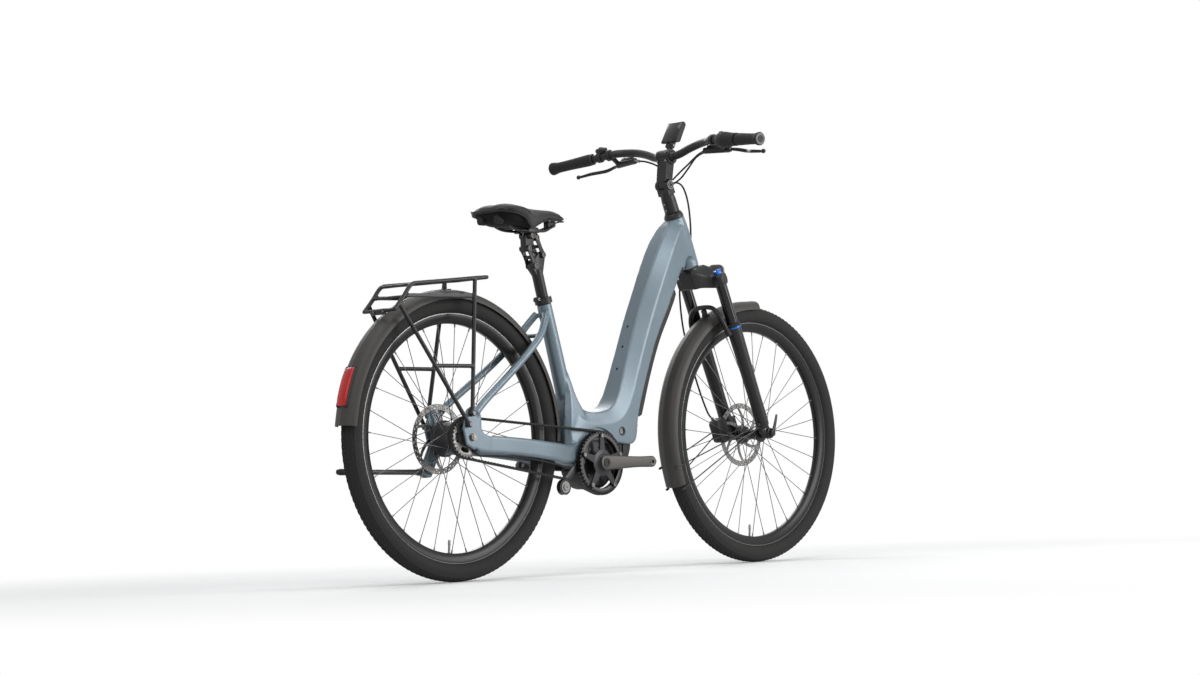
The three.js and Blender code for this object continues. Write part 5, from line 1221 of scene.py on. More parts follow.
build_belt_drive()
build_cranks()
build_motor()
build_tensioner()
build_rear_axle()
build_kickstand()


# Mudguards: a thin curved strip with a raised spine and rolled edges
FENDER_RADIUS = 376
FENDER_SKIN = 2.4
FENDER_SECTION = [
    (0.0, 0.9), (2.2, 0.8), (4.2, 0.0), (12, -0.7), (18.5, -3.0), (24, -6.8), (28, -11.6), (30.2, -17.0), (31.6, -23.0),
    (31.8, -24.6), (30.4, -24.8), (29.4, -23.2), (28.0, -17.4), (25.8, -12.6), (22.2, -8.6), (17.4, -5.2), (11.6, -2.9),
    (4.2, -2.3), (0.0, -2.0),
]
FENDER_STEPS_PER_TURN = 180


def fender_strip(centre, start, end, flare):
    """The section carried round a centre. flare gives its lift and widening by share of the way along."""
    steps = int((end - start) * FENDER_STEPS_PER_TURN / TURN)
    rings = []
    for i in range(steps + 1):
        a = start + (end - start) * i / steps
        lift, wide = flare(i / steps)
        full = there_and_back([(y * wide, FENDER_RADIUS + FENDER_SKIN + lift + drop) for y, drop in FENDER_SECTION], 2)
        rings.append([vec(centre[0] + r * math.cos(a), y, centre[1] + r * math.sin(a)) for y, r in full])
    return loft(rings)


def rear_flare(share):
    """The rear half is a little wider, its lower lip turns outward, and the front end narrows."""
    out = max(0.0, (share - 0.955) / 0.045)
    start = max(0.0, (0.03 - share) / 0.03)
    rear = min(1.0, max(0.0, (share - 0.36) / 0.2))
    return 1.5 * out * out, 1 - 0.10 * start + 0.12 * rear * rear * (3 - 2 * rear)


def build_rear_fender():
    skin = fender_strip((0, WHEEL_RADIUS), -2 * DEG, 174.8 * DEG, rear_flare)
    piece("rear_mudguard", skin, "frame", "fender_plastic", ["rear_fender"], sharp=40)
    base = Vector(HUB_CENTRE)
    bridge = vec(FENDER_BRIDGE[0], 0, FENDER_BRIDGE[1]) - base
    up = bridge.normalized()
    mounts = joined(
        rod(base + up * 377, base + up * (bridge.length - 6.4), 6, 20),
        rod((-10, 0, WHEEL_RADIUS + 377), (-10, 0, 759.5), 5.2, 20),
        slab([(-22, 741), (2, 742), (2, 744.4), (-22, 743.4)], -11, 11),
    )
    piece("fender_mounts", mounts, "frame", "black_paint", bevel=0.5)


# Reflector: a tall narrow lens with a fine grid, in a slim holder
REFLECTOR_FROM = 152.4 * DEG
REFLECTOR_TO = 167.4 * DEG
REFLECTOR_HALF = 17.5
REFLECTOR_LOW = FENDER_RADIUS + FENDER_SKIN + 0.9
REFLECTOR_STEPS = 24
HOLDER_PAST = 0.6 * DEG


def reflector_strip(start, end, section, keep):
    """A section of (y, height) pairs by step, carried round the rear wheel from start to end."""
    rings = []
    for i in range(REFLECTOR_STEPS + 1):
        a = start + (end - start) * i / REFLECTOR_STEPS
        rings.append([vec((REFLECTOR_LOW + r) * math.cos(a), y, WHEEL_RADIUS + (REFLECTOR_LOW + r) * math.sin(a))
                      for y, r in there_and_back(section(i), keep)])
    return loft(rings)


def lens_section(i):
    bulge = (1 - (2 * i / REFLECTOR_STEPS - 1) ** 6) ** 0.5 if 0 < i < REFLECTOR_STEPS else 0.15
    half, rise = REFLECTOR_HALF * (0.80 + 0.20 * bulge), 2.0 + 5.4 * bulge
    return [(half, 0), (half, rise * 0.35), (half * 0.93, rise * 0.7), (half * 0.72, rise), (0, rise * 1.04)]


def holder_section(i):
    half = REFLECTOR_HALF + 1.6 - (3.0 if i in (0, REFLECTOR_STEPS) else 0)
    return [(half, -9.0), (half, 2.2), (half - 2, 3.0), (half - 3, -0.4)]


def build_reflector():
    lens = reflector_strip(REFLECTOR_FROM, REFLECTOR_TO, lens_section, 1)
    piece("reflector_lens", lens, "frame", "reflector_red", ["rear_reflector"], sharp=35)
    ribs = []
    for i in range(1, 12):
        a = REFLECTOR_FROM + (REFLECTOR_TO - REFLECTOR_FROM) * (0.08 + 0.84 * i / 12)
        ribs.append(cross_rod(*polar(REFLECTOR_LOW + 7.4, a, 0, WHEEL_RADIUS), -12, 12, 0.45, 8))
    piece("lens_ribs", joined(*ribs), "frame", "reflector_red")
    holder = reflector_strip(REFLECTOR_FROM - HOLDER_PAST, REFLECTOR_TO + HOLDER_PAST, holder_section, 0)
    piece("reflector_holder", holder, "frame", "black_plastic", sharp=40)


# Carrier: two bent side hoops, four stays, cross bars and a lamp plate
RACK_HALF = 56
RACK_TUBE = 5.5
RACK_FOOT_Y = 81.5
RAIL_POINTS = [(-236, 684), (-206, 716), (-186, 740), (-172, 749), (-150, 752), (-60, 760), (35, 769), (80, 772.8)]
RACK_STAYS = [((43, 769), (-6, 424), (700, 500)), ((-222, 700), (-18, 396), (640, 480))]
LOW_RAIL_Z = 544
SIDE_STRIP = [(-206, 714), (-200, 724), (37, 731), (37, 719)]
STRIP_HALF = 2.4
CROSS_BARS = [(-206, 716), (-178, 746.5), (-10, 764.5)]
TAIL_BAR = [(-235, RACK_HALF, 685), (-237, 50, 683)]
NOSE_BAR = [(78, RACK_HALF, 772.6), (87, 53, 773.4), (92, 44, 774), (92, 0, 774)]
RACK_SCREW = [(0, 86.6), (5, 86.6), (5, 88.8), (4.2, 89.6), (2.4, 89.6), (2.2, 88.2), (0, 88.2)]


def rack_side():
    made, ends = [], []
    for top, foot, between in RACK_STAYS:
        def at(z):
            share = (z - top[1]) / (foot[1] - top[1])
            return vec(mix(top[0], foot[0], share), mix(RACK_HALF, RACK_FOOT_Y, share), z)

        made.append(tube([at(z) for z in (top[1], *between, foot[1])], RACK_TUBE, 20, smooth=False))
        made.append(cross_rod(*foot, 75.2, RACK_FOOT_Y + 5, 8, 28))
        ends.append(at(LOW_RAIL_Z))
    hoop = tube([(x, RACK_HALF, z) for x, z in RAIL_POINTS], RACK_TUBE, 20, 5)
    strip = slab(SIDE_STRIP, RACK_HALF - STRIP_HALF, RACK_HALF + STRIP_HALF)
    return [hoop, strip, *made, rod(*ends, RACK_TUBE, 20)]


def build_rack():
    bars = [cross_rod(*spot, -RACK_HALF, RACK_HALF, 4, 18) for spot in CROSS_BARS]
    bars.append(tube(mirrored_path(TAIL_BAR), 4.6, 18, 6))
    bars.append(tube(mirrored_path(NOSE_BAR, shared=True), RACK_TUBE, 20, 5))
    obj = grown("rack_tubes", joined(both_sides(*rack_side()), *bars), 1.6, 2)
    settle(obj, "frame", "black_paint", ["rack"], sharp=40)
    plate = slab([(-238, 687), (-235, 688.5), (-238.5, 672), (-241.5, 673)], -26, 26)
    piece("lamp_plate", plate, "frame", "black_paint", bevel=0.8)
    screws = [lathe(RACK_SCREW, (foot[0], 0, foot[1]), sides=24) for _, foot, _ in RACK_STAYS]
    bright("rack_screws", both_sides(*screws), "frame")
    bright("plate_screws", both_sides(rod((-241, 18, 680), (-242.6, 18, 680.3), 2.8, 16)), "frame")


# Rear caliper over the left chainstay
CALIPER = [(54, 376), (60, 371), (98, 371), (104, 378), (104, 393), (97, 398), (62, 398), (54, 391)]
CALIPER_MOUNT = [(60, 365), (98, 365), (98, 372), (60, 372)]
CALIPER_PLUG = [(0, 65.8), (7.5, 65.8), (7.5, 67.0), (6.8, 67.6), (3.4, 67.6), (3.2, 66.6), (0, 66.6)]
REAR_HOSE = [
    (104, 60, 390), (122, 62, 386), (150, 62, 372), (190, 60, 362), (240, 55, 356), (300, 47, 351), (350, 38, 348),
    (392, 26, 346),
]


def build_rear_caliper():
    obj = rounded_edges(as_object("rear_caliper_body", slab(CALIPER, 43, 66)), 2.4, 3)
    cut(obj, block((40, 51.2, 340), (92.5, 54.8, 440)))
    settle(obj, "frame", "caliper_black", ["rear_caliper"], sharp=35)
    piece("rear_caliper_mount", slab(CALIPER_MOUNT, 55.6, 65), "frame", "caliper_black", bevel=0.8)
    bolts = [rod((x, 52, 398), (x, 52, 401.5), 3.6, 6) for x in (66, 92)]
    bright("rear_caliper_bolts", joined(lathe(CALIPER_PLUG, (80, 0, 385), sides=32), *bolts), "frame")
    piece("rear_brake_hose", tube(REAR_HOSE, 2.5, 14, 6), "frame", "rubber")
    fitting = tube([(100, 59, 391), (112, 61, 388.5)], 4.0, 18, smooth=False)
    piece("rear_hose_fitting", fitting, "frame", "nipple_alloy")


# Battery: the pack in its bay, its outer cover with a seam and grip, and the lock
PACK_CLEAR = 0.8
PACK_DEPTH = 50
PACK_LENGTH = BAY_LENGTH - 6
PACK_HALF = BAY_HALF - PACK_CLEAR
COVER_KEYS = [2, 8.4, 119.3, 229, 342.3, 388]
COVER_OUT = [58.3, 58.1, 52.8, 54.5, 70, 76.9]
COVER_HALF = [38, 38, 38, 38, 37, 33]
COVER_STEPS = 48
COVER_LIFT = 19
GRIP_FROM = 350
GRIP_PITCH = 5
LOCK_CORE = [(0, -29.9), (9, -29.9), (9, -38.2), (8.2, -39), (6.6, -39), (6.2, -38.4), (0, -38.4)]
LOCK_COLLAR = [(9.5, -36.8), (12.5, -36.8), (12.5, -42.2), (11.6, -43), (9.5, -43)]


def along_bay(along, out, y):
    x, z = bay_point(along, out)
    return vec(x, y, z)


def build_battery():
    corners = [(a, out) for a, out in ((PACK_CLEAR, PACK_CLEAR), (PACK_LENGTH, PACK_CLEAR), (PACK_LENGTH, PACK_DEPTH),
                                       (PACK_CLEAR, PACK_DEPTH))]
    core = slab([bay_point(*corner) for corner in corners], -PACK_HALF, PACK_HALF)
    piece("battery_core", core, "battery", "black_plastic", ["battery_pack"], bevel=2.0)
    rings = []
    for i in range(COVER_STEPS + 1):
        s = mix(COVER_KEYS[0], COVER_KEYS[-1], i / COVER_STEPS)
        out, half = along_keys(COVER_KEYS, COVER_OUT, s), along_keys(COVER_KEYS, COVER_HALF, s)
        lift = COVER_LIFT * min(1.0, i / 1.5 + 0.55, (COVER_STEPS - i) / 1.5 + 0.55)
        section = [(half, 0), (half + 0.2, lift * 0.30), (half - 0.4, lift * 0.62), (half - 2.6, lift * 0.84),
                   (half * 0.78, lift * 0.97), (half * 0.5, lift), (0, lift)]
        rings.append([along_bay(s, out + o, y) for y, o in there_and_back(section, 1)])
    piece("battery_shell", loft(rings), "battery", "black_plastic", ["battery_cover"], sharp=38)
    grip = []
    for k in range(6):
        s = GRIP_FROM + k * GRIP_PITCH
        out = along_keys(COVER_KEYS, COVER_OUT, s) + COVER_LIFT
        grip.append(tube([along_bay(s, out + up, y) for up, y in ((-0.4, -12), (0.2, 0), (-0.4, 12))], 0.9, 8, 4))
    piece("battery_grip", joined(*grip), "battery", "rubber")
    lock = (LOCK_X, 0, LOCK_Z)
    key = as_object("lock_core", lathe(LOCK_CORE, lock, sides=40))
    cut(key, block((LOCK_X - 4.2, -42, LOCK_Z - 1), (LOCK_X + 4.2, -36.6, LOCK_Z + 1)))
    settle(key, "lock_barrel", "rotor_steel", ["battery_lock"])
    piece("lock_collar", collar(LOCK_COLLAR, lock), "frame", "satin_metal", sharp=30)


build_rear_fender()
build_reflector()
build_rack()
build_rear_caliper()
build_battery()


# Seat clamp, post, two links, head, rails and the padded saddle
POST_FEET = [(309, 814.5), (339, 844)]
LINK_VECTOR = (-22, 45)
LINK_END = 8
LINK_WAIST = 5.4
LINK_INNER = 10.6
LINK_OUTER = 14.6
PIN_BORE = 3.8
HEAD_HALF = 10.2
HEAD_FEET = [(x + LINK_VECTOR[0], z + LINK_VECTOR[1]) for x, z in POST_FEET]
RAIL_Y = 22
RAIL_Z = 905
RAIL_RADIUS = 3.5
RAIL_PATH = [
    (166, 38, 938), (180, 36, 928), (196, 31, 921), (214, 26, 911), (232, RAIL_Y, RAIL_Z + 1), (262, RAIL_Y, RAIL_Z),
    (326, RAIL_Y, RAIL_Z), (346, 20, RAIL_Z + 3), (370, 12, 916), (390, 5, 924),
]
CLAMP_RING = [
    (16, 0), (22.6, 0), (23.5, 1), (23.5, 12), (22.8, 13.4), (22.8, 14.4), (23.5, 15.2), (23.5, 16.4), (22.8, 17),
    (16, 17),
]
CLAMP_LUG = [(317, 720), (330, 719), (331, 731), (319, 732.5)]
CLAMP_SCREW = [(0, 8), (4.2, 8), (4.2, 9.7), (3.528, 10.6), (2.016, 10.6), (1.848, 9.1), (0, 9.1)]
POST_YOKE = [
    (300, 806), (301, 818), (306, 828), (324, 848), (333, 854), (342, 853.5), (348.5, 848), (350, 838), (343, 806),
    (338, 782), (332, 774), (324, 776), (313, 792),
]
POST_RADIUS = 15.5
PRELOAD_PLUG = [(0, -9.9), (8.5, -9.9), (9.4, -9), (9.4, 9), (8.5, 9.9), (0, 9.9)]
LINK_PIN = [(0, -14.5), (3, -14.5), (3, 14.5), (0, 14.5)]
LINK_WASHER = [(0, 14.7), (7.8, 14.7), (7.8, 16.4), (6.8, 17.4), (3.6, 17.4), (3.2, 16.2), (0, 16.2)]
# The head's outline: its rear from the lower pivot up, its top, and its front down to the upper pivot
HEAD_REAR = [(-9, -2), (-9.5, 24.5), (-9, 34.5), (-4, 40.5)]
HEAD_TOP = [(274, 906), (276, 909), (312, 909), (314, 906)]
HEAD_FRONT = [(4, 14), (9, 9), (9.4, 3), (8, -5), (2, -9), (-6, -8)]
HEAD_FOOT = [(3, -9), (-5, -8)]
CRADLE = [(274, 899.5), (314, 899.5), (316, 903), (315, 909), (308, 911.5), (280, 911.5), (273, 909), (272, 903)]
HEAD_DISC = [(0, 10.3), (9.6, 10.3), (9.6, 22), (8.6, 23), (6, 23), (5.6, 21.4), (0, 21.4)]
CLAMP_BRIDGE = [(273, 910.5), (315, 910.5), (313, 914), (275, 914)]
CLAMP_SCREWS_X = (282, 306)


def pins(feet):
    return joined(*[lathe(LINK_PIN, (x, 0, z), sides=24) for x, z in feet])


def build_post():
    ring_shape = collar(CLAMP_RING, seat_point(SEAT_TOP) + SEAT_UP * 0.3, SEAT_UP, sides=56)
    piece("clamp_ring", ring_shape, "frame", "black_paint", ["seat_clamp"], sharp=30)
    piece("clamp_lug", slab(CLAMP_LUG, -8, 8), "frame", "black_paint", bevel=1.4)
    bright("clamp_screw", both_sides(lathe(CLAMP_SCREW, (323, 0, 726), sides=28)), "frame")
    low, top = seat_point(560), seat_point(806)
    length = (top - low).length
    r = POST_RADIUS
    shaft = lathe([(0, 0), (r - 0.9, 0), (r, 1), (r, length - 1), (r - 1.1, length), (0, length)], low, SEAT_UP)
    piece("post_tube", shaft, "post", "black_paint", ["seatpost"], sharp=30)
    piece("post_yoke", slab(POST_YOKE, -HEAD_HALF, HEAD_HALF), "post", "black_paint", bevel=2.2, segments=3)
    piece("post_pins", pins(POST_FEET), "post", "rotor_steel", sharp=30)
    bright("preload_plug", lathe(PRELOAD_PLUG, (324, 0, 797), sides=40), "post")


def link_plate(foot, end):
    aim = math.atan2(LINK_VECTOR[1], LINK_VECTOR[0])
    side = Vector((-math.sin(aim), math.cos(aim))) * LINK_WAIST
    waist = [[tuple(Vector(foot).lerp(Vector(end), share) + side * sign) for share in (0.35, 0.65)] for sign in BOTH]
    outline = [*arc(*foot, LINK_END, aim + 90 * DEG, aim + 270 * DEG, 14), *waist[0],
               *arc(*end, LINK_END, aim - 90 * DEG, aim + 90 * DEG, 14), *reversed(waist[1])]
    return slab(outline, LINK_INNER, LINK_OUTER, [circle(*at, PIN_BORE, 20) for at in (foot, end)])


def build_link(name, foot, end):
    piece(name + "_plates", both_sides(link_plate(foot, end)), name, "black_paint", ["seatpost_" + name], bevel=0.7)
    bar = cross_rod((foot[0] + end[0]) / 2, (foot[1] + end[1]) / 2, -12, 12, 5, 28)
    piece(name + "_bar", bar, name, "black_paint", bevel=0.4)
    washers = both_sides(*[lathe(LINK_WASHER, (x, 0, z), sides=32) for x, z in (foot, end)])
    piece(name + "_washers", washers, name, "crank_grey", sharp=30, slot="satin_metal")


def build_seat_head():
    low, high = HEAD_FEET

    def off(foot, points):
        return [(foot[0] + x, foot[1] + z) for x, z in points]

    outline = [*off(low, HEAD_REAR), *HEAD_TOP, *off(high, HEAD_FRONT), *off(low, HEAD_FOOT)]
    piece("head_block", slab(outline, -HEAD_HALF, HEAD_HALF), "saddle", "black_paint", ["seatpost_head"], bevel=2.0,
          segments=3)
    piece("head_pins", pins(HEAD_FEET), "saddle", "rotor_steel", sharp=30)
    obj = rounded_edges(as_object("rail_clamps", both_sides(slab(CRADLE, 12, 27.5))), 1.6, 2)
    cut(obj, *[rod((200, side * RAIL_Y, RAIL_Z), (360, side * RAIL_Y, RAIL_Z), RAIL_RADIUS + 0.4) for side in BOTH])
    settle(obj, "saddle", "black_paint", sharp=35)
    discs = both_sides(lathe(HEAD_DISC, (295, 0, 893.5), sides=40))
    piece("head_discs", discs, "saddle", "crank_grey", sharp=30, slot="satin_metal")
    piece("clamp_bridge", slab(CLAMP_BRIDGE, -24, 24), "saddle", "black_paint", bevel=1.0)
    screws = [rod((x, 0, 896), (x, 0, 915), 3.2, 20) for x in CLAMP_SCREWS_X]
    heads = [lathe([(0, 895), (5, 895), (5, 891), (0, 891)], (x, 0, 0), UP, sides=6) for x in CLAMP_SCREWS_X]
    bright("clamp_screws", joined(*screws, *heads), "saddle")
    piece("saddle_rail_loop", tube(mirrored_path(RAIL_PATH), RAIL_RADIUS, 20, 5), "saddle", "satin_metal",
          ["saddle_rails"])


# Saddle cushion by stations along x: half width, top, underside, crown
SADDLE_KEYS = [147, 152, 166, 190, 225, 262, 300, 340, 380, 410, 424, 428]
SADDLE_TABLES = [
    [40, 62, 79, 84, 76, 58, 40, 28, 22, 18, 12, 5],
    [951, 961, 968, 970, 967, 963, 962, 963, 963, 957, 948, 942],
    [948, 945, 942, 938, 929, 907, 918, 931, 935, 932, 934, 937],
    [4, 7, 9, 9, 7, 5, 4, 5, 6, 6, 5, 2],
]
SADDLE_GROOVE = 2.5
GROOVE_FROM = 160
GROOVE_TO = 340
SADDLE_STATIONS = 44
SEAM_SHARE = 0.45


def saddle_section(x):
    """Half width, top, underside, crown and the height of the seam at a station."""
    half, top, low, crown = (along_keys(SADDLE_KEYS, table, x) for table in SADDLE_TABLES)
    return half, top, low, crown, mix(top, low, SEAM_SHARE)


def saddle_stations(first=0, last=SADDLE_STATIONS):
    """Stations along the saddle, closer together towards its ends."""
    for i in range(first, last + 1):
        yield mix(SADDLE_KEYS[0], SADDLE_KEYS[-1], 0.5 - 0.5 * math.cos(i / SADDLE_STATIONS * math.pi))


def saddle_skin():
    """The cover as a closed skin that hugs its shell: the underside is hollowed."""
    rings = []
    for x in saddle_stations():
        half, top, low, crown, side = saddle_section(x)
        groove = SADDLE_GROOVE if GROOVE_FROM < x < GROOVE_TO else 0
        right = [(0, top - groove), (0.10, top - groove * 0.8), (0.2, top - groove * 0.2), (0.35, top - crown * 0.06),
                 (0.55, top - crown * 0.36), (0.72, top - crown * 0.8), (0.88, top - crown * 1.4),
                 (0.96, mix(top - crown * 1.4, side, 0.55)), (1, side), (0.985, mix(side, low, 0.35)),
                 (0.955, mix(side, low, 0.7)), (0.90, low + 0.4), (0.84, low + 0.6), (0.78, mix(low, side, 0.3)),
                 (0.5, mix(low, side, 0.6)), (0.25, mix(low, side, 0.66))]
        left = [(-y, z) for y, z in reversed(right[1:])]
        rings.append([vec(x, y * half, z) for y, z in [*right, (0, mix(low, side, 0.68)), *left]])
    return loft(rings)


CLOTH_FRAMES = 20
CLOTH = {
    "quality": 6, "mass": 0.3, "tension_stiffness": 22, "compression_stiffness": 22, "shear_stiffness": 12,
    "bending_stiffness": 2.0, "use_pressure": True, "uniform_pressure_force": 4, "vertex_group_mass": "seam",
    "pin_stiffness": 2,
}
PIN_BELOW = 940
PIN_FADE = 0.012
PIN_WEIGHT = 0.6
FILL_MOST = 0.004


def pin_low_edge(pad):
    group = pad.vertex_groups.new(name="seam")
    low_edge = in_metres((0, 0, PIN_BELOW))[2]
    for vertex in pad.data.vertices:
        height = vertex.co.z - low_edge
        if height < PIN_FADE:
            weight = 1.0 if height < 0 else PIN_WEIGHT * (1 - height / PIN_FADE)
            group.add([vertex.index], weight, "REPLACE")


def fill(pad):
    """Blows the pad up by a short cloth run with its lower edge pinned, by no more than a few millimetres."""
    before = [v.co.copy() for v in pad.data.vertices]
    cloth = pad.modifiers.new("fill", "CLOTH")
    for name, value in CLOTH.items():
        setattr(cloth.settings, name, value)
    cloth.settings.effector_weights.gravity = 0
    cloth.point_cache.frame_start = 1
    cloth.point_cache.frame_end = CLOTH_FRAMES
    for number in range(1, CLOTH_FRAMES + 1):
        bpy.context.scene.frame_set(number)
    apply_modifiers(pad)
    for vertex, start in zip(pad.data.vertices, before):
        step = vertex.co - start
        if step.length > FILL_MOST:
            vertex.co = start + step.normalized() * FILL_MOST


def build_saddle():
    """A closed pad: remeshed evenly, filled, then smoothed."""
    pad = grown("saddle_pad", saddle_skin(), 5, 2)
    pin_low_edge(pad)
    fill(pad)
    bpy.context.scene.frame_set(1)
    modify(pad, "SUBSURF", levels=1, render_levels=1)
    modify(pad, "SMOOTH", factor=0.5, iterations=2)
    apply_modifiers(pad)
    settle(pad, "saddle", "saddle_cover", ["saddle_cushion"], sharp=0)


SADDLE_BLOCK = [(0, 0), (9, 0), (11, 1.6), (11, 6), (9.6, 7.4), (11, 9), (11, 20), (0, 20)]
PAN_KEYS = [154, 160, 171, 190, 225, 262, 300, 335]
PAN_HALF = [44, 58, 66, 68, 60, 45, 30, 16]
PAN_LOW = [934, 926, 917, 911, 910, 910.5, 914, 926]
PAN_STEPS = 32
RAIL_NOSE = [(366, 912), (394, 920), (398, 934), (366, 936)]


def saddle_pan():
    """The rigid bowl under the cushion, in near-black: partly the saddle's real base, partly painted shade in the
    hollow under the saddle.
    """
    rings = []
    for i in range(PAN_STEPS + 1):
        x = mix(PAN_KEYS[0], PAN_KEYS[-1], i / PAN_STEPS)
        half, low = along_keys(PAN_KEYS, PAN_HALF, x), along_keys(PAN_KEYS, PAN_LOW, x)
        top = saddle_section(x)[2] + 4
        rings.append([vec(x, half * math.cos(a), top + (top - low) * math.sin(a))
                      for a in (-k * 15 * DEG for k in range(13))])
    return loft(rings)


def build_saddle_trim():
    """A piped seam along each side, the shell edge under it, the near-black pan as painted shade under the saddle, and
    two rubber blocks at the rear.
    """
    seam, edge = [], []
    for x in saddle_stations(3, SADDLE_STATIONS - 3):
        half, _, low, _, side = saddle_section(x)
        seam.append((x, half - 0.7, side + 1))
        edge.append((x, half * 0.90, low + 1.8))
    for name, path, radius, sides, look in (("saddle_piping", seam, 1.1, 10, "saddle_cover"),
                                            ("saddle_edge", edge, 1.8, 12, "black_plastic")):
        piece(name, tube(mirrored_path(path), radius, sides, smooth=False, closed=True), "saddle", look)
    blocks = both_sides(lathe(SADDLE_BLOCK, (151, 31, 928), AHEAD, sides=36))
    piece("saddle_springs", blocks, "saddle", "rubber", sharp=30)
    # The pan's near-black colour is painted shade under the saddle
    piece("saddle_pan", saddle_pan(), "saddle", "base_black", sharp=40)
    piece("rail_nose", slab(RAIL_NOSE, -9, 9), "saddle", "black_plastic", bevel=2.0)


build_post()
for link, *feet in zip(("rear_link", "front_link"), POST_FEET, HEAD_FEET):
    build_link(link, *feet)
build_seat_head()
build_saddle()
build_saddle_trim()


# Fork: crown, steerer and stanchions, then the lowers with their seals, arch and brake mounts
LEG_X = 36
LEG_Y = 65
LEGS = [(LEG_X, side * LEG_Y, 0) for side in BOTH]
AXLE = (FORK_OFFSET, 0, AXLE_DROP)
STEERER_RADIUS = 14.3
STEERER_TOP = 218
STANCHION = [(0, -300), (15, -300), (16, -299), (16, -50), (0, -50)]
SEAL_Z = -192
# The crown by stations along y: rear and front, underside and top
CROWN = [(-84, 24, 48, -66, -44), (-74, 16, 56, -74, -38), (-52, 15, 57, -74, -38), (-34, -14, 48, -62, -16),
         (-24, -28, 40, -60, -6)]
CROWN_CORNER = 7
CROWN_RACE = [(0, -20), (26.5, -20), (27, -8), (27, -0.4), (0, -0.4)]
LEG_CAP = [(0, -38.4), (13, -38.4), (13, -34), (11.6, -32.6), (5, -32.6), (4.6, -34.4), (0, -34.4)]
LOWER_KEYS = [-503, -497, -480, -420, -300, -215, SEAL_Z]
LOWER_RADII = [13.5, 17.5, 18.6, 18.2, 19.4, 20.6, 20.6]
LOWER_STEPS = 40
AXLE_LUG = [(-8.64, -470), (24.48, -470), (24.48, -518), (17.28, -540), (2.88, -538), (-8.64, -514)]
ARCH = [(12, 62, -214), (5, 60, -176), (6, 48, -142), (10, 24, -126)]
# The seal and its band by height over the seal's foot
SEAL = [(16.5, -1), (21.4, -1), (22, 0), (22, 3), (20.6, 4.2), (19, 7), (16.5, 7)]
SEAL_BAND = [(20.7, -7), (21.5, -7), (21.5, -2.4), (20.7, -2.4)]
FOOT_NUT = [(0, -504), (6, -504), (7.4, -505.4), (7.4, -508), (4, -509), (3.8, -507.4), (0, -507.4)]
LEG_BRACKET = [(53, -318), (63, -322), (63, -342), (53, -350)]
AXLE_SHAFT = [(0, -82), (6, -82), (6, 72.4), (5.2, 73), (0, 73)]
AXLE_HEAD = [(0, -83.4), (6.6, -83.4), (9, -82), (9, -75), (11, -74.6), (11, -73.3), (0, -73.3)]
LEVER_RUN = [(0, -79, 0), (10, -80.4, 11), (22, -81.6, 26), (36, -81, 42)]


def steer_piece(name, shape, *rest, **options):
    piece(name, on_steer(shape), *rest, **options)


def steer_bright(name, shape, *rest):
    bright(name, on_steer(shape), *rest)


def steer_cut(obj, *cutters):
    cut(obj, *[on_steer(cutter) for cutter in cutters])


def upright(profile, at=(0, 0, 0), sides=56):
    """A shape turned about the steering axis, or about a line beside it."""
    return lathe(profile, at, UP, sides)


def crown_half():
    rings = []
    for row in tracks(CROWN, 4):
        x0, x1, z0, z1 = (p[1] for p in row)
        corner = min(CROWN_CORNER, (x1 - x0) / 3, (z1 - z0) / 3)
        rings.append([vec(x, row[0][0], z) for x, z in rounded(x0, x1, z0, z1, corner, 3)])
    return rings


def build_fork_upper():
    half = crown_half()
    full = [*half, *[[flip(p) for p in one] for one in reversed(half)]]
    sockets = [rod((x, y, -70), (x, y, -40), 18.4, 40) for x, y, _ in LEGS]
    obj = grown("fork_crown", on_steer(joined(loft(full), upright(CROWN_RACE), *sockets)), 1.6, 2)
    settle(obj, "steering", "black_paint", ["fork_upper"], sharp=38)
    steer_piece("stanchions", joined(*[upright(STANCHION, leg, 48) for leg in LEGS]), "steering", "stanchion_black",
                sharp=30)
    steerer = upright([(0, -10), (STEERER_RADIUS, -10), (STEERER_RADIUS, STEERER_TOP), (0, STEERER_TOP)], sides=40)
    steer_piece("steerer", steerer, "steering", "satin_metal", sharp=30)
    steer_piece("leg_cap", upright(LEG_CAP, LEGS[1], 40), "steering", "satin_metal", sharp=30)


def lower_leg(leg):
    """One lower leg: a slim taper with a fuller foot."""
    rings = []
    for i in range(LOWER_STEPS + 1):
        z = mix(LOWER_KEYS[0], LOWER_KEYS[-1], i / LOWER_STEPS)
        r = along_keys(LOWER_KEYS, LOWER_RADII, z)
        rings.append(ring((leg[0], leg[1], z), AHEAD, ACROSS, r, r, 48))
    return loft(rings)


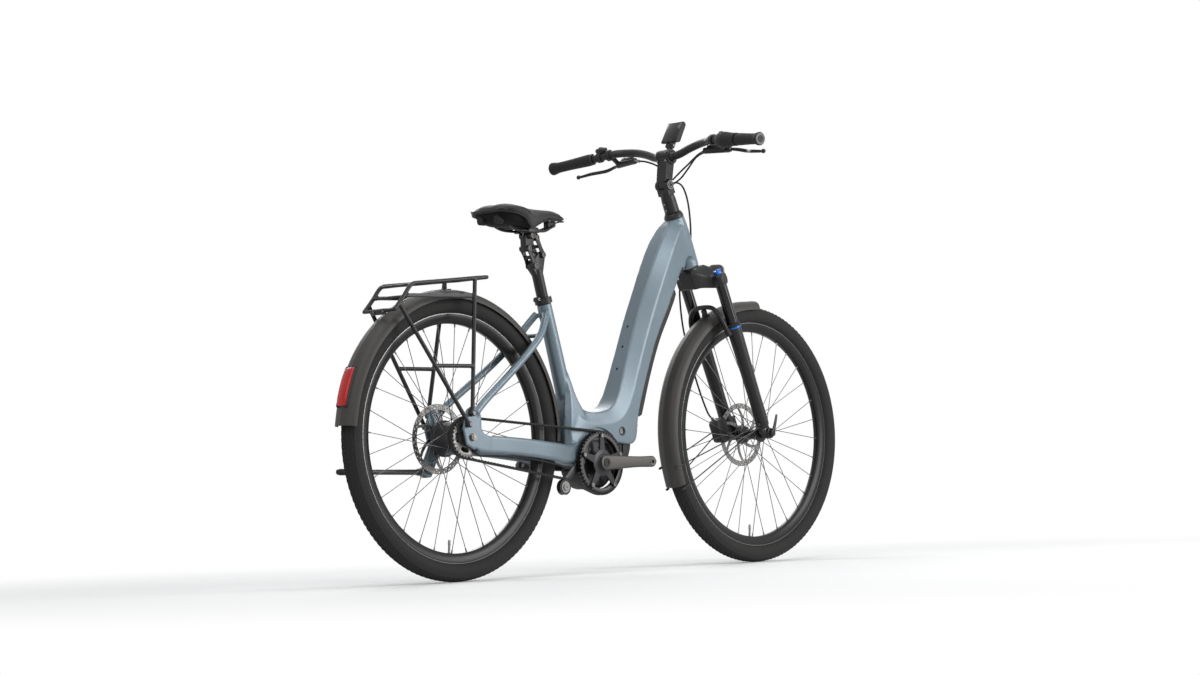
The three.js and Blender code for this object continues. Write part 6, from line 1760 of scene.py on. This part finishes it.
def build_fork_lowers():
    lug = slab([(LEG_X + x, z) for x, z in AXLE_LUG], 49.1, 65.1)
    shapes = [lower_leg(leg) for leg in LEGS]
    shapes.append(both_sides(lug, cross_rod(FORK_OFFSET, AXLE_DROP, 49.1, 73, 15, 40)))
    shapes.append(tube(mirrored_path(ARCH), lambda s: 7.5 - 0.8 * math.sin(math.pi * s), 24, 6))
    shapes += [block((-4, 52, z - 5), (24, 62, z + 5)) for z in (-462, -498)]
    obj = grown("fork_legs", on_steer(joined(*shapes)), 1.5, 3)
    steer_cut(obj, *[rod((x, y, -356), (x, y, -170), 16.4, 40) for x, y, _ in LEGS],
              cross_rod(FORK_OFFSET, AXLE_DROP, -90, 90, 6.4, 32))
    settle(obj, "lowers", "black_paint", ["fork_lowers"], sharp=40)
    seals = [upright([(r, SEAL_Z + h) for r, h in [*SEAL, SEAL[0]]], leg) for leg in LEGS]
    right_band, left_band = (upright([(r, SEAL_Z + h) for r, h in [*SEAL_BAND, SEAL_BAND[0]]], leg) for leg in LEGS)
    steer_piece("dust_seals", joined(*seals), "lowers", "rubber", sharp=30)
    steer_piece("seal_bands", right_band, "lowers", "lockout_blue", sharp=30)
    steer_piece("seal_band_left", left_band, "lowers", "satin_metal", sharp=30)
    steer_bright("foot_nuts", joined(*[upright(FOOT_NUT, leg, 32) for leg in LEGS]), "lowers")
    steer_piece("leg_bracket", slab(LEG_BRACKET, -72, -58), "lowers", "nipple_alloy", bevel=2.0)


def build_front_axle():
    steer_bright("through_axle_rod", lathe(AXLE_SHAFT, AXLE, sides=32), "through_axle", "front_axle")
    steer_piece("axle_head", lathe(AXLE_HEAD, AXLE, sides=40), "through_axle", "satin_metal", sharp=30)
    path = smooth_path(LEVER_RUN, 6)
    rings = []
    for i, p in enumerate(path):
        share = i / (len(path) - 1)
        half_w = 7.2 * (1 - 0.45 * share) if share < 0.97 else 3.0
        rings.append(ring(p, ACROSS, (0.8, 0, -0.6), mix(3.6, 2.2, share), half_w, 20))
    steer_piece("axle_lever", moved(loft(rings), *AXLE), "through_axle", "satin_metal", sharp=40)


FRONT_CALIPER = [
    (-46, -508), (-38, -515), (-10, -515), (-4.4, -508), (-4.4, -455), (-10, -448), (-38, -448), (-46, -456),
]
FRONT_PLUG = [(0, 59.8), (9, 59.8), (9, 61.2), (8.2, 62), (4, 62), (3.8, 60.8), (0, 60.8)]


def build_front_caliper():
    obj = rounded_edges(as_object("front_caliper_body", on_steer(slab(FRONT_CALIPER, 27, 60))), 2.4, 3)
    steer_cut(obj, block((-39, 38.2, -540), (20, 41.8, -420)))
    settle(obj, "lowers", "caliper_black", ["front_caliper"], sharp=35)
    bolts = [rod((-4.6, 57, z), (0.6, 57, z), 4.2, 6) for z in (-462, -500)]
    steer_bright("front_caliper_bolts", joined(lathe(FRONT_PLUG, (-26, 0, -482), sides=36), *bolts), "lowers")
    steer_piece("front_hose_fitting", rod((-26, 57, -449), (-26, 57.6, -441), 4.4, 6), "lowers", "nipple_alloy")


# Front mudguard with its wire stays
WIRE_ANGLE = 172 * DEG


def front_flare(share):
    """The front lip turns up a little and the lower end flares outward."""
    tip = max(0.0, (0.05 - share) / 0.05)
    low = max(0.0, (share - 0.94) / 0.06)
    return 3.0 * tip * tip + 1.8 * low * low, 1.06 - 0.05 * tip


def build_front_fender():
    skin = fender_strip((FORK_OFFSET, AXLE_DROP), 86.5 * DEG - RAKE, 202.5 * DEG - RAKE, front_flare)
    steer_piece("front_mudguard", skin, "lowers", "fender_plastic", ["front_fender"], sharp=40)
    top = AXLE_DROP + FENDER_RADIUS
    bracket = joined(block((3, -10, top + 1), (17, 10, top + 5)), block((6, -10, top + 2), (9, 10, -132)),
                     rod((3, 0, -130), (17, 0, -130), 4.2, 20))
    steer_piece("fender_bracket", bracket, "lowers", "black_paint", bevel=0.8)
    x, z = polar(FENDER_RADIUS - 5, WIRE_ANGLE, FORK_OFFSET, AXLE_DROP)
    wires, clips = [], [rod((8.6, 70, -485), (16, 70, -485), 5, 20)]
    for drop in (0, 1):
        foot = vec(13.6, 70, -485 - 6 * drop)
        target = vec(x + 2 * drop, 30, z - 64 * drop)
        bend = foot + (target - foot) * 0.06 + vec(0, 2, 0)
        wires.append(tube([foot, bend, foot.lerp(target, 0.5), target], 1.8, 12, 5))
        clips.append(rod(target - vec(5, 0, 0), target + vec(5, 0, 0), 3.4, 16))
    steer_piece("fender_wires", both_sides(*wires), "lowers", "satin_metal")
    steer_piece("wire_clips", both_sides(*clips), "lowers", "black_plastic", bevel=0.6)


# Lockout knob, headlight and its bracket
KNOB_LOW = -37.7
KNOB = ((11.4, 0, 0.5), (11.5, 6.4, 0.5), (10.2, 8.2, 0), (8.5, 9, 0))
KNOB_SIDES = 72
KNOB_NOTCHES = 18
KNOB_TAB = [(34, 8.9), (53, 7.4), (53, 9.6), (34, 11.6)]


def build_lockout():
    rings = []
    for radius, height, depth in KNOB:
        one = []
        for a in (i * TURN / KNOB_SIDES for i in range(KNOB_SIDES)):
            r = radius - depth * (0.5 + 0.5 * math.cos(KNOB_NOTCHES * a))
            one.append(vec(r * math.cos(a), r * math.sin(a), KNOB_LOW + height))
        rings.append(one)
    knob = moved(loft(rings), *LEGS[0])
    steer_piece("knob_body", knob, "lockout", "lockout_blue", ["lockout_knob"], sharp=30)
    tab = slab([(x, KNOB_LOW + z) for x, z in KNOB_TAB], -LEG_Y - 3.4, -LEG_Y + 3.4)
    steer_piece("knob_tab", tab, "lockout", "lockout_blue", bevel=0.8)


LAMP_ARM = [
    (40.4, -30), (40.4, -58), (56, -72), (66, -76), (88, -78), (98, -76), (99, -66), (90, -63), (66, -62), (54, -50),
    (48, -30),
]
LAMP_PIVOT = (92, 0, -70)
LAMP_BOLT = [(0, -12), (4.4, -12), (4.4, -9.6), (3.1, -9.4), (3.1, 9.4), (4.4, 9.6), (4.4, 12), (0, 12)]
LAMP_BACK = vec(78, 0, -38)
LAMP_AHEAD = vec(0.93, 0, -0.37).normalized()
LAMP_UP = vec(0.37, 0, 0.93).normalized()
# Rings along the lamp: distance ahead of its back, half width, half height
LAMP_SHELL = [(0, 7, 6.5), (2, 10, 9.5), (12, 17.4, 16.4), (24, 19.4, 17.8), (37, 20, 18), (41, 19.6, 17.6),
              (42.4, 18.4, 16.4)]
LAMP_LENS = [(42.2, 17, 15), (43.8, 16.4, 14.4), (44.8, 13, 11.4), (45.4, 7, 6)]
LAMP_BEZEL = [(37.2, 20.6, 18.6), (42.6, 20.6, 18.6), (43.6, 19.4, 17.4), (43.6, 17.2, 15.2), (37.2, 17.2, 15.2)]
LAMP_EAR = [(84, -54), (106, -54), (101, -72), (98, -76), (87, -76), (84, -70)]


def lamp_rings(rows, closed=False):
    return loft([ring(LAMP_BACK + LAMP_AHEAD * far, ACROSS, LAMP_UP, ru, rv, 48) for far, ru, rv in rows], closed)


def build_headlight():
    steer_piece("lamp_arm", slab(LAMP_ARM, -4.5, 4.5), "steering", "black_paint", ["headlight_bracket"], bevel=1.2)
    steer_piece("lamp_arm_foot", block((40.4, -18, -58), (44, 18, -30)), "steering", "black_paint", bevel=1.0)
    steer_bright("lamp_bolt", lathe(LAMP_BOLT, LAMP_PIVOT, sides=28), "steering")
    steer_piece("lamp_shell", lamp_rings(LAMP_SHELL), "lamp", "black_plastic", sharp=35)
    steer_piece("lamp_lens", lamp_rings(LAMP_LENS), "lamp", "lamp_glass", ["headlight"], sharp=35)
    steer_piece("lamp_bezel", lamp_rings(LAMP_BEZEL, True), "lamp", "nipple_alloy", sharp=35)
    steer_piece("lamp_ears", both_sides(slab(LAMP_EAR, 5.2, 9.2)), "lamp", "black_plastic", bevel=0.8)


# Headset cover, stem base and its cheeks
STEM_PIVOT_Z = 242.5
CHEEK_OUTER = 20
STEM_LOW = 163.6
HEADSET_CONE = [(14.7, 148.3), (28, 148.3), (28, 150.3), (26.6, 156.3), (23, 163.3), (14.7, 163.3)]
STEM_TUBE = [(0, STEM_LOW), (20.4, STEM_LOW), (21, STEM_LOW + 1), (20.6, 200), (19, 214), (16, 226), (0, 226)]
PIVOT_DISC = [(0, 19), (14.2, 19), (14.2, 22.4), (13.4, 23.2), (5, 23.2), (4.6, 21.2), (0, 21.2)]
PIVOT_RINGS = ((12.2, 10.6), (6.6, 5.2))


def build_stem():
    cone = upright([*HEADSET_CONE, HEADSET_CONE[0]])
    steer_piece("headset_cone", cone, "steering", "black_paint", ["headset_cover"], sharp=30)
    cheeks = slab([*arc(0, STEM_PIVOT_Z, 14, 0, math.pi, 24), (-15, 215), (15, 215)], -CHEEK_OUTER, CHEEK_OUTER)
    obj = grown("stem_body", on_steer(joined(upright(STEM_TUBE), cheeks)), 1.2, 3)
    steer_cut(obj, slab(circle(0, STEM_PIVOT_Z, 16, 40), -10.4, 10.4),
              rod((0, 0, STEM_LOW - 6), (0, 0, STEERER_TOP + 0.4), STEERER_RADIUS + 0.35, 32))
    settle(obj, "steering", "black_paint", ["stem_base"], sharp=40)
    at = (0, 0, STEM_PIVOT_Z)
    steer_piece("pivot_discs", both_sides(lathe(PIVOT_DISC, at)), "steering", "satin_metal", sharp=30)
    rings = [collar([(outer, 22), (outer, 23.8), (inner, 23.8), (inner, 22)], at) for outer, inner in PIVOT_RINGS]
    steer_piece("pivot_rings", both_sides(*rings), "steering", "rotor_steel", sharp=30)
    steer_piece("pivot_shaft", cross_rod(0, STEM_PIVOT_Z, -19, 19, 4.1, 28), "steering", "rotor_steel")
    screws = [rod((-19, 0, z), (-24.4, 0, z), 3.2, 20) for z in (176, 194)]
    steer_bright("stem_screws", joined(*screws), "steering")


# The front brake hose runs from the stem to the sliding lowers, as one fixed tube
HOSE_RUN = [
    (10, 12, 208), (28, 12, 222), (54, 8, 234), (84, 10, 210), (90, 16, 150), (82, 36, 60), (70, 66, 0), (52, 92, -50),
    (30, 98, -110), (6, 96, -200), (-6, 92, -330), (-18, 76, -420), (-26, 58, -446.5),
]


def build_front_hose():
    path = [steer(*p) for p in HOSE_RUN]
    obj = as_object("front_hose", tube(path, 2.6, 14), False)
    obj.data.materials.append(LOOKS["rubber"])
    obj.data.shade_smooth()
    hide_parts("front_brake_hose")
    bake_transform(obj)


build_fork_upper()
build_fork_lowers()
build_front_axle()
build_front_caliper()
build_front_fender()
build_lockout()
build_headlight()
build_stem()
build_front_hose()


# Cockpit: stem arm, handlebar, grips, shifter, brake controls, pod and display
STEM_PIVOT = steer(0, 0, STEM_PIVOT_Z)
BAR_CLAMP = (857, 0, 1138)
CLAMP_OUTER = 21
CLAMP_HALF = 23
BAR_THICK = 15.9
BAR_RADIUS = 11.1
BAR_BORE = 11.5
GRIP_BORE = 11.45
GRIP_START = 205
BAR_END = 388
BAR_TIP = (800, 1142)
BAR_FALL = (26 / 148, 16 / 148)
BAR_HALF = [(857, 24, 1138), (860, 48, 1142), (864, 82, 1154), (864, 120, 1163), (853, 158, 1166)]
BAR_SWELL = [(0, -34), (11.4, -34), (12.6, -30), (BAR_THICK, -24), (BAR_THICK, 24), (12.6, 30), (11.4, 34), (0, 34)]
DISPLAY_BOLT = [(0, -15), (4, -15), (4, -12.4), (2.9, -12.2), (2.9, 12.2), (4, 12.4), (4, 15), (0, 15)]


def bar_at(y, side=1):
    return vec(BAR_TIP[0] + (BAR_END - y) * BAR_FALL[0], side * y, BAR_TIP[1] + (BAR_END - y) * BAR_FALL[1])


def grip_axis(side=1):
    return (bar_at(BAR_END, side) - bar_at(GRIP_START, side)).normalized()


def on_bar(side, profile, bore=0, sides=48, wave=None):
    """A turned sleeve on the grip section, from (distance along y, radius) pairs, bored through if it has a bore.

    wave dents its radius by angle and distance, but not at its ends."""
    u, v = across(grip_axis(side))
    rows = [*profile, (profile[-1][0], bore), (profile[0][0], bore)] if bore else profile
    rings = []
    for k, (y, r) in enumerate(rows):
        dented = wave and 0 < k < len(profile) - 1
        angles = (i * TURN / sides for i in range(sides))
        rings.append([bar_at(y, side) + (u * math.cos(a) + v * math.sin(a)) * (r - (wave(a, y) if dented else 0))
                      for a in angles])
    return loft(rings, closed=bool(bore))


def build_stem_arm():
    start, (x, _, z) = (STEM_PIVOT.x, STEM_PIVOT.z), BAR_CLAMP
    aim = math.atan2(z - start[1], x - start[0])
    tongue = slab([*arc(*start, 13.5, aim + 108 * DEG, aim + 252 * DEG, 20), (x + 12, z - 12), (x - 14, z - 12)],
                  -10.1, 10.1)
    arm = slab([*arc(*start, 16.2, 28 * DEG, 152 * DEG, 14), (x - 17, z), (x + 17, z)], -17.5, 17.5)
    clamp = cross_rod(x, z, -CLAMP_HALF, CLAMP_HALF, CLAMP_OUTER, 56)
    lug = slab([(x + 6, z + 16), (x + 26, z + 12), (x + 23, z + 33), (x + 19, z + 39), (x + 12, z + 40)], -5, 5)
    obj = grown("stem_bridge", joined(tongue, arm, clamp, lug), 1.1, 3)
    slit = slab([(x - 40, z - 0.6), (x - 14, z - 0.6), (x - 14, z + 0.6), (x - 40, z + 0.6)], -30, 30)
    cut(obj, cross_rod(x, z, -50, 50, BAR_THICK + 0.3, 48), cross_rod(*start, -30, 30, 4.5, 28), slit)
    settle(obj, "bars", "black_paint", ["stem_arm"], sharp=40)
    screws = [rod((x - 17.5, y, z + up), (x - 21.9, y, z + up), 3.1, 20) for y in (-15, 15) for up in (-11.7, 11.7)]
    bright("clamp_bolts", joined(*screws), "bars")
    bright("display_bolt", lathe(DISPLAY_BOLT, (875, 0, 1171), sides=24), "bars")


def build_handlebar():
    bar = [*BAR_HALF, *[bar_at(y) for y in (GRIP_START - 22, GRIP_START + 30, 300, BAR_END)]]
    path = [*[flip(p) for p in reversed(bar)], *bar]
    piece("bar_tube", tube(path, BAR_RADIUS, 28, 6), "bars", "black_paint", ["handlebar"], sharp=30)
    piece("bar_centre", lathe(BAR_SWELL, BAR_CLAMP), "bars", "black_paint", sharp=30)
    plug = [(BAR_END - 2, 9), (BAR_END + 1.3, 9), (BAR_END + 1.4, 6), (BAR_END + 1.2, 3)]
    piece("bar_plugs", joined(*[on_bar(side, plug, sides=40) for side in BOTH]), "bars", "black_plastic", sharp=30)


GRIPS = (("right_grip", -1, 294.5), ("left_grip", 1, 247))
GRIP_STEPS = 60
GRIP_KEYS = [0, 0.04, 0.12, 0.3, 0.5, 0.72, 0.84, 0.92, 0.975, 1.0]
GRIP_RADII = [14.6, 16.4, 16.8, 16.2, 15.4, 15.0, 15.4, 17.4, 18.5, 17.6]
GRIP_RIB = 0.45
GRIP_PITCH_Y = 5.2


def grip_profile(start):
    """A waisted grip with a flared end flange."""
    rows = [(mix(start, BAR_END, i / GRIP_STEPS), along_keys(GRIP_KEYS, GRIP_RADII, i / GRIP_STEPS))
            for i in range(GRIP_STEPS + 1)]
    return [*rows[:-1], (BAR_END - 1, rows[-1][1])]


def grip_wave(a, y):
    """Fine ribs round the grip and a smoother palm side."""
    palm = 0.5 + 0.5 * math.cos(a - 90 * DEG)
    return GRIP_RIB * (0.5 + 0.5 * math.cos(y * TURN / GRIP_PITCH_Y)) * (1 - 0.8 * palm ** 3)


def build_grips():
    for name, side, start in GRIPS:
        sleeve = on_bar(side, grip_profile(start), GRIP_BORE, 56, grip_wave)
        piece(name + "_rubber", sleeve, "bars", "rubber", [name], sharp=0)
        if side > 0:
            clamp = [(start - 0.4, 15.2), (start + 0.8, 16.0), (start + 5.6, 16.0), (start + 6.6, 15.2)]
            piece(name + "_clamp", on_bar(side, clamp, GRIP_BORE), "bars", "satin_metal", sharp=30)
        # Each end ring is a real cap in a grey plastic lighter than the grip's rubber: that lightness is a painted
        # highlight on the grip's end
        cap = [(BAR_END - 1.2, 16.4), (BAR_END + 0.8, 16.4), (BAR_END + 1.8, 15.4), (BAR_END + 2.0, 10.8),
               (BAR_END + 1.0, 10.2)]
        piece(name + "_end_ring", on_bar(side, cap), "bars", "button_plastic", sharp=30)


SHIFTER_START = 239
# The twist sleeve and its housing: distance from the sleeve's inner end, radius
TWIST_SLEEVE = [
    (0, 20.4), (1, 21), (6, 22), (12, 21.2), (20, 20), (30, 19), (40, 18.2), (48, 17.9), (53, 17.9), (54, 17.2),
]
SHIFTER_SHELL = [(-17, 18.2), (-16, 19), (-13, 20.6), (-11, 21), (-0.6, 21), (-0.5, 20.6)]
SLEEVE_RIBS = 26
SLEEVE_RIB = 0.7
CABLE_RUN_BAR = [(845, -160, 1136), (858, -110, 1126), (876, -62, 1100), (882, -28, 1077), (866, -4, 1058)]


def sleeve_wave(a, y):
    return SLEEVE_RIB * (0.5 + 0.5 * math.cos(SLEEVE_RIBS * a)) if 243 < y < 287 else 0


def build_shifter():
    sleeve, shell = ([(SHIFTER_START + y, r) for y, r in rows] for rows in (TWIST_SLEEVE, SHIFTER_SHELL))
    sleeve = on_bar(-1, sleeve, GRIP_BORE, 156, sleeve_wave)
    piece("twist_sleeve", sleeve, "shifter", "rubber", ["twist_shifter"], sharp=40)
    piece("shifter_shell", on_bar(-1, shell, GRIP_BORE, 64), "bars", "black_plastic", ["shifter_housing"], sharp=30)
    at = bar_at(SHIFTER_START - 8, -1)
    glass = [(-6, 19), (8, 17.5), (9, 21), (-6, 23)]
    window_shape = slab([(at.x + x, at.z + z) for x, z in glass], at.y - 6, at.y + 6)
    piece("shifter_window", window_shape, "bars", "display_glass", bevel=1.2)
    nose = tube([at + vec(8, 0, -14), at + vec(10, 4, -18), at + vec(12, 16, -22)], 4.6, 20, 4)
    piece("cable_exit", nose, "bars", "black_plastic", sharp=40)
    route = [at + vec(8, 0, -17), at + vec(12, 34, -24), *CABLE_RUN_BAR]
    piece("shifter_cable", tube(route, 2.5, 14), "bars", "rubber")


# Brake controls
LEVER_PIVOT = vec(884, 204, 1141)
LEVER_TIP = vec(864, 345, 1118)
LEVER_ROOT = 9
LEVER_BALL = 6.4
LEVER_BOLT = [
    (0, -9.4), (3.8, -9.4), (3.8, -8.2), (2.5, -8), (2.5, 8), (3.8, 8.2), (3.8, 9.4), (2, 9.4), (1.8, 8.4), (0, 8.4),
]
LEVER_HOSE = [(874, 136, 1143), (880, 104, 1139), (888, 76, 1129), (890, 50, 1114), (883, 28, 1096), (868, 11, 1074)]
BAND_Y = 194


def pivot_rod(half, radius, sides=36):
    """A rod standing through the brake lever's pivot."""
    return rod(LEVER_PIVOT - vec(0, 0, half), LEVER_PIVOT + vec(0, 0, half), radius, sides)


def build_brake_body(name, side):
    band_at, along, p = bar_at(BAND_Y), grip_axis(), LEVER_PIVOT
    obj = grown(name + "_casting", sided(joined(
        rod(band_at - along * 6, band_at + along * 6, 15.9, 48),
        rod(band_at + vec(9, 0, -2), p + vec(-6, -4, 0), 7.4, 28, 6.4),
        rod((871, 128, 1143), p + vec(0, 4, 0), 8.7, 36, 10.6),
        rod((873, 140, 1151), (881, 186, 1150), 6.4, 28, 6.8),
        pivot_rod(8, 10.4),
    ), side), 1.0, 3)
    cut(obj, sided(pivot_rod(4.7, LEVER_ROOT + 3.8), side),
        sided(rod(band_at - along * 14, band_at + along * 14, BAR_BORE, 40), side))
    settle(obj, "bars", "caliper_black", [name + "_body"], sharp=40)
    screws = joined(
        rod((873, 150, 1156), (873, 150, 1158.6), 2.6, 16), rod((879, 178, 1155.6), (879, 178, 1158.2), 2.6, 16),
        upright(LEVER_BOLT, p, 24), rod(band_at + vec(14, 0, 4), band_at + vec(14, 0, 10), 2.4, 16),
    )
    bright(name + "_screws", sided(screws, side), "bars")
    piece(name + "_hose", sided(tube(LEVER_HOSE, 2.5, 14), side), "bars", "rubber")
    hose_nut = tube([(871, 130, 1143), (876, 117, 1141)], 4.4, 6, smooth=False)
    bright(name + "_hose_nut", sided(hose_nut, side), "bars")


def build_brake_lever(name, side):
    p, tip = LEVER_PIVOT, LEVER_TIP
    path = smooth_path([p + vec(1, 2, 0), p + vec(7, 13, -2), p + vec(10, 30, -5), p + vec(9.4, 60, -12),
                        tip + vec(5, -46, 5), tip + vec(1.4, -14, 1), tip], 6)
    rings = []
    for i, at in enumerate(path):
        share = i / (len(path) - 1)
        along = (path[min(i + 1, len(path) - 1)] - path[max(i - 1, 0)]).normalized()
        up = (Vector(UP) - along * along.z).normalized()
        tall = mix(3.9, 5.2, math.sin(math.pi * min(share * 1.1, 1)))
        rings.append(ring(at, along.cross(up), up, 3.2, tall, 24))
    ball = []
    for t in (k * 10 * DEG - 80 * DEG for k in range(17)):
        r = LEVER_BALL * math.cos(t) + 0.02
        ball.append(ring(tip + vec(0, LEVER_BALL * math.sin(t), 0), UP, AHEAD, r, r, 28))
    shape = joined(loft(rings), pivot_rod(4, LEVER_ROOT, 40), loft(ball))
    obj = grown(name + "_blade", sided(shape, side), 0.9, 2)
    cut(obj, sided(pivot_rod(9, 3.4, 24), side))
    settle(obj, name, "satin_metal", [name.replace("lever", "brake_lever")], sharp=40)


# Remote pod and its button, by station up the pod: offset forward, height, half width and half length
POD_Y = 225
POD = [(6, 11, 13, 13), (5.4, 14, 15.5, 15.5), (4.4, 19, 17, 18), (3.6, 24, 16.6, 17.6), (3.2, 26.4, 14.6, 15.6),
       (3, 27.2, 12, 13)]
POD_BUTTON = [(0, 24.2), (6.8, 24.2), (7, 24.6), (7, 28.4), (6.2, 29.3), (3, 28.9), (0, 28.8)]


def build_pod():
    at, along = bar_at(POD_Y), grip_axis()
    eye = at + vec(3, -2, 0)
    tilt = vec(1, 0, 0.2).normalized()
    pod = loft([ring(at + vec(x, -2, z), tilt, ACROSS, a, b, 48) for x, z, a, b in POD])
    obj = grown("pod_shell", joined(rod(at - along * 7, at + along * 7, 14.6, 48), pod), 1.0, 2)
    cut(obj, rod(at - along * 30, at + along * 30, BAR_BORE, 40),
        rod(eye + vec(0, 0, 22), eye + vec(0, 0, 34), 7.5, 36))
    settle(obj, "bars", "black_plastic", ["remote_pod"], sharp=40)
    piece("pod_button", upright(POD_BUTTON, eye, 40), "button", "button_plastic", ["remote_button"], sharp=30)
    mark = block(eye + vec(-2, -0.5, 28.9), eye + vec(2, 0.5, 29.35))
    piece("button_mark", mark, "button", "nipple_alloy", slot="button_plastic")


# Display: a thin slab on two arms, with a dark glass face
DISPLAY = [(868, 1182), (873, 1179.6), (884, 1179.4), (888, 1183), (913.4, 1229), (912.6, 1234), (906.6, 1239.6),
           (902.4, 1238.6)]
DISPLAY_EAR = [
    (867, 1167), (872, 1163.4), (880, 1163.4), (884, 1167), (894, 1190), (890, 1196), (876, 1194), (870, 1188),
]
FACE_LOW = Vector((868, 1182))
FACE_HIGH = Vector((904, 1240))


def build_display():
    piece("display_body", slab(DISPLAY, -29, 29), "display", "black_plastic", ["display"], bevel=2.4, segments=3)
    along = (FACE_HIGH - FACE_LOW).normalized()
    out = Vector((-along.y, along.x)) * 0.9
    a, b = FACE_LOW + along * 5, FACE_HIGH - along * 5
    piece("display_screen", slab([tuple(p) for p in (a, b, b + out, a + out)], -26, 26), "display", "display_glass",
          bevel=0.5)
    piece("display_ears", both_sides(slab(DISPLAY_EAR, 5.8, 10)), "display", "black_plastic", bevel=1.0)


build_stem_arm()
build_handlebar()
build_grips()
build_shifter()
for hand, side in (("right", -1), ("left", 1)):
    build_brake_body(hand + "_brake", side)
for hand, side in (("right", -1), ("left", 1)):
    build_brake_lever(hand + "_lever", side)
build_pod()
build_display()
